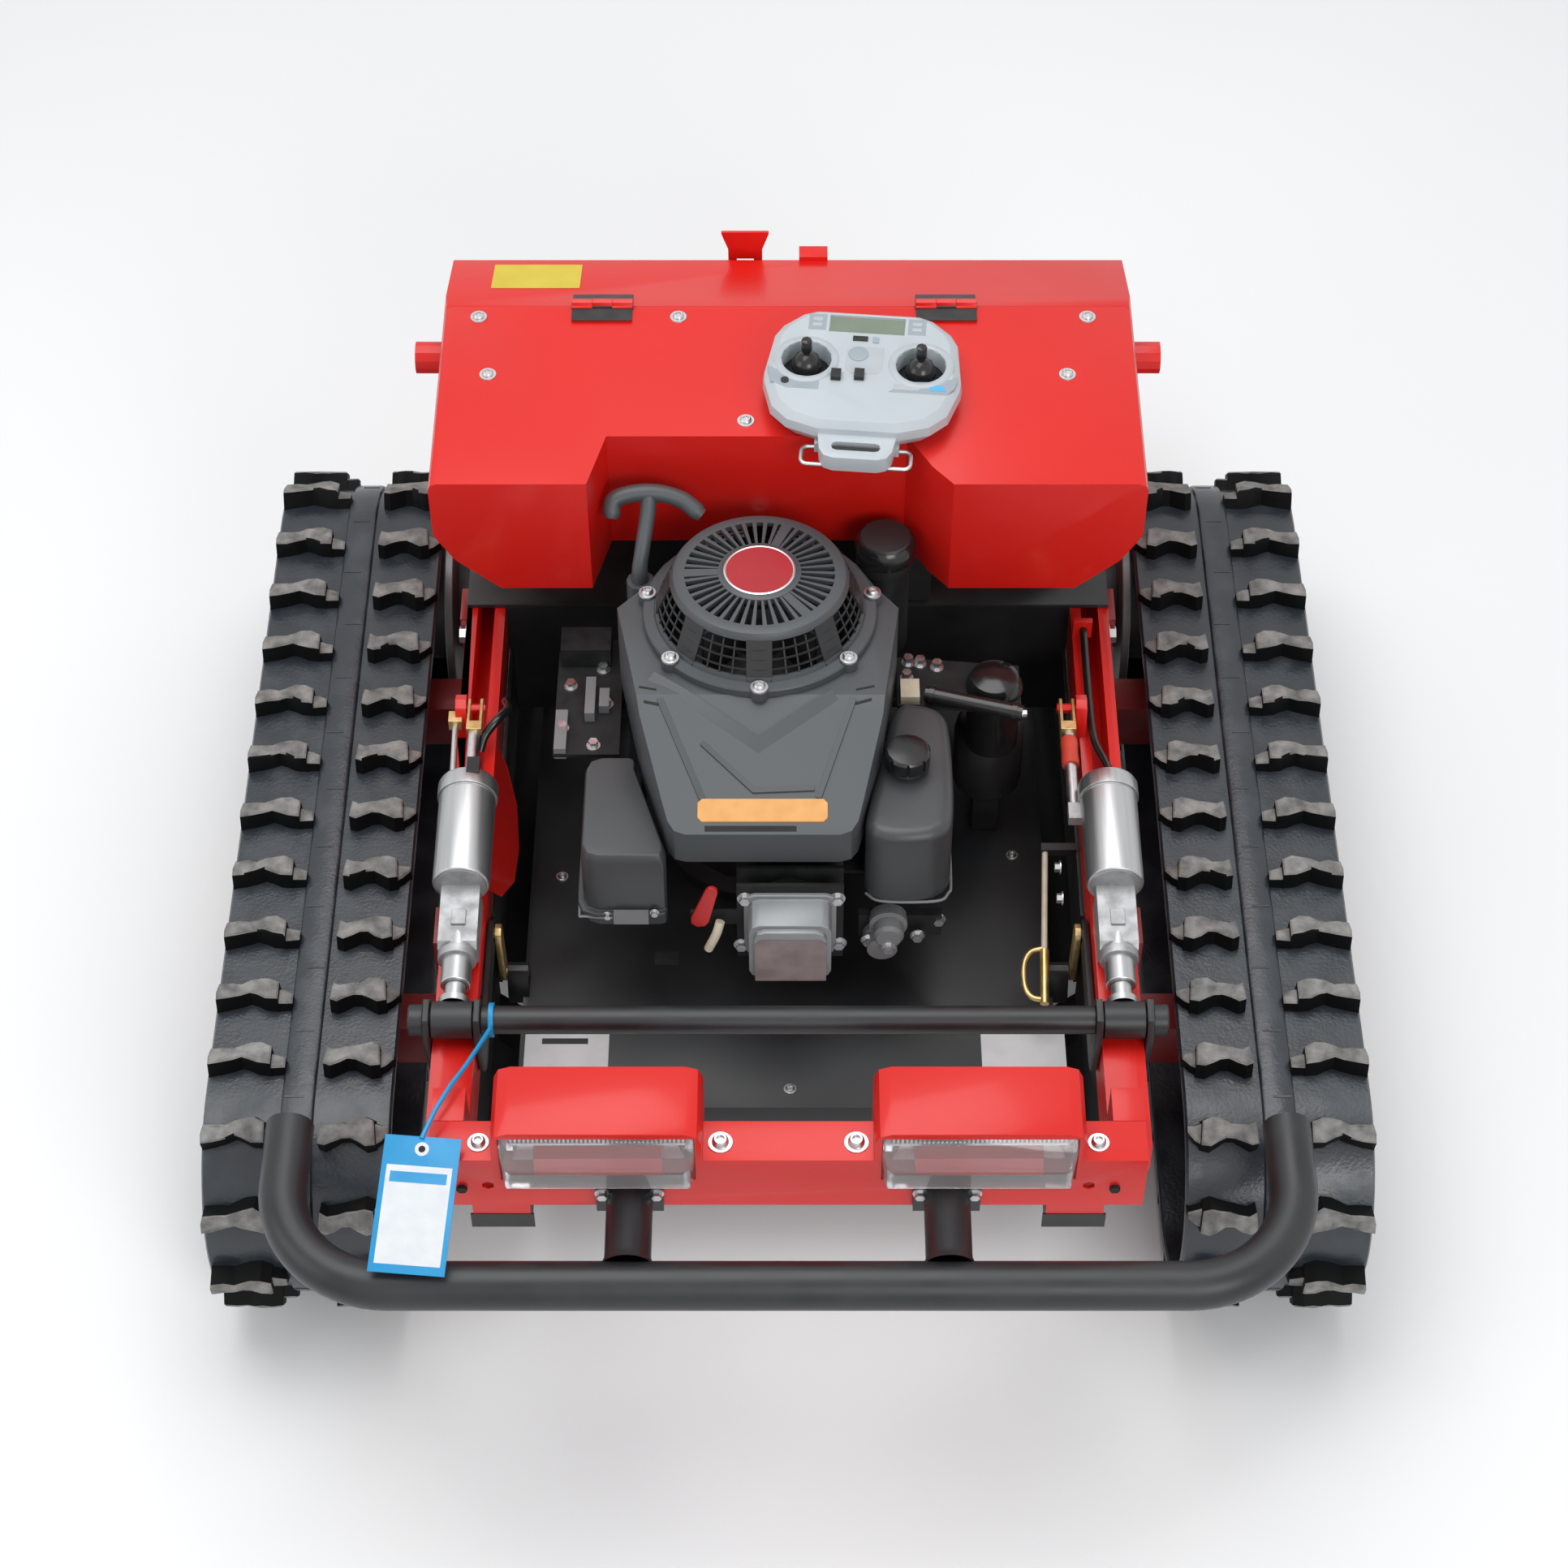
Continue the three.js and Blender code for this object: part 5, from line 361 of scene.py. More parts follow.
def belt_band(form):
    """The belt's section carried along its two flat runs and round the two wheels."""
    half = [
        (belt_half - 2, belt_inside), (belt_half, belt_inside + 2), (belt_half, belt_outside - 3),
        (belt_half - 2, belt_outside), (band_half, belt_outside), (band_half - 1.5, band_top - 1),
        (band_half - 3.5, band_top),
    ]
    section = [(track_x - x, radius) for x, radius in half]
    section += [(track_x + x, radius) for x, radius in half[::-1]]
    start = [form.verts.new((x, sprocket_y, wheel_z + radius)) for x, radius in section]
    rim = [form.edges.new(pair) for pair in zip(start, start[1:] + start[:1])]
    for centre_y, push in ((idler_y, -wheel_base), (sprocket_y, wheel_base)):
        grown = bmesh.ops.extrude_edge_only(form, edges=rim)["geom"]
        moved = [v for v in grown if isinstance(v, bmesh.types.BMVert)]
        bmesh.ops.translate(form, vec=(0, push, 0), verts=moved)
        rim = [e for e in grown if isinstance(e, bmesh.types.BMEdge)]
        turned = bmesh.ops.spin(
            form, geom=moved + rim, cent=(0, centre_y, wheel_z), axis=(1, 0, 0), angle=math.pi,
            steps=28, use_duplicate=False,
        )["geom_last"]
        rim = [e for e in turned if isinstance(e, bmesh.types.BMEdge)]
    bmesh.ops.remove_doubles(form, verts=form.verts, dist=0.001)
    bmesh.ops.recalc_face_normals(form, faces=form.faces)


def on_loop(distance, radius):
    """The place and turn of a lug, measured round the loop from above the drive wheel."""
    half_turn = math.pi * belt_outside
    if distance < wheel_base:
        return Matrix.Translation((0, sprocket_y - distance, wheel_z + radius))
    if distance < wheel_base + half_turn:
        angle, centre = (distance - wheel_base) / belt_outside, idler_y
    elif distance < 2 * wheel_base + half_turn:
        spot = (0, idler_y + distance - wheel_base - half_turn, wheel_z - radius)
        return Matrix.Translation(spot) @ Matrix.Rotation(math.pi, 4, "X")
    else:
        angle, centre = math.pi + (distance - 2 * wheel_base - half_turn) / belt_outside, sprocket_y
    hub = Matrix.Translation((0, centre, wheel_z)) @ Matrix.Rotation(angle, 4, "X")
    return hub @ Matrix.Translation((0, 0, radius))


def moulded_lug(outline, height, index, row_x):
    """One lug on a spread foot, with worn edges, an uneven dusty top and sides of painted shade."""
    lug = bmesh.new()
    sheet_cut(lug, outline, -lug_root, height)
    wobble = math.sin(index * 2.4 + row_x) * 0.9
    for vert in lug.verts:
        if vert.co.z < 0:
            vert.co.y *= 1.25
            vert.co.x *= 1.02
        else:
            vert.co.z -= 0.5 + 0.5 * math.sin(vert.co.x * 0.31 + index * 1.7)
            vert.co.y += wobble * math.sin(vert.co.x * 0.22 + index)
    bmesh.ops.bevel(
        lug, geom=[e for e in lug.edges if all(v.co.z > 0 for v in e.verts)],
        offset=1.6, affect="EDGES", segments=1, profile=0.5, material=-1,
    )
    # Upward faces take the dust finish, the rest the lug sides' painted shade.
    for face in lug.faces:
        face.material_index = 1 if face.normal.z > 0.55 else 2
    return lug


def build_track(side):
    form = bmesh.new()
    belt_band(form)
    outer_row, inner_row = track_x + lug_row, track_x - lug_row
    mouldings = (
        (outer_lug, outer_row, lug_height), (outer_shoulder, outer_row, outer_shoulder_height),
        (inner_lug, inner_row, lug_height), (inner_shoulder, inner_row, inner_shoulder_height),
    )
    for outline, row_x, height in mouldings:
        for index in range(lug_count):
            lug = moulded_lug(outline, height, index, row_x)
            seat = on_loop(lug_pitch * (index + 0.5), belt_outside)
            joined_on(form, lug, Matrix.Translation((row_x, 0, 0)) @ seat)
    for index in range(lug_count):
        horn = block(form, *horn_box)
        for vert in horn:
            if vert.co.z < 0:
                vert.co.x *= 0.6
                vert.co.y *= 0.7
        under = Matrix.Translation((track_x, 0, 0)) @ on_loop(lug_pitch * (index + 0.5), belt_inside)
        bmesh.ops.transform(form, matrix=under, verts=horn)
        seam = block(form, *seam_box)
        drift = Matrix.Translation((track_x + 4 * math.sin(index * 2.1), 0, 0))
        bmesh.ops.transform(form, matrix=drift @ on_loop(lug_pitch * index, band_top), verts=seam)
    for vert in form.verts:
        vert.co.z = max(vert.co.z, tread_low)
    if side == "left":
        left_handed(form)
    settled(form, f"track_belt_{side}", "chassis", [rubber, lug_dust, lug_wall_shade], f"track_{side}", sharp=30)


for side in sides:
    build_track(side)

# Running gear: steel wheels with rolled rims in black, bolted drive wheels in grey and cut plates
# between them in dark red. All are turned or flame-cut parts with a satin coat.
rim_radius = 109.1
disc_near, disc_far = 16, 50
flange_radius = 116
drive_bolts, drive_bolt_circle = 8, 72
dimples, dimple_circle = 5, 63
roller_radius = 35.9
motor_radius, motor_flange_radius = 52.8, 67

black_steel = Finish("black_powder_coat", (0.014, 0.014, 0.015), 0.42)
black_steel.weathered((0.03, 0.03, 0.031), 22, 0.6, 0.12)
black_steel.relief(black_steel.speckle(900, 2), 0.0002, 0.35)

grey_steel = Finish("grey_wheel_steel", (0.2, 0.205, 0.21), 0.45, 0.35)
grey_steel.weathered((0.1, 0.1, 0.1), 20, 0.7, 0.15)
grey_steel.relief(grey_steel.speckle(500), 0.0002, 0.3)

dark_red_coat = Finish("dark_red_coat", (0.26, 0.008, 0.01), 0.4, Coat_Weight=0.2)
dark_red_coat.weathered((0.16, 0.012, 0.012), 16, 0.7, 0.15)
dark_red_coat.relief(dark_red_coat.speckle(700), 0.0002, 0.3)

bright_steel = Finish("bright_zinc_steel", (0.62, 0.62, 0.63), 0.28, 1.0)
bright_steel.weathered((0.45, 0.45, 0.46), 120, 0.6, 0.15)
bright_steel.relief(bright_steel.speckle(400), 0.0001, 0.3)


def lathe(form, axis, profile, centre, steps, finish=0):
    """A profile of (radius, place along the axis) turned about an axis through the centre."""
    along, out, spin = {
        "x": (Vector((1, 0, 0)), Vector((0, 1, 0)), (1, 0, 0)),
        "y": (Vector((0, 1, 0)), Vector((1, 0, 0)), (0, 1, 0)),
        "z": (Vector((0, 0, 1)), Vector((1, 0, 0)), (0, 0, 1)),
    }[axis]
    middle = Vector(centre)
    points = [form.verts.new(middle + along * place + out * radius) for radius, place in profile]
    edges = [form.edges.new(pair) for pair in zip(points, points[1:])]
    before = set(form.faces)
    bmesh.ops.spin(
        form, geom=points + edges, cent=middle, axis=spin, angle=math.tau, steps=steps,
        use_merge=True, use_duplicate=False,
    )
    made = [f for f in form.faces if f not in before]
    corners = list({v for f in made for v in f.verts})
    bmesh.ops.remove_doubles(form, verts=corners, dist=0.002)
    made = [f for f in form.faces if f not in before]
    for face in made:
        face.material_index = finish
    bmesh.ops.recalc_face_normals(form, faces=made)


axis_turns = {
    "x": Matrix.Rotation(math.radians(90), 4, "Y"),
    "-x": Matrix.Rotation(math.radians(-90), 4, "Y"),
    "-y": Matrix.Rotation(math.radians(90), 4, "X"),
    "z": Matrix(),
}
outward = {"right": "x", "left": "-x"}


def bolt(form, spot, axis, radius, height, finish=0, washer=True, head="hex"):
    """A bolt's head on its washer, seated on a surface that faces along the axis."""
    part = bmesh.new()
    base = radius * 0.22 if washer else 0
    if washer:
        lathe(part, "z", [(radius * 1.45, 0), (radius * 1.4, base), (0, base)], (0, 0, 0), 18)
    if head == "hex":
        turns = [math.tau * corner / 6 for corner in range(6)]
        hexagon = [(radius * math.cos(turn), radius * math.sin(turn)) for turn in turns]
        sheet_cut(part, hexagon, base, base + height)
    else:
        sink, middle, top = radius * 0.5, base + height * 0.5, base + height
        crown = [(radius, base), (radius * 0.96, middle), (radius * 0.7, top), (sink, top)]
        lathe(part, "z", [*crown, (sink * 0.9, middle), (0, middle)], (0, 0, 0), 18)
    joined_on(form, part, Matrix.Translation(spot) @ axis_turns[axis], finish)


def twin_disc(half):
    """A wheel's profile from its middle outwards, repeated on its other side."""
    return [(radius, -along) for radius, along in half[:0:-1]] + half[1:]


def build_idler(side, x):
    form = bmesh.new()
    dish = [(96, disc_far), (91, 46), (88, 42), (60, 39), (44, 40), (40, 44), (0, 46)]
    half = [
        (26, 0), (26, disc_near), (rim_radius - 0.6, disc_near), (rim_radius, disc_near + 1),
        (rim_radius, disc_far - 1), (rim_radius - 0.6, disc_far), *dish,
    ]
    lathe(form, "x", twin_disc(half), (x, idler_y, wheel_z), 64)
    for end in (-1, 1):
        for index in range(dimples):
            angle = math.tau * index / dimples
            across, up = dimple_circle * math.cos(angle), dimple_circle * math.sin(angle)
            dimple = [(0, 0), (14, 0), (17, end * 1.5), (18.5, 0), (17, -end)]
            lathe(form, "x", dimple, (x + end * 40.5, idler_y + across, wheel_z + up), 18)
        lathe(form, "x", [(26, 0), (24, end * 7), (0, end * 7)], (x + end * 45, idler_y, wheel_z), 32)
    settled(form, f"idler_wheel_{side}", f"idler_{side}", black_steel, f"idler_{side}")


def build_drive_wheel(side, sign, x):
    form = bmesh.new()
    flange = [(54, 22.5), (54, -102), (flange_radius - 1, -102), (flange_radius, -101), (flange_radius, -94)]
    inner_disc = [
        (flange_radius - 1, -93), (66, -93), (66, -disc_far), (rim_radius - 0.9, -disc_far),
        (rim_radius, 1 - disc_far), (rim_radius, -disc_near - 1), (rim_radius - 0.9, -disc_near),
    ]
    outer_disc = [
        (66, -disc_near), (66, disc_near), (rim_radius - 0.9, disc_near), (rim_radius, disc_near + 1),
        (rim_radius - 1, 42), (99, 48), (92, 44), (60, 38), (42, 37), (38, 41), (0, 42),
    ]
    profile = [(0, 22.5), *flange, *inner_disc, *outer_disc]
    lathe(form, "x", [(radius, along * sign) for radius, along in profile], (x, sprocket_y, wheel_z), 64)
    for index in range(drive_bolts):
        angle = math.tau * (index + 0.5) / drive_bolts
        across, up = drive_bolt_circle * math.cos(angle), drive_bolt_circle * math.sin(angle)
        spot = (x + sign * 39, sprocket_y + across, wheel_z + up)
        bolt(form, spot, outward[side], 6, 5.4, finish=1)
    settled(form, f"drive_wheel_{side}", f"sprocket_{side}", [grey_steel, bright_steel], f"sprocket_{side}")


def build_rollers(side, x):
    half = [
        (14, 0), (14, disc_near), (roller_radius - 0.9, disc_near), (roller_radius, disc_near + 1),
        (roller_radius, disc_far - 1), (roller_radius - 0.9, disc_far), (27, disc_far), (25, 46), (12, 46),
        (10, disc_far - 1), (0, disc_far - 0.5),
    ]
    for index in (1, 2, 3):
        form = bmesh.new()
        node = f"road_roller_{side}_{index}"
        _, y, z = pivot(f"{node}_spin")
        lathe(form, "x", twin_disc(half), (x, y, z), 40)
        settled(form, f"roller_wheel_{side}_{index}", node, black_steel, node)


def build_drive_motor(side, sign):
    form = bmesh.new()
    inner, outer, flange = 338.3, 492, 346.3
    profile = [
        (0, inner), (motor_flange_radius - 1, inner), (motor_flange_radius, inner + 1),
        (motor_flange_radius, flange - 1), (motor_flange_radius - 1, flange), (motor_radius, flange),
        (motor_radius, outer - 1), (motor_radius - 1.8, outer), (0, outer),
    ]
    lathe(form, "x", [(radius, along * sign) for radius, along in profile], (0, sprocket_y, wheel_z), 48)
    settled(form, f"wheel_motor_{side}", "chassis", black_steel, f"drive_motor_{side}")


for side, sign in sides.items():
    build_idler(side, track_x * sign)
    build_drive_wheel(side, sign, track_x * sign)
    build_rollers(side, track_x * sign)
    build_drive_motor(side, sign)


def dressed(node, finish, edge, sharp=32, segments=2, reshaped=None):
    """A CAD solid's own shape with its edges broken and its curved faces smoothed."""
    source = frame["nodes"][node]
    form = bmesh.new()
    form.from_mesh(source.data)
    bmesh.ops.scale(form, vec=(1000,) * 3, verts=form.verts)
    bmesh.ops.remove_doubles(form, verts=form.verts, dist=0.01)
    if reshaped:
        reshaped(form)
    bmesh.ops.dissolve_limit(form, angle_limit=math.radians(0.6), verts=form.verts, edges=form.edges)
    body = source["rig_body"]
    return settled(form, f"{node}_coated", body, finish, node, edge, sharp=sharp, segments=segments)


for side in sides:
    dressed(f"track_frame_{side}", dark_red_coat, 1.5)

# Front crossmember and side arms: folded and welded sheet in glossy red powder coat, with plain
# holes and button-head screws. The crossmember stands on two black foot plates.


def box_of(node):
    """A solid's lowest and highest corners at rest, in millimetres."""
    low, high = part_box(node)
    return Vector(low) * 1000, Vector(high) * 1000


member_low = box_of("front_crossmember")[0]
arm_outer_x = box_of("side_arm_right")[1].x
foot_x, foot_half, foot_height, foot_fold = 266, 29.5, 22, 24.5
lid_screw_y, lid_screw_z = -441, 375
arm_bolts = ((42, 306, 9, 7), (-90, 300, 7, 6), (240, 306, 9, 7))

red_coat = Finish(
    "red_powder_coat", (0.72, 0.013, 0.008), 0.34,
    Coat_Weight=0.22, Coat_Roughness=0.14, Specular_IOR_Level=0.35,
)
red_coat.weathered((0.64, 0.01, 0.007), 5, 0.5, 0.06)
red_coat.relief(red_coat.speckle(420, 2), 0.00012, 0.25)

# Painted shade: near-black standing for the shade inside holes, slots and the tag's punched hole.
painted_hole_shade = Finish("painted_hole_shade", (0.004, 0.004, 0.004), 0.7)
painted_hole_shade.weathered((0.01, 0.01, 0.01), 40, 0.5)

member = dressed("front_crossmember", [red_coat, black_steel], 1.6, segments=3)
for polygon in member.data.polygons:
    if polygon.center.z * 1000 < member_low.z + foot_fold:
        polygon.material_index = 1
feet = bmesh.new()
for x in (-foot_x, foot_x):
    low = (x - foot_half, member_low.y - 0.6, member_low.z - 0.2)
    block(feet, low, (x + foot_half, member_low.y + 1, member_low.z + foot_height))
settled(feet, "foot_plates", "chassis", black_steel)
for side in sides:
    dressed(f"side_arm_{side}", red_coat, 1.4)

fasteners = bmesh.new()
for side, sign in sides.items():
    bolt(fasteners, (sign * 62, lid_screw_y, lid_screw_z), "z", 8, 6, head="button")
    bolt(fasteners, (sign * 283, lid_screw_y, lid_screw_z), "z", 7, 5, head="button")
    # These hex heads at the crossmember's front take the near-black painted hole shade.
    bolt(fasteners, (sign * 300, member_low.y, 330), "-y", 5, 4, finish=1, washer=False)
    for y, z, radius, height in arm_bolts:
        bolt(fasteners, (sign * arm_outer_x, y, z), outward[side], radius, height)
settled(fasteners, "frame_fasteners", "chassis", [bright_steel, painted_hole_shade])

# Bumper: one bent steel tube with two welded stubs on bolted flanges, in satin black.
# Its open ends are capped.
bar_half, bar_front_y, bar_end_y, bar_z = 466, -558, -386, 320
bar_radius, bar_bend = 22.4, 104
stub_x, stub_z, stub_radius = 146, 320.3, 21.5
flange_half, flange_low, flange_top = 31, 299, 341.4
flange_front_y, flange_back_y = -466.3, -460.4

bumper_black = Finish("bumper_satin_black", (0.012, 0.013, 0.015), 0.36)
bumper_black.weathered((0.028, 0.03, 0.032), 14, 0.7, 0.12)
bumper_black.relief(bumper_black.speckle(800), 0.00018, 0.35)


def oblong(low_u, low_v, high_u, high_v):
    """The four corners of an upright rectangle, as an outline."""
    return [(low_u, low_v), (high_u, low_v), (high_u, high_v), (low_u, high_v)]


def bent_pipe(form, points, radius, bend, facets, steps):
    """A round pipe along straight runs whose corners are bent to a radius."""
    spots = [Vector(p) for p in points]
    path = [spots[0]]
    for before, corner, after in zip(spots, spots[1:], spots[2:]):
        start = corner + (before - corner).normalized() * bend
        end = corner + (after - corner).normalized() * bend
        reach = 0.5523
        for step in range(steps + 1):
            t = step / steps
            a = start.lerp(start.lerp(corner, reach), t)
            b = start.lerp(corner, reach).lerp(end.lerp(corner, reach), t)
            c = end.lerp(corner, reach).lerp(end, t)
            path.append(a.lerp(b, t).lerp(b.lerp(c, t), t))
    path.append(spots[-1])
    pipe(form, path, radius, facets)


def pipe(form, path, radius, facets, finish=0):
    """A round pipe through close-set points, with one radius or a radius at each of them."""
    path = [Vector(p) for p in path]
    radii = radius if isinstance(radius, (list, tuple)) else [radius] * len(path)
    axis = (path[1] - path[0]).normalized()
    turn = axis.to_track_quat("Z", "Y").to_matrix().to_4x4()
    made = list(bmesh.ops.create_circle(
        form, segments=facets, radius=radii[0], cap_ends=True, matrix=Matrix.Translation(path[0]) @ turn,
    )["verts"])
    rim = list({e for v in made for e in v.link_edges})
    for index in range(1, len(path)):
        before, here = path[index - 1], path[index]
        fresh = (here - before).normalized()
        if index < len(path) - 1:
            fresh = (fresh + (path[index + 1] - here).normalized()).normalized()
        grown = bmesh.ops.extrude_edge_only(form, edges=rim)["geom"]
        moved = [v for v in grown if isinstance(v, bmesh.types.BMVert)]
        rim = [e for e in grown if isinstance(e, bmesh.types.BMEdge)]
        roll = axis.rotation_difference(fresh).to_matrix().to_4x4()
        size = Matrix.Scale(radii[index] / radii[index - 1], 4)
        carry = Matrix.Translation(here) @ roll @ size @ Matrix.Translation(-before)
        bmesh.ops.transform(form, matrix=carry, verts=moved)
        axis = fresh
        made += moved
    bmesh.ops.edgenet_fill(form, edges=rim)
    faces = list({f for v in made for f in v.link_faces})
    for face in faces:
        face.material_index = finish
    bmesh.ops.recalc_face_normals(form, faces=faces)


bumper = bmesh.new()
bar_route = [
    (-bar_half, bar_end_y, bar_z), (-bar_half, bar_front_y, bar_z), (bar_half, bar_front_y, bar_z),
    (bar_half, bar_end_y, bar_z),
]
bent_pipe(bumper, bar_route, bar_radius, bar_bend, 40, 16)
for x in (-stub_x, stub_x):
    weld = [(stub_radius + 4, bar_front_y + 17), (stub_radius + 2, bar_front_y + 22)]
    tube = [(stub_radius, bar_front_y + 27), (stub_radius, flange_front_y - 0.2)]
    lathe(bumper, "y", weld + tube, (x, 0, stub_z), 40)
    plate = oblong(x - flange_half, flange_low, x + flange_half, flange_top)
    sheet_cut(bumper, plate, flange_front_y, flange_back_y, "y")
    for dx in (-25, 25):
        bolt(bumper, (x + dx, flange_front_y, 330), "-y", 5, 5, finish=1)
settled(bumper, "bumper_tube", "chassis", [bumper_black, bright_steel], "bumper", sharp=40)

# Rear frame and battery box: black folded steel under the hood, with a moulded lidded box on it.
# Seen only through the gaps, they keep a plain satin coat.
black_plastic = Finish("black_moulded_plastic", (0.016, 0.0165, 0.018), 0.42)
black_plastic.weathered((0.03, 0.031, 0.033), 12, 0.6, 0.12)
black_plastic.relief(black_plastic.speckle(1400, 2), 0.00015, 0.5)

dressed("rear_frame", black_steel, 1.2)
dressed("battery_box", black_plastic, 2)

# Headlamps: clear moulded lenses over a bright reflector with fine flutes at the top and a red
# bar below them. Each sits in its housing of the crossmember.
lamp_x = 174
mirror_half, mirror_low, mirror_top = 84, 347, 406
flutes, flute_pitch, flute_half = 40, 4, 1.1
flute_low, flute_top = 386, 403

lens = Finish("lamp_lens", (0.93, 0.94, 0.95), 0.06, Transmission_Weight=0.85, IOR=1.35, Coat_Weight=0.5)
lens.feed("Roughness", lens.spread(lens.speckle(60), 0.3, 0.7, 0.04, 0.12))

chrome = Finish("lamp_reflector", (0.75, 0.76, 0.78), 0.18, 0.9)
chrome.weathered((0.6, 0.6, 0.62), 50, 0.6, 0.1)
red_reflector = Finish("lamp_inner_red", (0.55, 0.02, 0.02), 0.3)
red_reflector.weathered((0.4, 0.02, 0.02), 50)

for side, sign in sides.items():
    centre = lamp_x * sign
    dressed(f"headlamp_{side}", lens, 3.5, segments=4)
    inside = bmesh.new()
    block(inside, (centre - mirror_half, -424, mirror_low), (centre + mirror_half, -419, mirror_top))
    for index in range(flutes):
        x = centre - mirror_half + 6 + index * flute_pitch
        block(inside, (x - flute_half, -446, flute_low), (x + flute_half, -424, flute_top))
    block(inside, (centre - 80, -447, flute_low - 3), (centre + 80, -424, flute_low))
    trough = [(centre - 78, 352), (centre + 78, 352), (centre + 70, 380), (centre - 70, 380)]
    sheet_cut(inside, trough, -438, -425, "y")
    block(inside, (centre - 58, -452, 353), (centre + 58, -438, 370), 1)
    settled(inside, f"lamp_inside_{side}", "chassis", [chrome, red_reflector])

# Hood and rear door: thin folded steel in glossy red, hinged across the top with black hinges and
# held by Torx screws. The engine's bay is folded into its front edge.
hood_seat = 600
hood_screw_spots = ((-112, 412), (-316, 412), (306, 412), (-302, 328), (281, 328), (-42, 262))
hinges = {"left": -190, "right": 162}
hinge_y, hinge_z, knuckle_radius = 428, 601, 5.5
leaf_half, leaf_thickness = 31, 1.6
hood_leaf_z, door_leaf_z, door_leaf_fall = 602.2, 596.5, 0.345
door_fall = 40 / 115

dressed("hood", red_coat, 2.2, segments=4, sharp=28)
dressed("rear_door", red_coat, 2.0, segments=3)
dressed("latch_lever", red_coat, 0.6)

hood_screws = bmesh.new()
for x, y in hood_screw_spots:
    bolt(hood_screws, (x, y, hood_seat), "z", 6, 3.4, head="button")
settled(hood_screws, "hood_screws", "chassis", bright_steel)

hinge_black = Finish("hinge_black", (0.012, 0.012, 0.013), 0.3)
hinge_black.weathered((0.03, 0.03, 0.03), 60, 0.6, 0.15)
for side, x in hinges.items():
    leaf = bmesh.new()
    plate = oblong(x - leaf_half, 404, x + leaf_half, 421.5)
    sheet_cut(leaf, plate, hood_leaf_z, hood_leaf_z + leaf_thickness)
    settled(leaf, f"hinge_leaf_hood_{side}", "chassis", hinge_black, edge=0.5)
    leaf = bmesh.new()
    plate = oblong(x - leaf_half, 434, x + leaf_half, 452)
    sheet_cut(leaf, plate, door_leaf_z, door_leaf_z + leaf_thickness)
    for vert in leaf.verts:
        vert.co.z += (443 - vert.co.y) * door_leaf_fall
    settled(leaf, f"hinge_leaf_door_{side}", "rear_door", hinge_black, edge=0.5)
    knuckle = bmesh.new()
    tube = [(0, -31.4), (knuckle_radius, -31.4), (knuckle_radius, 31.4), (0, 31.4)]
    lathe(knuckle, "x", tube, (x, hinge_y, hinge_z), 28)
    settled(knuckle, f"hinge_knuckle_{side}", "chassis", hinge_black)

label_yellow = Finish("blank_yellow_label", (0.72, 0.55, 0.02), 0.35)
label_yellow.weathered((0.62, 0.46, 0.02), 30, 0.6)
label = bmesh.new()
sheet_cut(label, oblong(-308, 472, -216, 530), 0, 0.6)
for vert in label.verts:
    vert.co.z += hood_seat + 0.1 - (vert.co.y - hinge_y) * door_fall
settled(label, "door_label_blank", "rear_door", label_yellow, edge=0.2)

# Cutter deck: a pressed steel plate with a turned-down lip and a welded blade chamber, in black.
# It tilts about its rear pins and carries the engine. Blank pale labels sit at its front corners.
deck_place = Matrix.Translation(pivot("deck_pivot")) @ Matrix.Rotation(math.radians(-4.5), 4, "X")
plate_top = 8
deck_screws = ((2, -712), (-236, -430), (236, -400), (-160, -720), (160, -720), (-236, -180), (236, -180))

deck_black = Finish("deck_black_coat", (0.014, 0.016, 0.018), 0.4, Specular_IOR_Level=0.45)
deck_black.weathered((0.028, 0.031, 0.034), 9, 0.8, 0.16)
deck_black.relief(deck_black.speckle(600), 0.00015, 0.35)
dressed("deck_shell", deck_black, 1.0)

label_white = Finish("blank_pale_label", (0.72, 0.73, 0.74), 0.4)
label_white.weathered((0.6, 0.62, 0.64), 40, 0.6)
deck_trim = bmesh.new()
for x in (-221, 235):
    sheet_cut(deck_trim, oblong(x - 42, -700, x + 42, -640), plate_top, plate_top + 0.5)
block(deck_trim, (-246, -655, plate_top + 0.5), (-200, -648, plate_top + 0.9), 2)
for x, y in deck_screws:
    bolt(deck_trim, (x, y, plate_top), "z", 4.6, 3, finish=1, head="button")
settled(deck_trim, "deck_trim", "deck", [label_white, bright_steel, deck_black], place=deck_place)

# Engine: a small upright petrol engine, bolted on the deck plate. The block, silencer, starter and
# carburettor are dark, the valve cover is bare cast metal, the filter box satin moulded plastic.
engine_place = deck_place @ Matrix.Translation((-28, -361, plate_top))

tank_plastic = Finish("tank_plastic", (0.044, 0.048, 0.051), 0.36)
tank_plastic.weathered((0.06, 0.065, 0.068), 9, 0.7, 0.08)
tank_plastic.relief(tank_plastic.speckle(1600, 2), 0.00012, 0.4)

gloss_plastic = Finish("gloss_black_plastic", (0.01, 0.01, 0.011), 0.16)
gloss_plastic.weathered((0.02, 0.02, 0.02), 40, 0.6, 0.1)

engine_dark = Finish("engine_dark_castings", (0.012, 0.0125, 0.013), 0.5, Specular_IOR_Level=0.25)
engine_dark.weathered((0.024, 0.025, 0.026), 50, 0.7, 0.2)

choke_red = Finish("choke_red", (0.55, 0.02, 0.02), 0.35)
choke_red.weathered((0.42, 0.015, 0.015), 60)

valve_cast = Finish("valve_cover_cast", (0.27, 0.285, 0.29), 0.42, 0.35)
valve_cast.weathered((0.2, 0.21, 0.215), 14, 0.6, 0.12)
valve_cast.relief(valve_cast.speckle(900), 0.0002, 0.4)

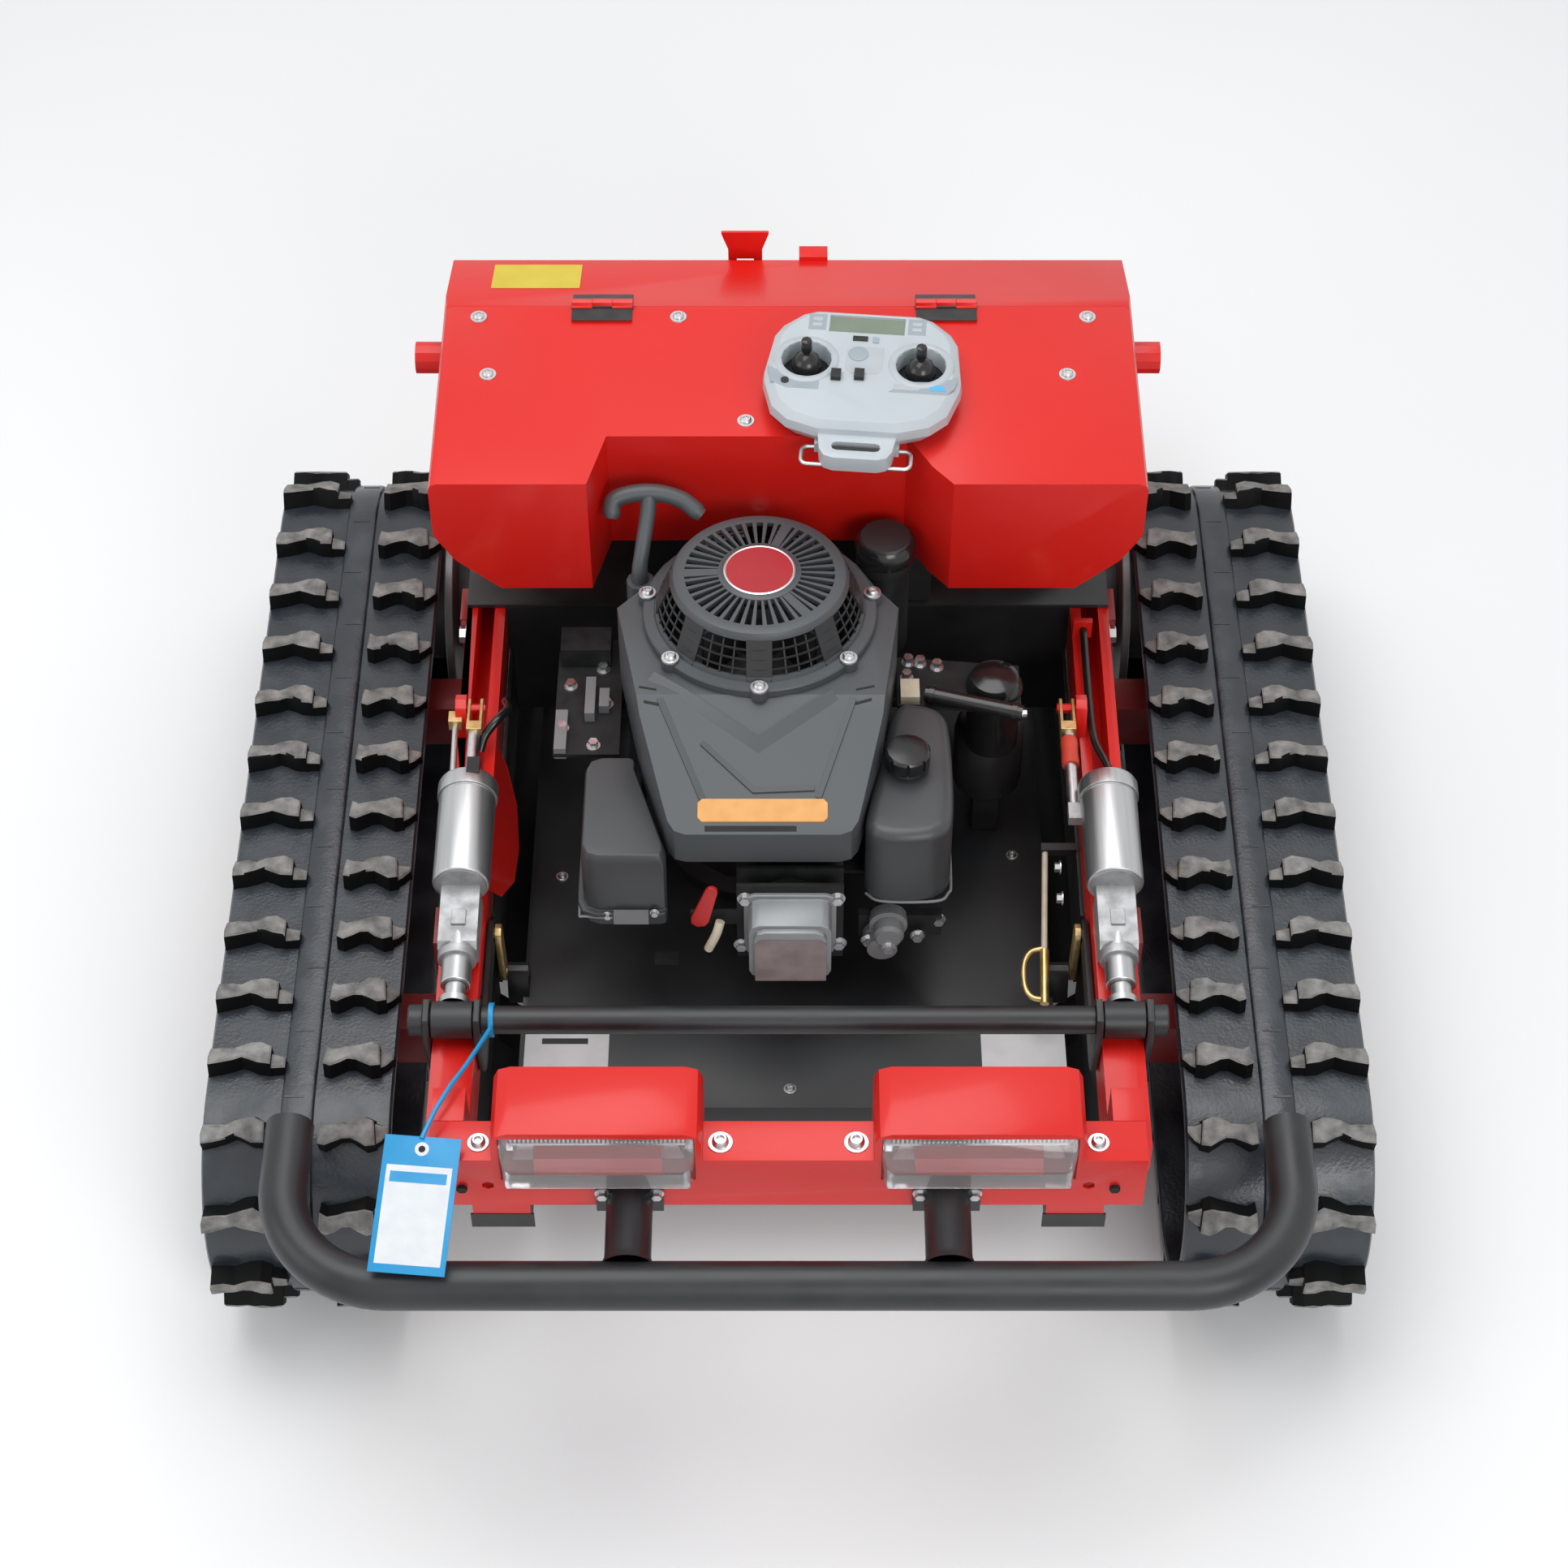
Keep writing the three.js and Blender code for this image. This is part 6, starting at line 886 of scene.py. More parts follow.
dressed("engine_block", engine_dark, 0.8)
dressed("valve_cover", valve_cast, 3.5, segments=4)
dressed("fuel_cap", gloss_plastic, 1.0)
dressed("air_filter_box", tank_plastic, 4.0, segments=4)
dressed("muffler", black_steel, 1.5)
dressed("starter_motor", black_plastic, 1.5)
dressed("carburettor", engine_dark, 1.0)
dressed("choke_lever", choke_red, 0.6)

# Engine shroud: a moulded cowl in satin dark grey plastic over the fan. Its top is level at the
# back and falls towards the front.
shroud_level, slope_y, toe_y = 312, -112, -205
slope_fall, toe_ease = 0.516, 0.131

shroud_plastic = Finish("shroud_plastic", (0.06, 0.067, 0.072), 0.4)
shroud_plastic.weathered((0.078, 0.087, 0.093), 7, 0.7, 0.08)
shroud_plastic.relief(shroud_plastic.speckle(1600, 2), 0.00015, 0.45)


def shroud_top(y):
    """The height of the shroud's upper surface, which falls less steeply at its toe."""
    return shroud_level + min(0, y - slope_y) * slope_fall - min(0, y - toe_y) * toe_ease


def ribs_removed(form):
    """The shroud's slope without its thin ribs: moulded folds take their place."""
    home = engine_place.inverted()
    raised = []
    for vert in form.verts:
        spot = home @ vert.co
        if spot.y < -80 and spot.z > shroud_top(spot.y) + 0.9:
            raised.append(vert)
    bmesh.ops.delete(form, geom=raised, context="VERTS")
    bmesh.ops.delete(form, geom=[e for e in form.edges if e.is_wire], context="EDGES")
    rims = [e for e in form.edges if e.is_boundary]
    bmesh.ops.triangle_fill(form, edges=rims, use_beauty=True)
    bmesh.ops.recalc_face_normals(form, faces=form.faces)


dressed("engine_shroud", shroud_plastic, 4.0, segments=5, sharp=26, reshaped=ribs_removed)

# Fuel tank: one moulded shell in satin dark plastic with broad rounded shoulders, held at the
# engine's side. A short round neck takes the cap.
tank_low, tank_top = 149, 246
filler_x, filler_y, filler_radius = 144, -146, 17
tank_waist = [
    (134, -62, 0), (158, -55, 0), (180.5, -66, 0), (188, -98, 0), (187.5, -204, 0), (174, -230, 0),
    (149, -237.5, 0), (122, -236, 0), (106, -226, 0), (103.5, -205, 0), (118, -134, 0),
]


def smooth_run(points, steps=6, closed=False):
    """Close-set points on a smooth line through the given ones."""
    spots = [Vector(p) for p in points]
    if closed:
        spots = [spots[-1], *spots, spots[0], spots[1]]
    else:
        spots = [spots[0] * 2 - spots[1], *spots, spots[-1] * 2 - spots[-2]]
    path = []
    for a, b, c, d in zip(spots, spots[1:], spots[2:], spots[3:]):
        slope = c - a
        bend = 2 * a - 5 * b + 4 * c - d
        twist = 3 * b - a - 3 * c + d
        for step in range(steps):
            t = step / steps
            path.append(0.5 * (2 * b + slope * t + bend * t * t + twist * t ** 3))
    return path if closed else [*path, spots[-2]]


tank = bmesh.new()
tank_outline = [(spot.x, spot.y) for spot in smooth_run(tank_waist, closed=True)]
sheet_cut(tank, tank_outline, tank_low, tank_top)
for level, offset in ((tank_top, 12), (tank_low, 5)):
    rim = [e for e in tank.edges if all(abs(v.co.z - level) < 6 for v in e.verts)]
    bmesh.ops.bevel(tank, geom=rim, offset=offset, affect="EDGES", segments=6, profile=0.5, material=-1)
filler = [(filler_radius, 244), (filler_radius, 252.5), (filler_radius - 1, 254), (0, 254)]
lathe(tank, "z", filler, (filler_x, filler_y, 0), 40)
settled(tank, "fuel_tank_moulded", "deck", tank_plastic, "fuel_tank", place=engine_place, sharp=40)

# Fan cover: a moulded grille of spokes in a crown, on posts and thin bars over a screwed foot ring,
# in satin dark grey and black. The round badge in its middle is bare red in a silver rim.
spokes, wide_spokes = 42, (8, 21, 36)
spoke_start, spoke_end = 39, 78
fan_posts, bar_swing = 8, 0.0207
foot_level, foot_bolt_circle = 312.5, 113.5
crown = [
    (74, 364), (74, 368.8), (81, 369), (85, 367.6), (87.5, 364), (88.4, 360.5), (86, 360.5), (84, 363),
    (74, 364),
]
foot = [
    (103.5, 326), (105, 321.5), (115, 321), (116, 319.5), (116, foot_level), (101, foot_level), (100.5, 326),
    (103.5, 326),
]
post_side = [(88.4, 361.5), (104.7, 321), (101.5, 321), (85.4, 361.5)]
bar_side = [(89.2, 359), (104.4, 321.5), (102.6, 321.5), (87.4, 359)]


def swung(form, verts, angle):
    """Turns a part about the crankshaft."""
    bmesh.ops.rotate(form, cent=(0, 0, 0), matrix=Matrix.Rotation(angle, 3, "Z"), verts=verts)


fan = bmesh.new()
lathe(fan, "z", crown, (0, 0, 0), 96)
lathe(fan, "z", foot, (0, 0, 0), 96)
lathe(fan, "z", [(35.4, 373), (37, 371.6), (41, 370.8), (41, 364), (0, 364)], (0, 0, 0), 72)
lathe(fan, "z", [(33, 373.2), (34, 373.6), (35.4, 373)], (0, 0, 0), 72, 2)
lathe(fan, "z", [(0, 373.2), (33, 373.2)], (0, 0, 0), 72, 1)
for index in range(spokes):
    inner, outer = (4.2, 5.6) if index in wide_spokes else (1.1, 2.2)
    outline = [(spoke_start, -inner), (spoke_end, -outer), (spoke_end, outer), (spoke_start, inner)]
    spoke = sheet_cut(fan, outline, 364.2, 368.7)
    for vert in spoke:
        if vert.co.z > 366:
            vert.co.z += (spoke_end - vert.co.x) * 0.045
    swung(fan, spoke, math.tau * index / spokes)
for index in range(fan_posts):
    turn = math.tau * index / fan_posts
    swung(fan, sheet_cut(fan, post_side, -12.5, 12.5, "y", 4), turn)
    for step in (-1, 0, 1):
        between = turn + math.tau * (0.5 / fan_posts + step * bar_swing)
        swung(fan, sheet_cut(fan, bar_side, -0.8, 0.8, "y", 4), between)
for radius, z in ((92.4, 351), (96.2, 341.5), (100.1, 332)):
    hoop = [(radius, z), (radius, z + 1.6), (radius - 1.6, z + 1.6), (radius - 1.6, z), (radius, z)]
    lathe(fan, "z", hoop, (0, 0, 0), 96, 4)
for degrees in (10, 90, 170, 220, 270, 320):
    angle = math.radians(degrees)
    x, y = foot_bolt_circle * math.cos(angle), foot_bolt_circle * math.sin(angle)
    lathe(fan, "z", [(9, foot_level), (9, 322), (8, 323.3), (0, 323.3)], (x, y, 0), 24)
    bolt(fan, (x, y, 323.3), "z", 6.2, 4, finish=3, head="button")
badge_red = Finish("badge_red", (0.42, 0.012, 0.02), 0.28)
badge_red.weathered((0.36, 0.012, 0.018), 30)
silver_rim = Finish("badge_silver_rim", (0.72, 0.72, 0.73), 0.25, 0.8)
silver_rim.weathered((0.6, 0.6, 0.6), 60)
fan_finishes = [shroud_plastic, badge_red, silver_rim, bright_steel, black_plastic]
settled(fan, "fan_cover_slotted", "deck", fan_finishes, "fan_cover", place=engine_place)

# Flywheel and recoil handle: a dark cast fan wheel on the crankshaft under the cover, and a
# moulded grip that is thickest in its middle, on a waisted neck over the rope's guide.
flywheel_metal = Finish("flywheel_cast", (0.05, 0.05, 0.052), 0.5, 0.4)
flywheel_metal.weathered((0.03, 0.03, 0.03), 60)
dressed("flywheel", flywheel_metal, 0.8)

grip_radius, neck_thick, neck_waist = 8.9, 8.6, 1.0
grip_route = [(-148, 78, 370), (-144, 91, 384), (-112, 97, 388), (-80, 95, 381), (-58, 85, 368)]
neck_route = [(-111, 96, 386), (-112, 84, 372), (-117, 60, 348), (-120, 50, 330), (-120, 50, 313.4)]

handle = bmesh.new()
grip = smooth_run(grip_route, 8)
ends = [min(spot, len(grip) - 1 - spot) for spot in range(len(grip))]
pipe(handle, grip, [grip_radius * min(1, 0.75 + 0.25 * end / 2) for end in ends], 24)
neck = smooth_run(neck_route, 8)
waist = [math.sin(math.pi * spot / (len(neck) - 1)) for spot in range(len(neck))]
pipe(handle, neck, [neck_thick - neck_waist * share for share in waist], 24)
settled(handle, "recoil_grip", "recoil_handle", shroud_plastic, "recoil_handle", place=engine_place, sharp=50)

# Folds and plates of the shroud: moulded creases that stand proud on one side and run out on the
# other, a bare orange plate let into its toe and slots beside it, drawn as near-black sheets of
# painted shade on the surface.
main_fold = [(-106, -87), (-74, -112), (-0.6, -158.5), (60, -121), (74, -112)]
left_fold = [(-54, -206), (-96, -116)]
right_fold = [(91, -116), (56.5, -205)]
toe_fold = [(53.5, -196), (-5, -198), (-55, -155.5)]
toe_plate = [
    (-59, -224), (-55, -228), (62, -228), (66, -224), (66, -210), (62, -206), (-55, -206), (-59, -210),
]
slit_width = 2.5


def crease(form, spots, width, rise):
    """A fold along the shroud's top: proud at the left of its way, running out at the right."""
    path = [Vector((x, y, 0)) for x, y in spots]
    last = len(path) - 1
    rows = []
    for index, here in enumerate(path):
        ahead = (path[min(index + 1, last)] - path[min(index, last - 1)]).normalized()
        behind = (path[max(index, 1)] - path[max(index - 1, 0)]).normalized()
        along = (ahead + behind).normalized()
        across = Vector((along.y, -along.x, 0)) * (width / 2 / along.dot(ahead))
        left, right = here - across, here + across
        row = []
        for spot, lift in ((left, -1), (left, rise), (right, 0.05), (right, -1)):
            row.append(form.verts.new((spot.x, spot.y, shroud_top(spot.y) + lift)))
        rows.append(row)
    faces = [form.faces.new(rows[0]), form.faces.new(rows[-1])]
    for first, second in zip(rows, rows[1:]):
        for corner in range(4):
            after = (corner + 1) % 4
            faces.append(form.faces.new((first[corner], second[corner], second[after], first[after])))
    bmesh.ops.recalc_face_normals(form, faces=faces)


def slit(x, y, far_x, far_y):
    """A narrow slot's outline along one of its edges."""
    return [(x, y), (far_x, far_y), (far_x, far_y - slit_width), (x, y - slit_width)]


folds = bmesh.new()
crease(folds, main_fold, 11, 3.6)
crease(folds, left_fold, 7, 2.4)
crease(folds, right_fold, 7, 2.4)
crease(folds, toe_fold, 6, 2.4)
settled(folds, "shroud_folds", "deck", shroud_plastic, place=engine_place, edge=0.5)

orange_plate = Finish("blank_orange_plate", (0.75, 0.36, 0.09), 0.4)
orange_plate.weathered((0.66, 0.3, 0.07), 60, 0.7)
slots = [
    oblong(-52, -231.5, 36, -237), slit(-117, -100, -100, -104), slit(-112, -117, -96, -120),
    slit(94, -104, 112, -99), slit(93, -119, 109, -115),
]
trim = bmesh.new()
for outline, lift, finish in ((toe_plate, 1.4, 0), *((slot, 0.5, 1) for slot in slots)):
    for vert in sheet_cut(trim, outline, -1, lift, finish=finish):
        vert.co.z += shroud_top(vert.co.y)
settled(trim, "shroud_plate_blank", "deck", [orange_plate, painted_hole_shade], place=engine_place, edge=0.3)

# Small fittings round the engine: clips, bolts, the throttle's levers and a vent canister with its
# hose, on dark brackets beside the block. The beads are the welded seams of tank and filter box.
bead_z, bead_width = 151, 1.5
left_bracket, right_bracket = 212, 226
cover_plate = [(-4, 105), (65, 105), (65, 158), (59, 164), (2, 164), (-4, 158)]
spark_lead = [(-38, -262, 150), (-42, -266, 136), (-50, -264, 112)]
tank_bead = [(104, -226), (120, -236.5), (172, -236.5), (185, -226), (188.2, -206), (188.2, -90)]
filter_bead = [(-176, -120, 146), (-176, -238, 146), (-168, -252, 146), (-112, -253.5, 146)]
left_tray = [(-206, -96), (-140, -96), (-140, 70), (-206, 50)]
right_tray = [(138, -42), (262, -48), (262, 16), (138, 28)]
vent = [(0, 246), (14, 245), (24, 240), (28.5, 231), (29, 226), (27, 225), (27, 150), (0, 150)]
side_cap = [(31.2, 317), (31.4, 325), (30.4, 333), (27, 337.5), (20, 339.6), (18, 338.6), (0, 339.4)]

bead_grey = Finish("seam_bead_grey", (0.2, 0.205, 0.21), 0.4)
bead_grey.weathered((0.16, 0.16, 0.16), 30, 0.6, 0.1)
bare_cover = Finish("bare_pinkish_cast", (0.3, 0.24, 0.235), 0.5, 0.6)
bare_cover.weathered((0.2, 0.16, 0.16), 40, 0.7, 0.15)
cream_coat = Finish("cream_coat", (0.68, 0.61, 0.47), 0.4)
cream_coat.weathered((0.5, 0.44, 0.33), 60, 0.7, 0.1)

fittings = bmesh.new()
sheet_cut(fittings, cover_plate, -299.4, -298, "y", 2)
for x, z in ((-14, 176), (76, 176), (78, 110), (-18, 108)):
    bolt(fittings, (x, -254.5, z), "-y", 5.4, 5)
pipe(fittings, smooth_run(spark_lead, 5), 4.6, 12, 3)
block(fittings, (-104, -256, 78), (-80, -246, 86), 4)
for tilt, height in ((0, 112), (1, 92)):
    front = tilt * 4 - 252
    drum = [(0, front), (12, front), (15, -248), (15, -236), (19, -234), (19, -222), (0, -222)]
    lathe(fittings, "y", drum, (127 - tilt * 6, 0, height), 28, 1)
for x, y, z in ((156, -236, 100), (127, -251, 100), (107, -238, 96), (177, -222, 108)):
    bolt(fittings, (x, y, z), "-y", 5.2, 5)
block(fittings, (98, -226, 88), (180, -216, 118), 4)
pipe(fittings, smooth_run([(x, y, bead_z) for x, y in tank_bead], 5), bead_width, 10, 1)
pipe(fittings, smooth_run(filter_bead, 5), bead_width - 0.1, 10, 1)
block(fittings, (-142, -257, 140), (-108, -252, 156), 1)
bolt(fittings, (-148, -254, 150), "-y", 3.4, 3)
bolt(fittings, (-102, -254, 154), "-y", 3.4, 3)

sheet_cut(fittings, left_tray, left_bracket - 4, left_bracket, "z", 4)
block(fittings, (-205, -95, 205), (-193, -40, 219), 1)
block(fittings, (-176, -50, left_bracket), (-166, 2, 224), 1)
block(fittings, (-162, -38, left_bracket), (-152, -12, 222), 1)
block(fittings, (-203, 28, left_bracket), (-152, 62, 236), 4)
for x, y in ((-192, 0), (-166, -84), (-155, -26), (-198, -60), (-160, 24)):
    bolt(fittings, (x, y, left_bracket), "z", 5, 6)

sheet_cut(fittings, right_tray, right_bracket - 4, right_bracket, "z", 4)
block(fittings, (141, -40, right_bracket), (160, -14, 237), 3)
for x, y in ((150, 20), (162, 18), (179, 13), (148, -2)):
    bolt(fittings, (x, y, right_bracket), "z", 5, 8)
pipe(fittings, [(166, -34, 236), (262, -62, 236)], 8.2, 20, 5)
for x, y in ((170, -35.2), (252, -59.1)):
    pipe(fittings, [(x, y, 236), (x + 5, y - 1.5, 236)], 9.6, 20, 5)
bolt(fittings, (261, -61.8, 236), "x", 4, 4)
lathe(fittings, "z", vent, (236, -14, 0), 40, 5)
lathe(fittings, "z", side_cap, (126, 86, 0), 56, 5)
fitting_finishes = [bright_steel, bead_grey, bare_cover, cream_coat, engine_dark, gloss_plastic]
settled(fittings, "engine_fittings", "deck", fitting_finishes, place=engine_place)

# Lift crossbar, rockers and links: a black tube across the front with turned end collars, on two
# flat rockers, and links in yellow zinc that hang the deck from it on pins.
bar_low, bar_high = box_of("lift_crossbar")
lift_bar_y, lift_bar_z = ((bar_low + bar_high) / 2).yz
collar_radius, seat_radius, tube_radius = 15, 10, 13.5

yellow_zinc = Finish("yellow_zinc", (0.62, 0.43, 0.16), 0.3, 0.85)
yellow_zinc.weathered((0.7, 0.55, 0.3), 80, 0.8, 0.15)

crossbar = bmesh.new()
bar_profile = twin_disc([
    (tube_radius, 0), (tube_radius, 290), (tube_radius - 0.5, 290.7), (seat_radius, 291),
    (seat_radius, 345.6), (collar_radius, 346), (collar_radius, 358), (collar_radius - 1, 359.5), (0, 359.5),
])
lathe(crossbar, "x", bar_profile, (0, lift_bar_y, lift_bar_z), 40)
settled(crossbar, "crossbar_tube", "lift", bumper_black, "lift_crossbar")
for side in sides:
    dressed(f"rocker_{side}", black_steel, 1.2)
    dressed(f"lift_link_{side}", yellow_zinc, 0.6)

# Actuators: a brushed aluminium motor tube on a cast gear case along each arm, with a clevis in
# yellow zinc at the back. The black rod ends in a sleeve round the crossbar.
drive_x, _, fork_z = pivot("actuator_right_pivot")
tube_z = fork_z + 10
fork_x = {"right": 284, "left": drive_x}
motor_tube = [
    (0, -139), (26, -139), (27.4, -138), (28, -136), (28, -34), (27, -33.4), (27, -32.4), (30, -32),
    (30, -17), (28.5, -13.5), (25, -12), (0, -12),
]
gear_case = [(-139, 331.4), (-206, 331.4), (-210, 336), (-210, 357), (-204, 364), (-139, 367)]
rod_tube = [(10.5, -170), (10.5, -248), (13.6, -248), (14.6, -247), (14.6, -150)]
rod_nut = [(14.6, -219), (18.6, -219), (19, -217), (19, -210), (14.6, -210)]
clevis_cheek = [(70, 348), (101, 348), (105, 352), (105, 360), (101, 364), (70, 364)]
boot = [(0, 18), (8.6, 19), (9, 24), (8.4, 36), (9, 48), (8, 54), (0, 54)]
sleeve = [(12.6, -19.6), (17.6, -19.6), (18, -19), (18, 19), (17.6, 19.6), (12.6, 19.6), (12.6, -19.6)]
rod_end = [(15, -272), (15, -264.8), (14, -264), (10, -264), (10, -188), (0, -188)]

motor_metal = Finish("brushed_motor_tube", (0.5, 0.505, 0.515), 0.34, 0.92)
brushed = motor_metal.speckle(160, 3, (1, 0.03, 1))
motor_metal.feed("Base Color", motor_metal.tint(brushed, (0.38, 0.385, 0.395), (0.58, 0.585, 0.59)))
motor_metal.feed("Roughness", brushed * 0.15 + 0.27)
cast_metal = Finish("cast_aluminium", (0.42, 0.425, 0.435), 0.42, 0.75)
cast_metal.weathered((0.25, 0.25, 0.255), 60, 0.7, 0.2)
cast_metal.relief(cast_metal.speckle(700), 0.0003, 0.5)
boot_red = Finish("boot_red_rubber", (0.62, 0.06, 0.03), 0.5)
boot_red.weathered((0.5, 0.04, 0.02), 60, 0.6, 0.1)


def build_actuator(side, fork):
    form = bmesh.new()
    lathe(form, "y", motor_tube, (drive_x, 0, tube_z), 56)
    lathe(form, "y", [(0, -139.4), (24, -139.4), (24, -138)], (drive_x, 0, tube_z), 56, 1)
    sheet_cut(form, gear_case, drive_x - 19, drive_x + 19, "x", 1)
    block(form, (drive_x - 7, -186, 365), (drive_x + 7, -168, 367.4), 1)
    lathe(form, "y", rod_tube, (drive_x, 0, lift_bar_z), 40)
    lathe(form, "y", rod_nut, (drive_x, 0, lift_bar_z), 40, 1)
    lathe(form, "y", [(6, -52), (6, 62)], (fork, 0, fork_z), 24, 3)
    stay = [(fork - 6, -52), (drive_x, -52), (drive_x, -32), (fork - 6, -32)]
    sheet_cut(form, stay, 350, 362, "z", 1)
    block(form, (fork - 8, 61, 347.5), (fork + 7.5, 72, 364.5), 2)
    for cheek_x in (fork - 8, fork + 4.5):
        sheet_cut(form, clevis_cheek, cheek_x, cheek_x + 3, "x", 2)
    if side == "right":
        lathe(form, "y", boot, (fork, 0, fork_z), 24, 4)
    else:
        block(form, (331, 76, 344), (345, 90, 358), 2)
        pipe(form, [(338, 78, 351), (336, -14, 352)], 3.2, 12, 3)
        block(form, (305, -21, 386), (318, -2, 397), 5)
        left_handed(form)
    finishes = [motor_metal, cast_metal, yellow_zinc, bright_steel, boot_red, gloss_plastic]
    settled(form, f"actuator_drive_{side}", f"actuator_{side}", finishes, f"actuator_{side}", edge=0.5)

    rod = bmesh.new()
    rod_x = drive_x * sides[side]
    lathe(rod, "x", sleeve, (rod_x, lift_bar_y, lift_bar_z), 40)
    lathe(rod, "y", rod_end, (rod_x, 0, lift_bar_z), 40, 1)
    node = f"actuator_rod_{side}"
    settled(rod, f"actuator_rod_end_{side}", node, [bumper_black, motor_metal], node)


for side, fork in fork_x.items():
    build_actuator(side, fork)

# Side shade sheets: near-black sheets along the arms, hanging outside the deck and bent in at their
# lower edges. They are painted shade that fills the gaps between deck and arms. Each side is one
# piece in three lengths.
shade_sheet_top, shade_sheet_fold, shade_sheet_tip = 262, 149, 111
front_shade_sheet = [
    (299, shade_sheet_top), (300.4, shade_sheet_top), (300.4, shade_sheet_fold), (271.6, shade_sheet_tip), (270.4, shade_sheet_tip + 1),
    (299, shade_sheet_fold + 1),
]
middle_shade_sheet = [(299, shade_sheet_top), (300.4, shade_sheet_top), (300.4, 112), (272.9, 83), (271.9, 84.2), (299, 113)]
rear_shade_sheet = [
    (293.4, 172), (294.6, 172), (294.6, shade_sheet_fold), (271.6, shade_sheet_tip), (270.4, shade_sheet_tip + 1),
    (293.4, shade_sheet_fold + 1),
]

# Painted shade: near-black sheets that fill the gaps under the arms, where only shade shows.
gap_shade_black = Finish("gap_shade_black", (0.006, 0.006, 0.0065), 0.7, Specular_IOR_Level=0.2)
gap_shade_black.weathered((0.012, 0.012, 0.013), 30, 0.7)
for side, sign in sides.items():
    shade_sheets = bmesh.new()
    for outline, near, far in ((front_shade_sheet, -352, -168), (middle_shade_sheet, -168, -88), (rear_shade_sheet, -88, 330)):
        sheet_cut(shade_sheets, [(x * sign, z) for x, z in outline], near, far, "y")
    settled(shade_sheets, f"gap_shade_sheet_{side}", "chassis", gap_shade_black)

# Quick-pin stay: a cream coated rod with its bracket on the right arm, and a sprung ring of
# yellow zinc wire round its end.
stay_end, pin_end = (257, -128, 244), (255, -188, 236)
quick_ring = [
    (255, -126, 244), (243, -130, 243), (236, -144, 241), (236, -168, 238), (243, -180, 236),
    (255, -183, 236),
]

stays = bmesh.new()
pipe(stays, [(262, -16, 264), stay_end], 3.2, 14, 0)
block(stays, (258, -20, 259), (294, -11, 269), 3)
pipe(stays, [stay_end, pin_end], 4.6, 14, 1)
pipe(stays, smooth_run(quick_ring, 5), 3.0, 12, 1)
for y in (-60, -99):
    bolt(stays, (274, y, 292), "-x", 5, 5, finish=2)
settled(stays, "quick_pin_stay", "chassis", [cream_coat, yellow_zinc, bright_steel, black_steel])

# Motor leads: smooth black conduit, clamped to the arms beside the actuators.
hose_route = [(-290, 120, 338), (-286, 98, 352), (-294, 76, 362), (-307, 62, 352), (-312, 50, 342)]
lead_route = [
    (309, 215.7, 341), (309, 130, 341), (311, 70, 341), (319, 36, 346), (323, 14, 354), (320, -1, 363),
    (318, -9, 366),
]


def free_lead(name, route, radius, stands_for=None):
    """A black lead through the points of its route."""
    form = bmesh.new()
    line = smooth_run(route, 8)
    pipe(form, line, radius, 16)
    piece = settled(form, name, "chassis", gloss_plastic, stands_for, sharp=50)
    path = [tuple(spot / 1000) for spot in line]


free_lead("left_motor_hose", hose_route, 4.4)
free_lead("motor_lead", lead_route, 4, "cable_conduit_right")

# Hang tag: a blue card with a bare white face and a punched hole. It hangs from the crossbar on
# a cable tie.
eyelet_y, eyelet_radius = 116, 3.2
card_place = Matrix.Translation((-342, -566, 354)) @ Matrix.Rotation(math.radians(-5), 4, "Z")
card_place = card_place @ Matrix.Rotation(math.radians(16), 4, "X")

tag_blue = Finish("tag_blue", (0.008, 0.3, 0.62), 0.4)
tag_blue.weathered((0.008, 0.26, 0.55), 40, 0.6)
tag_paper = Finish("tag_paper", (0.74, 0.77, 0.8), 0.5)
tag_paper.weathered((0.62, 0.66, 0.7), 60, 0.5)
dressed("hang_tag", tag_blue, 0.3)

paper = bmesh.new()
sheet_cut(paper, oblong(-30, 8, 30, 100), 0.5, 0.9)
sheet_cut(paper, oblong(-26, 84, 26, 94), 0.8, 1.05, finish=1)
patch = [(eyelet_radius, 0.5), (6.5, 0.5), (6.5, 1.1), (eyelet_radius, 1.1), (eyelet_radius, 0.5)]
lathe(paper, "z", patch, (0, eyelet_y, 0), 24)
# The punched hole is a near-black disc of painted shade.
lathe(paper, "z", [(eyelet_radius, 0.5), (eyelet_radius, 0.8), (0, 0.8)], (0, eyelet_y, 0), 24, 2)
settled(paper, "tag_face_blank", "hang_tag", [tag_paper, tag_blue, painted_hole_shade], place=card_place)

# Transmitter: a pale moulded case that lies on the hood, with two sticks in round wells, a small
# display, grey control panels and a bail of bright wire.
hand_place = Matrix.Translation((74, 294, 600)) @ Matrix.Rotation(math.radians(-5), 4, "Z")
case_face, well_x, well_y = 35, 57, 14
panel_top = case_face + 1.5
bail_radius, bail_z, bail_half, bail_reach = 2.2, 2.7, 54, -98
well_ring = [(25, 34), (25, 37.2), (27, 38), (31, 37.6), (33, 36.2), (33, 34), (25, 34)]
well_cone = [(24, 18), (12, 22), (7, 24), (0, 24)]
centre_panel = [(-18, 4), (-12, -2), (14, -2), (19, 4), (19, 36), (-10, 36), (-18, 28)]
left_panel = [(-95, 2), (-90, -20), (-74, -28), (-42, -28), (-42, -12), (-74, -8)]
right_panel = [(26, -26), (84, -26), (92, -16), (95, 0), (74, -8), (44, -10)]

case_plastic = Finish("case_pale_plastic", (0.5, 0.55, 0.58), 0.34)
case_plastic.weathered((0.45, 0.5, 0.53), 12, 0.6, 0.05)
case_plastic.relief(case_plastic.speckle(1500, 2), 0.00008, 0.3)
dressed("transmitter", case_plastic, 2.2, segments=4, sharp=26)

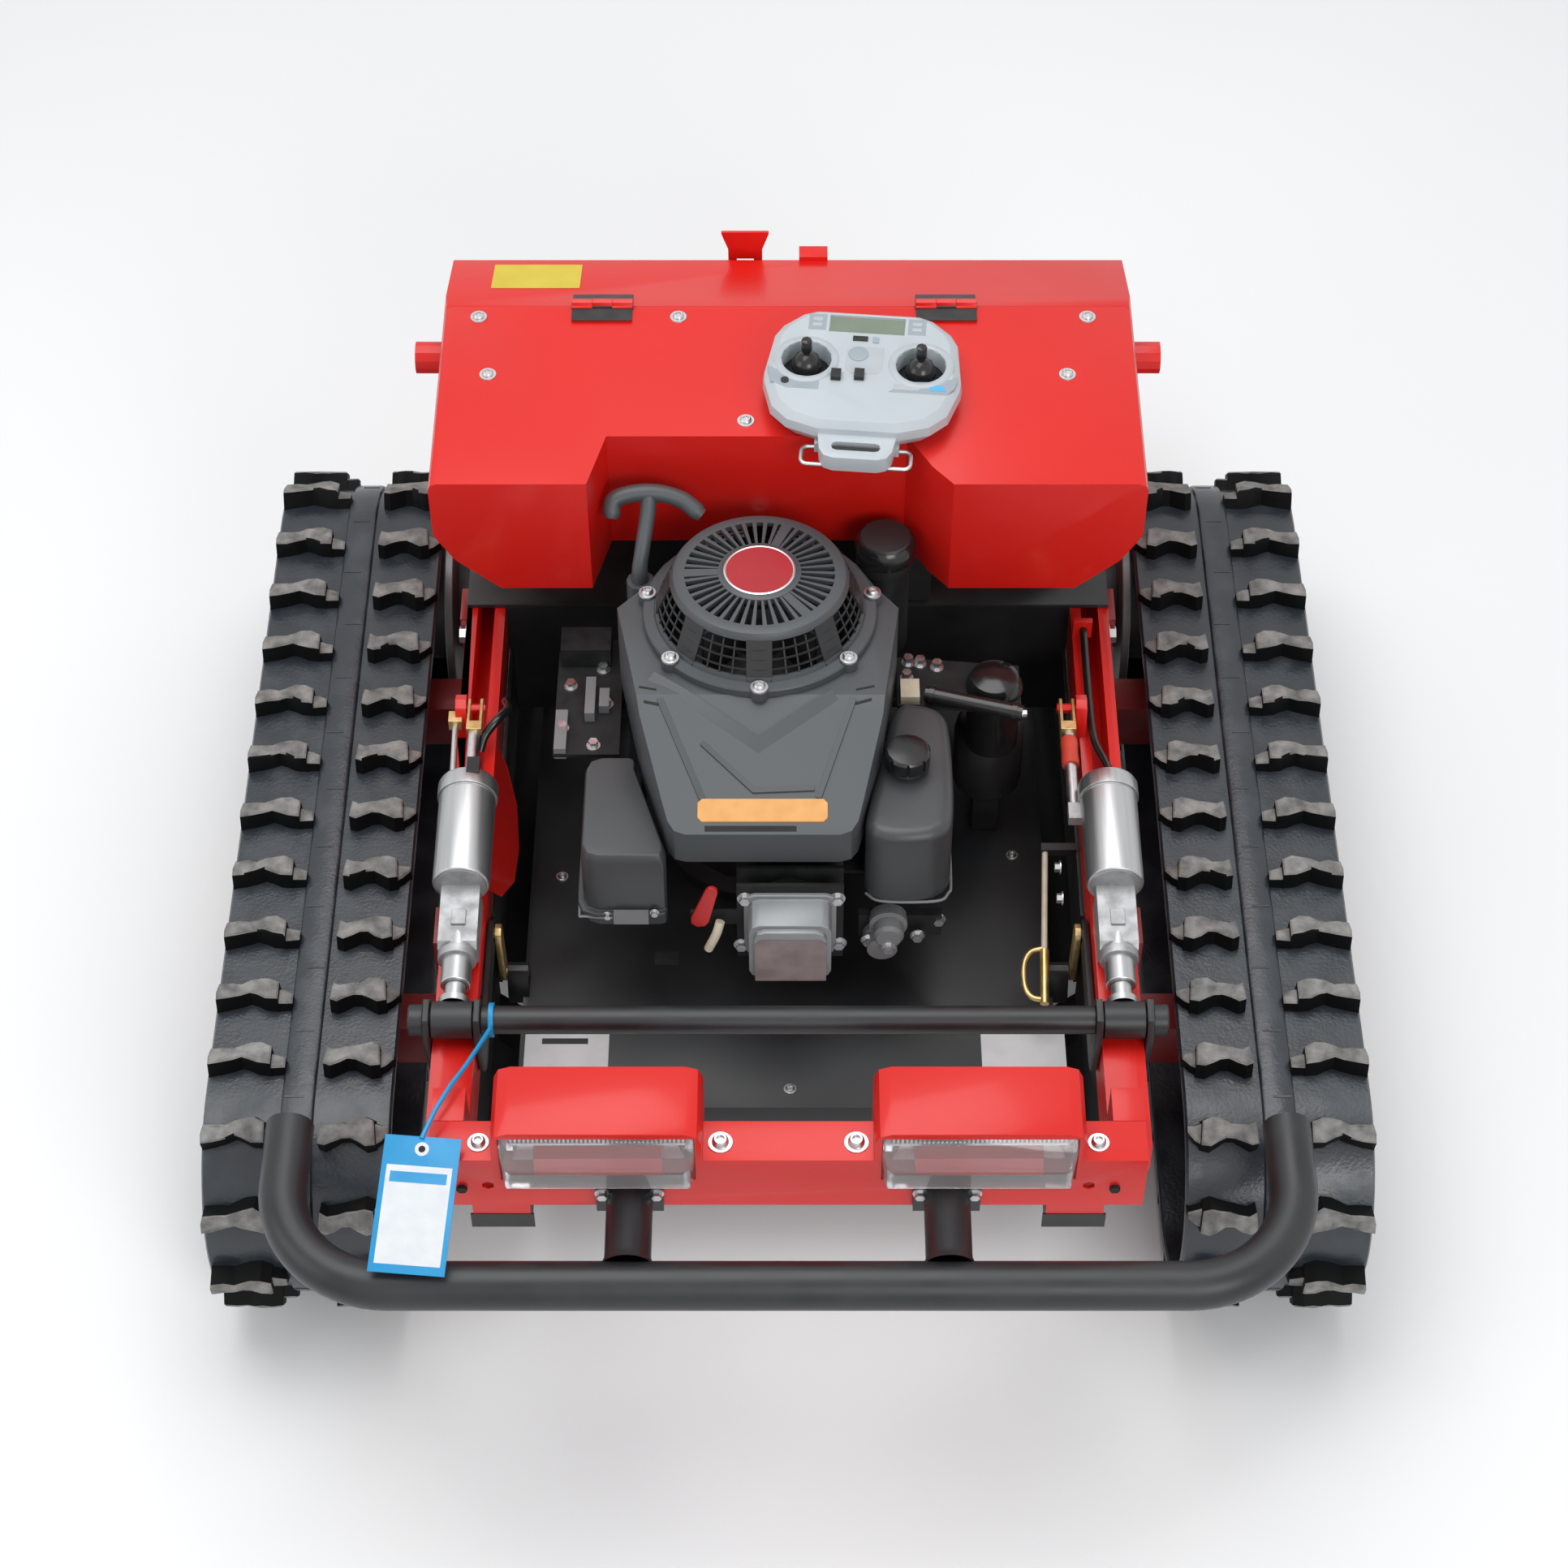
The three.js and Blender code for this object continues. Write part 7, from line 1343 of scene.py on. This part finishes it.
panel_grey = Finish("control_panel_grey", (0.33, 0.38, 0.42), 0.35)
panel_grey.weathered((0.28, 0.33, 0.37), 60, 0.5)
ring_grey = Finish("well_ring_grey", (0.46, 0.5, 0.53), 0.3)
ring_grey.weathered((0.4, 0.44, 0.47), 60, 0.5)
display = Finish("display_green_grey", (0.2, 0.25, 0.19), 0.25)
display.weathered((0.16, 0.2, 0.15), 24, 0.6, 0.05)
cyan_patch = Finish("cyan_patch", (0.1, 0.45, 0.8), 0.35)
cyan_patch.weathered((0.08, 0.38, 0.7), 60, 0.5)

controls = bmesh.new()
sheet_cut(controls, oblong(-37.5, 56.5, 37.5, 79.5), 33, 34.6, finish=2)
for sign in sides.values():
    sheet_cut(controls, oblong(sign * 41, 57, sign * 59, 80), case_face, panel_top)
    for row in (62, 70):
        sheet_cut(controls, oblong(sign * 45, row, sign * 55, row + 5), 36, 37, finish=1)
    lathe(controls, "z", well_ring, (sign * well_x, well_y, 0), 48, 1)
    lathe(controls, "z", well_cone, (sign * well_x, well_y, 0), 32, 3)
sheet_cut(controls, centre_panel, case_face, 36.6, finish=1)
lathe(controls, "z", [(10, 36), (10, 37.4), (8.5, 37.8), (0, 37.8)], (-6, 25, 0), 32)
for x, y in ((-26, -8), (-3, -6)):
    block(controls, (x - 5, y - 6, case_face), (x + 5, y + 6, 42), 3)
block(controls, (-13, 44, case_face), (2, 50, 38), 3)
block(controls, (7, 42, case_face), (13, 50, 37.4))
sheet_cut(controls, left_panel, case_face, panel_top)
sheet_cut(controls, right_panel, case_face, panel_top)
lathe(controls, "z", [(4, 36), (4, 38), (0, 38)], (-76, -18, 0), 20, 3)
sheet_cut(controls, [(66, -11), (80, -13), (84, -21), (68, -21)], 36, 36.9, finish=4)
sheet_cut(controls, [(32, -14), (56, -14), (60, -18), (56, -22), (32, -22)], 36, 36.9, finish=1)
sheet_cut(controls, oblong(-24, -96, 24, -90), 20, 21, finish=3)
control_finishes = [panel_grey, ring_grey, display, gloss_plastic, cyan_patch]
settled(controls, "transmitter_controls", "transmitter", control_finishes, place=hand_place, edge=0.3)
for side in sides:
    dressed(f"stick_{side}", gloss_plastic, 0.4, sharp=50)

bail = bmesh.new()
right_half = [(bail_half, bail_reach), (bail_half, -74), (bail_half - 12, -74)]
bail_route = [(-x, y, bail_z) for x, y in right_half[::-1]] + [(x, y, bail_z) for x, y in right_half]
bent_pipe(bail, bail_route, bail_radius, 7, 16, 6)
settled(bail, "bail_wire", "transmitter_bail", bright_steel, "transmitter_bail", place=hand_place, sharp=50)

# Blade and spindle: a ground steel bar under the deck, bolted to the turned hub of the engine's
# shaft. Both are left bright.
dressed("blade", bright_steel, 0.4)
dressed("blade_spindle", bright_steel, 0.8)

low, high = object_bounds()
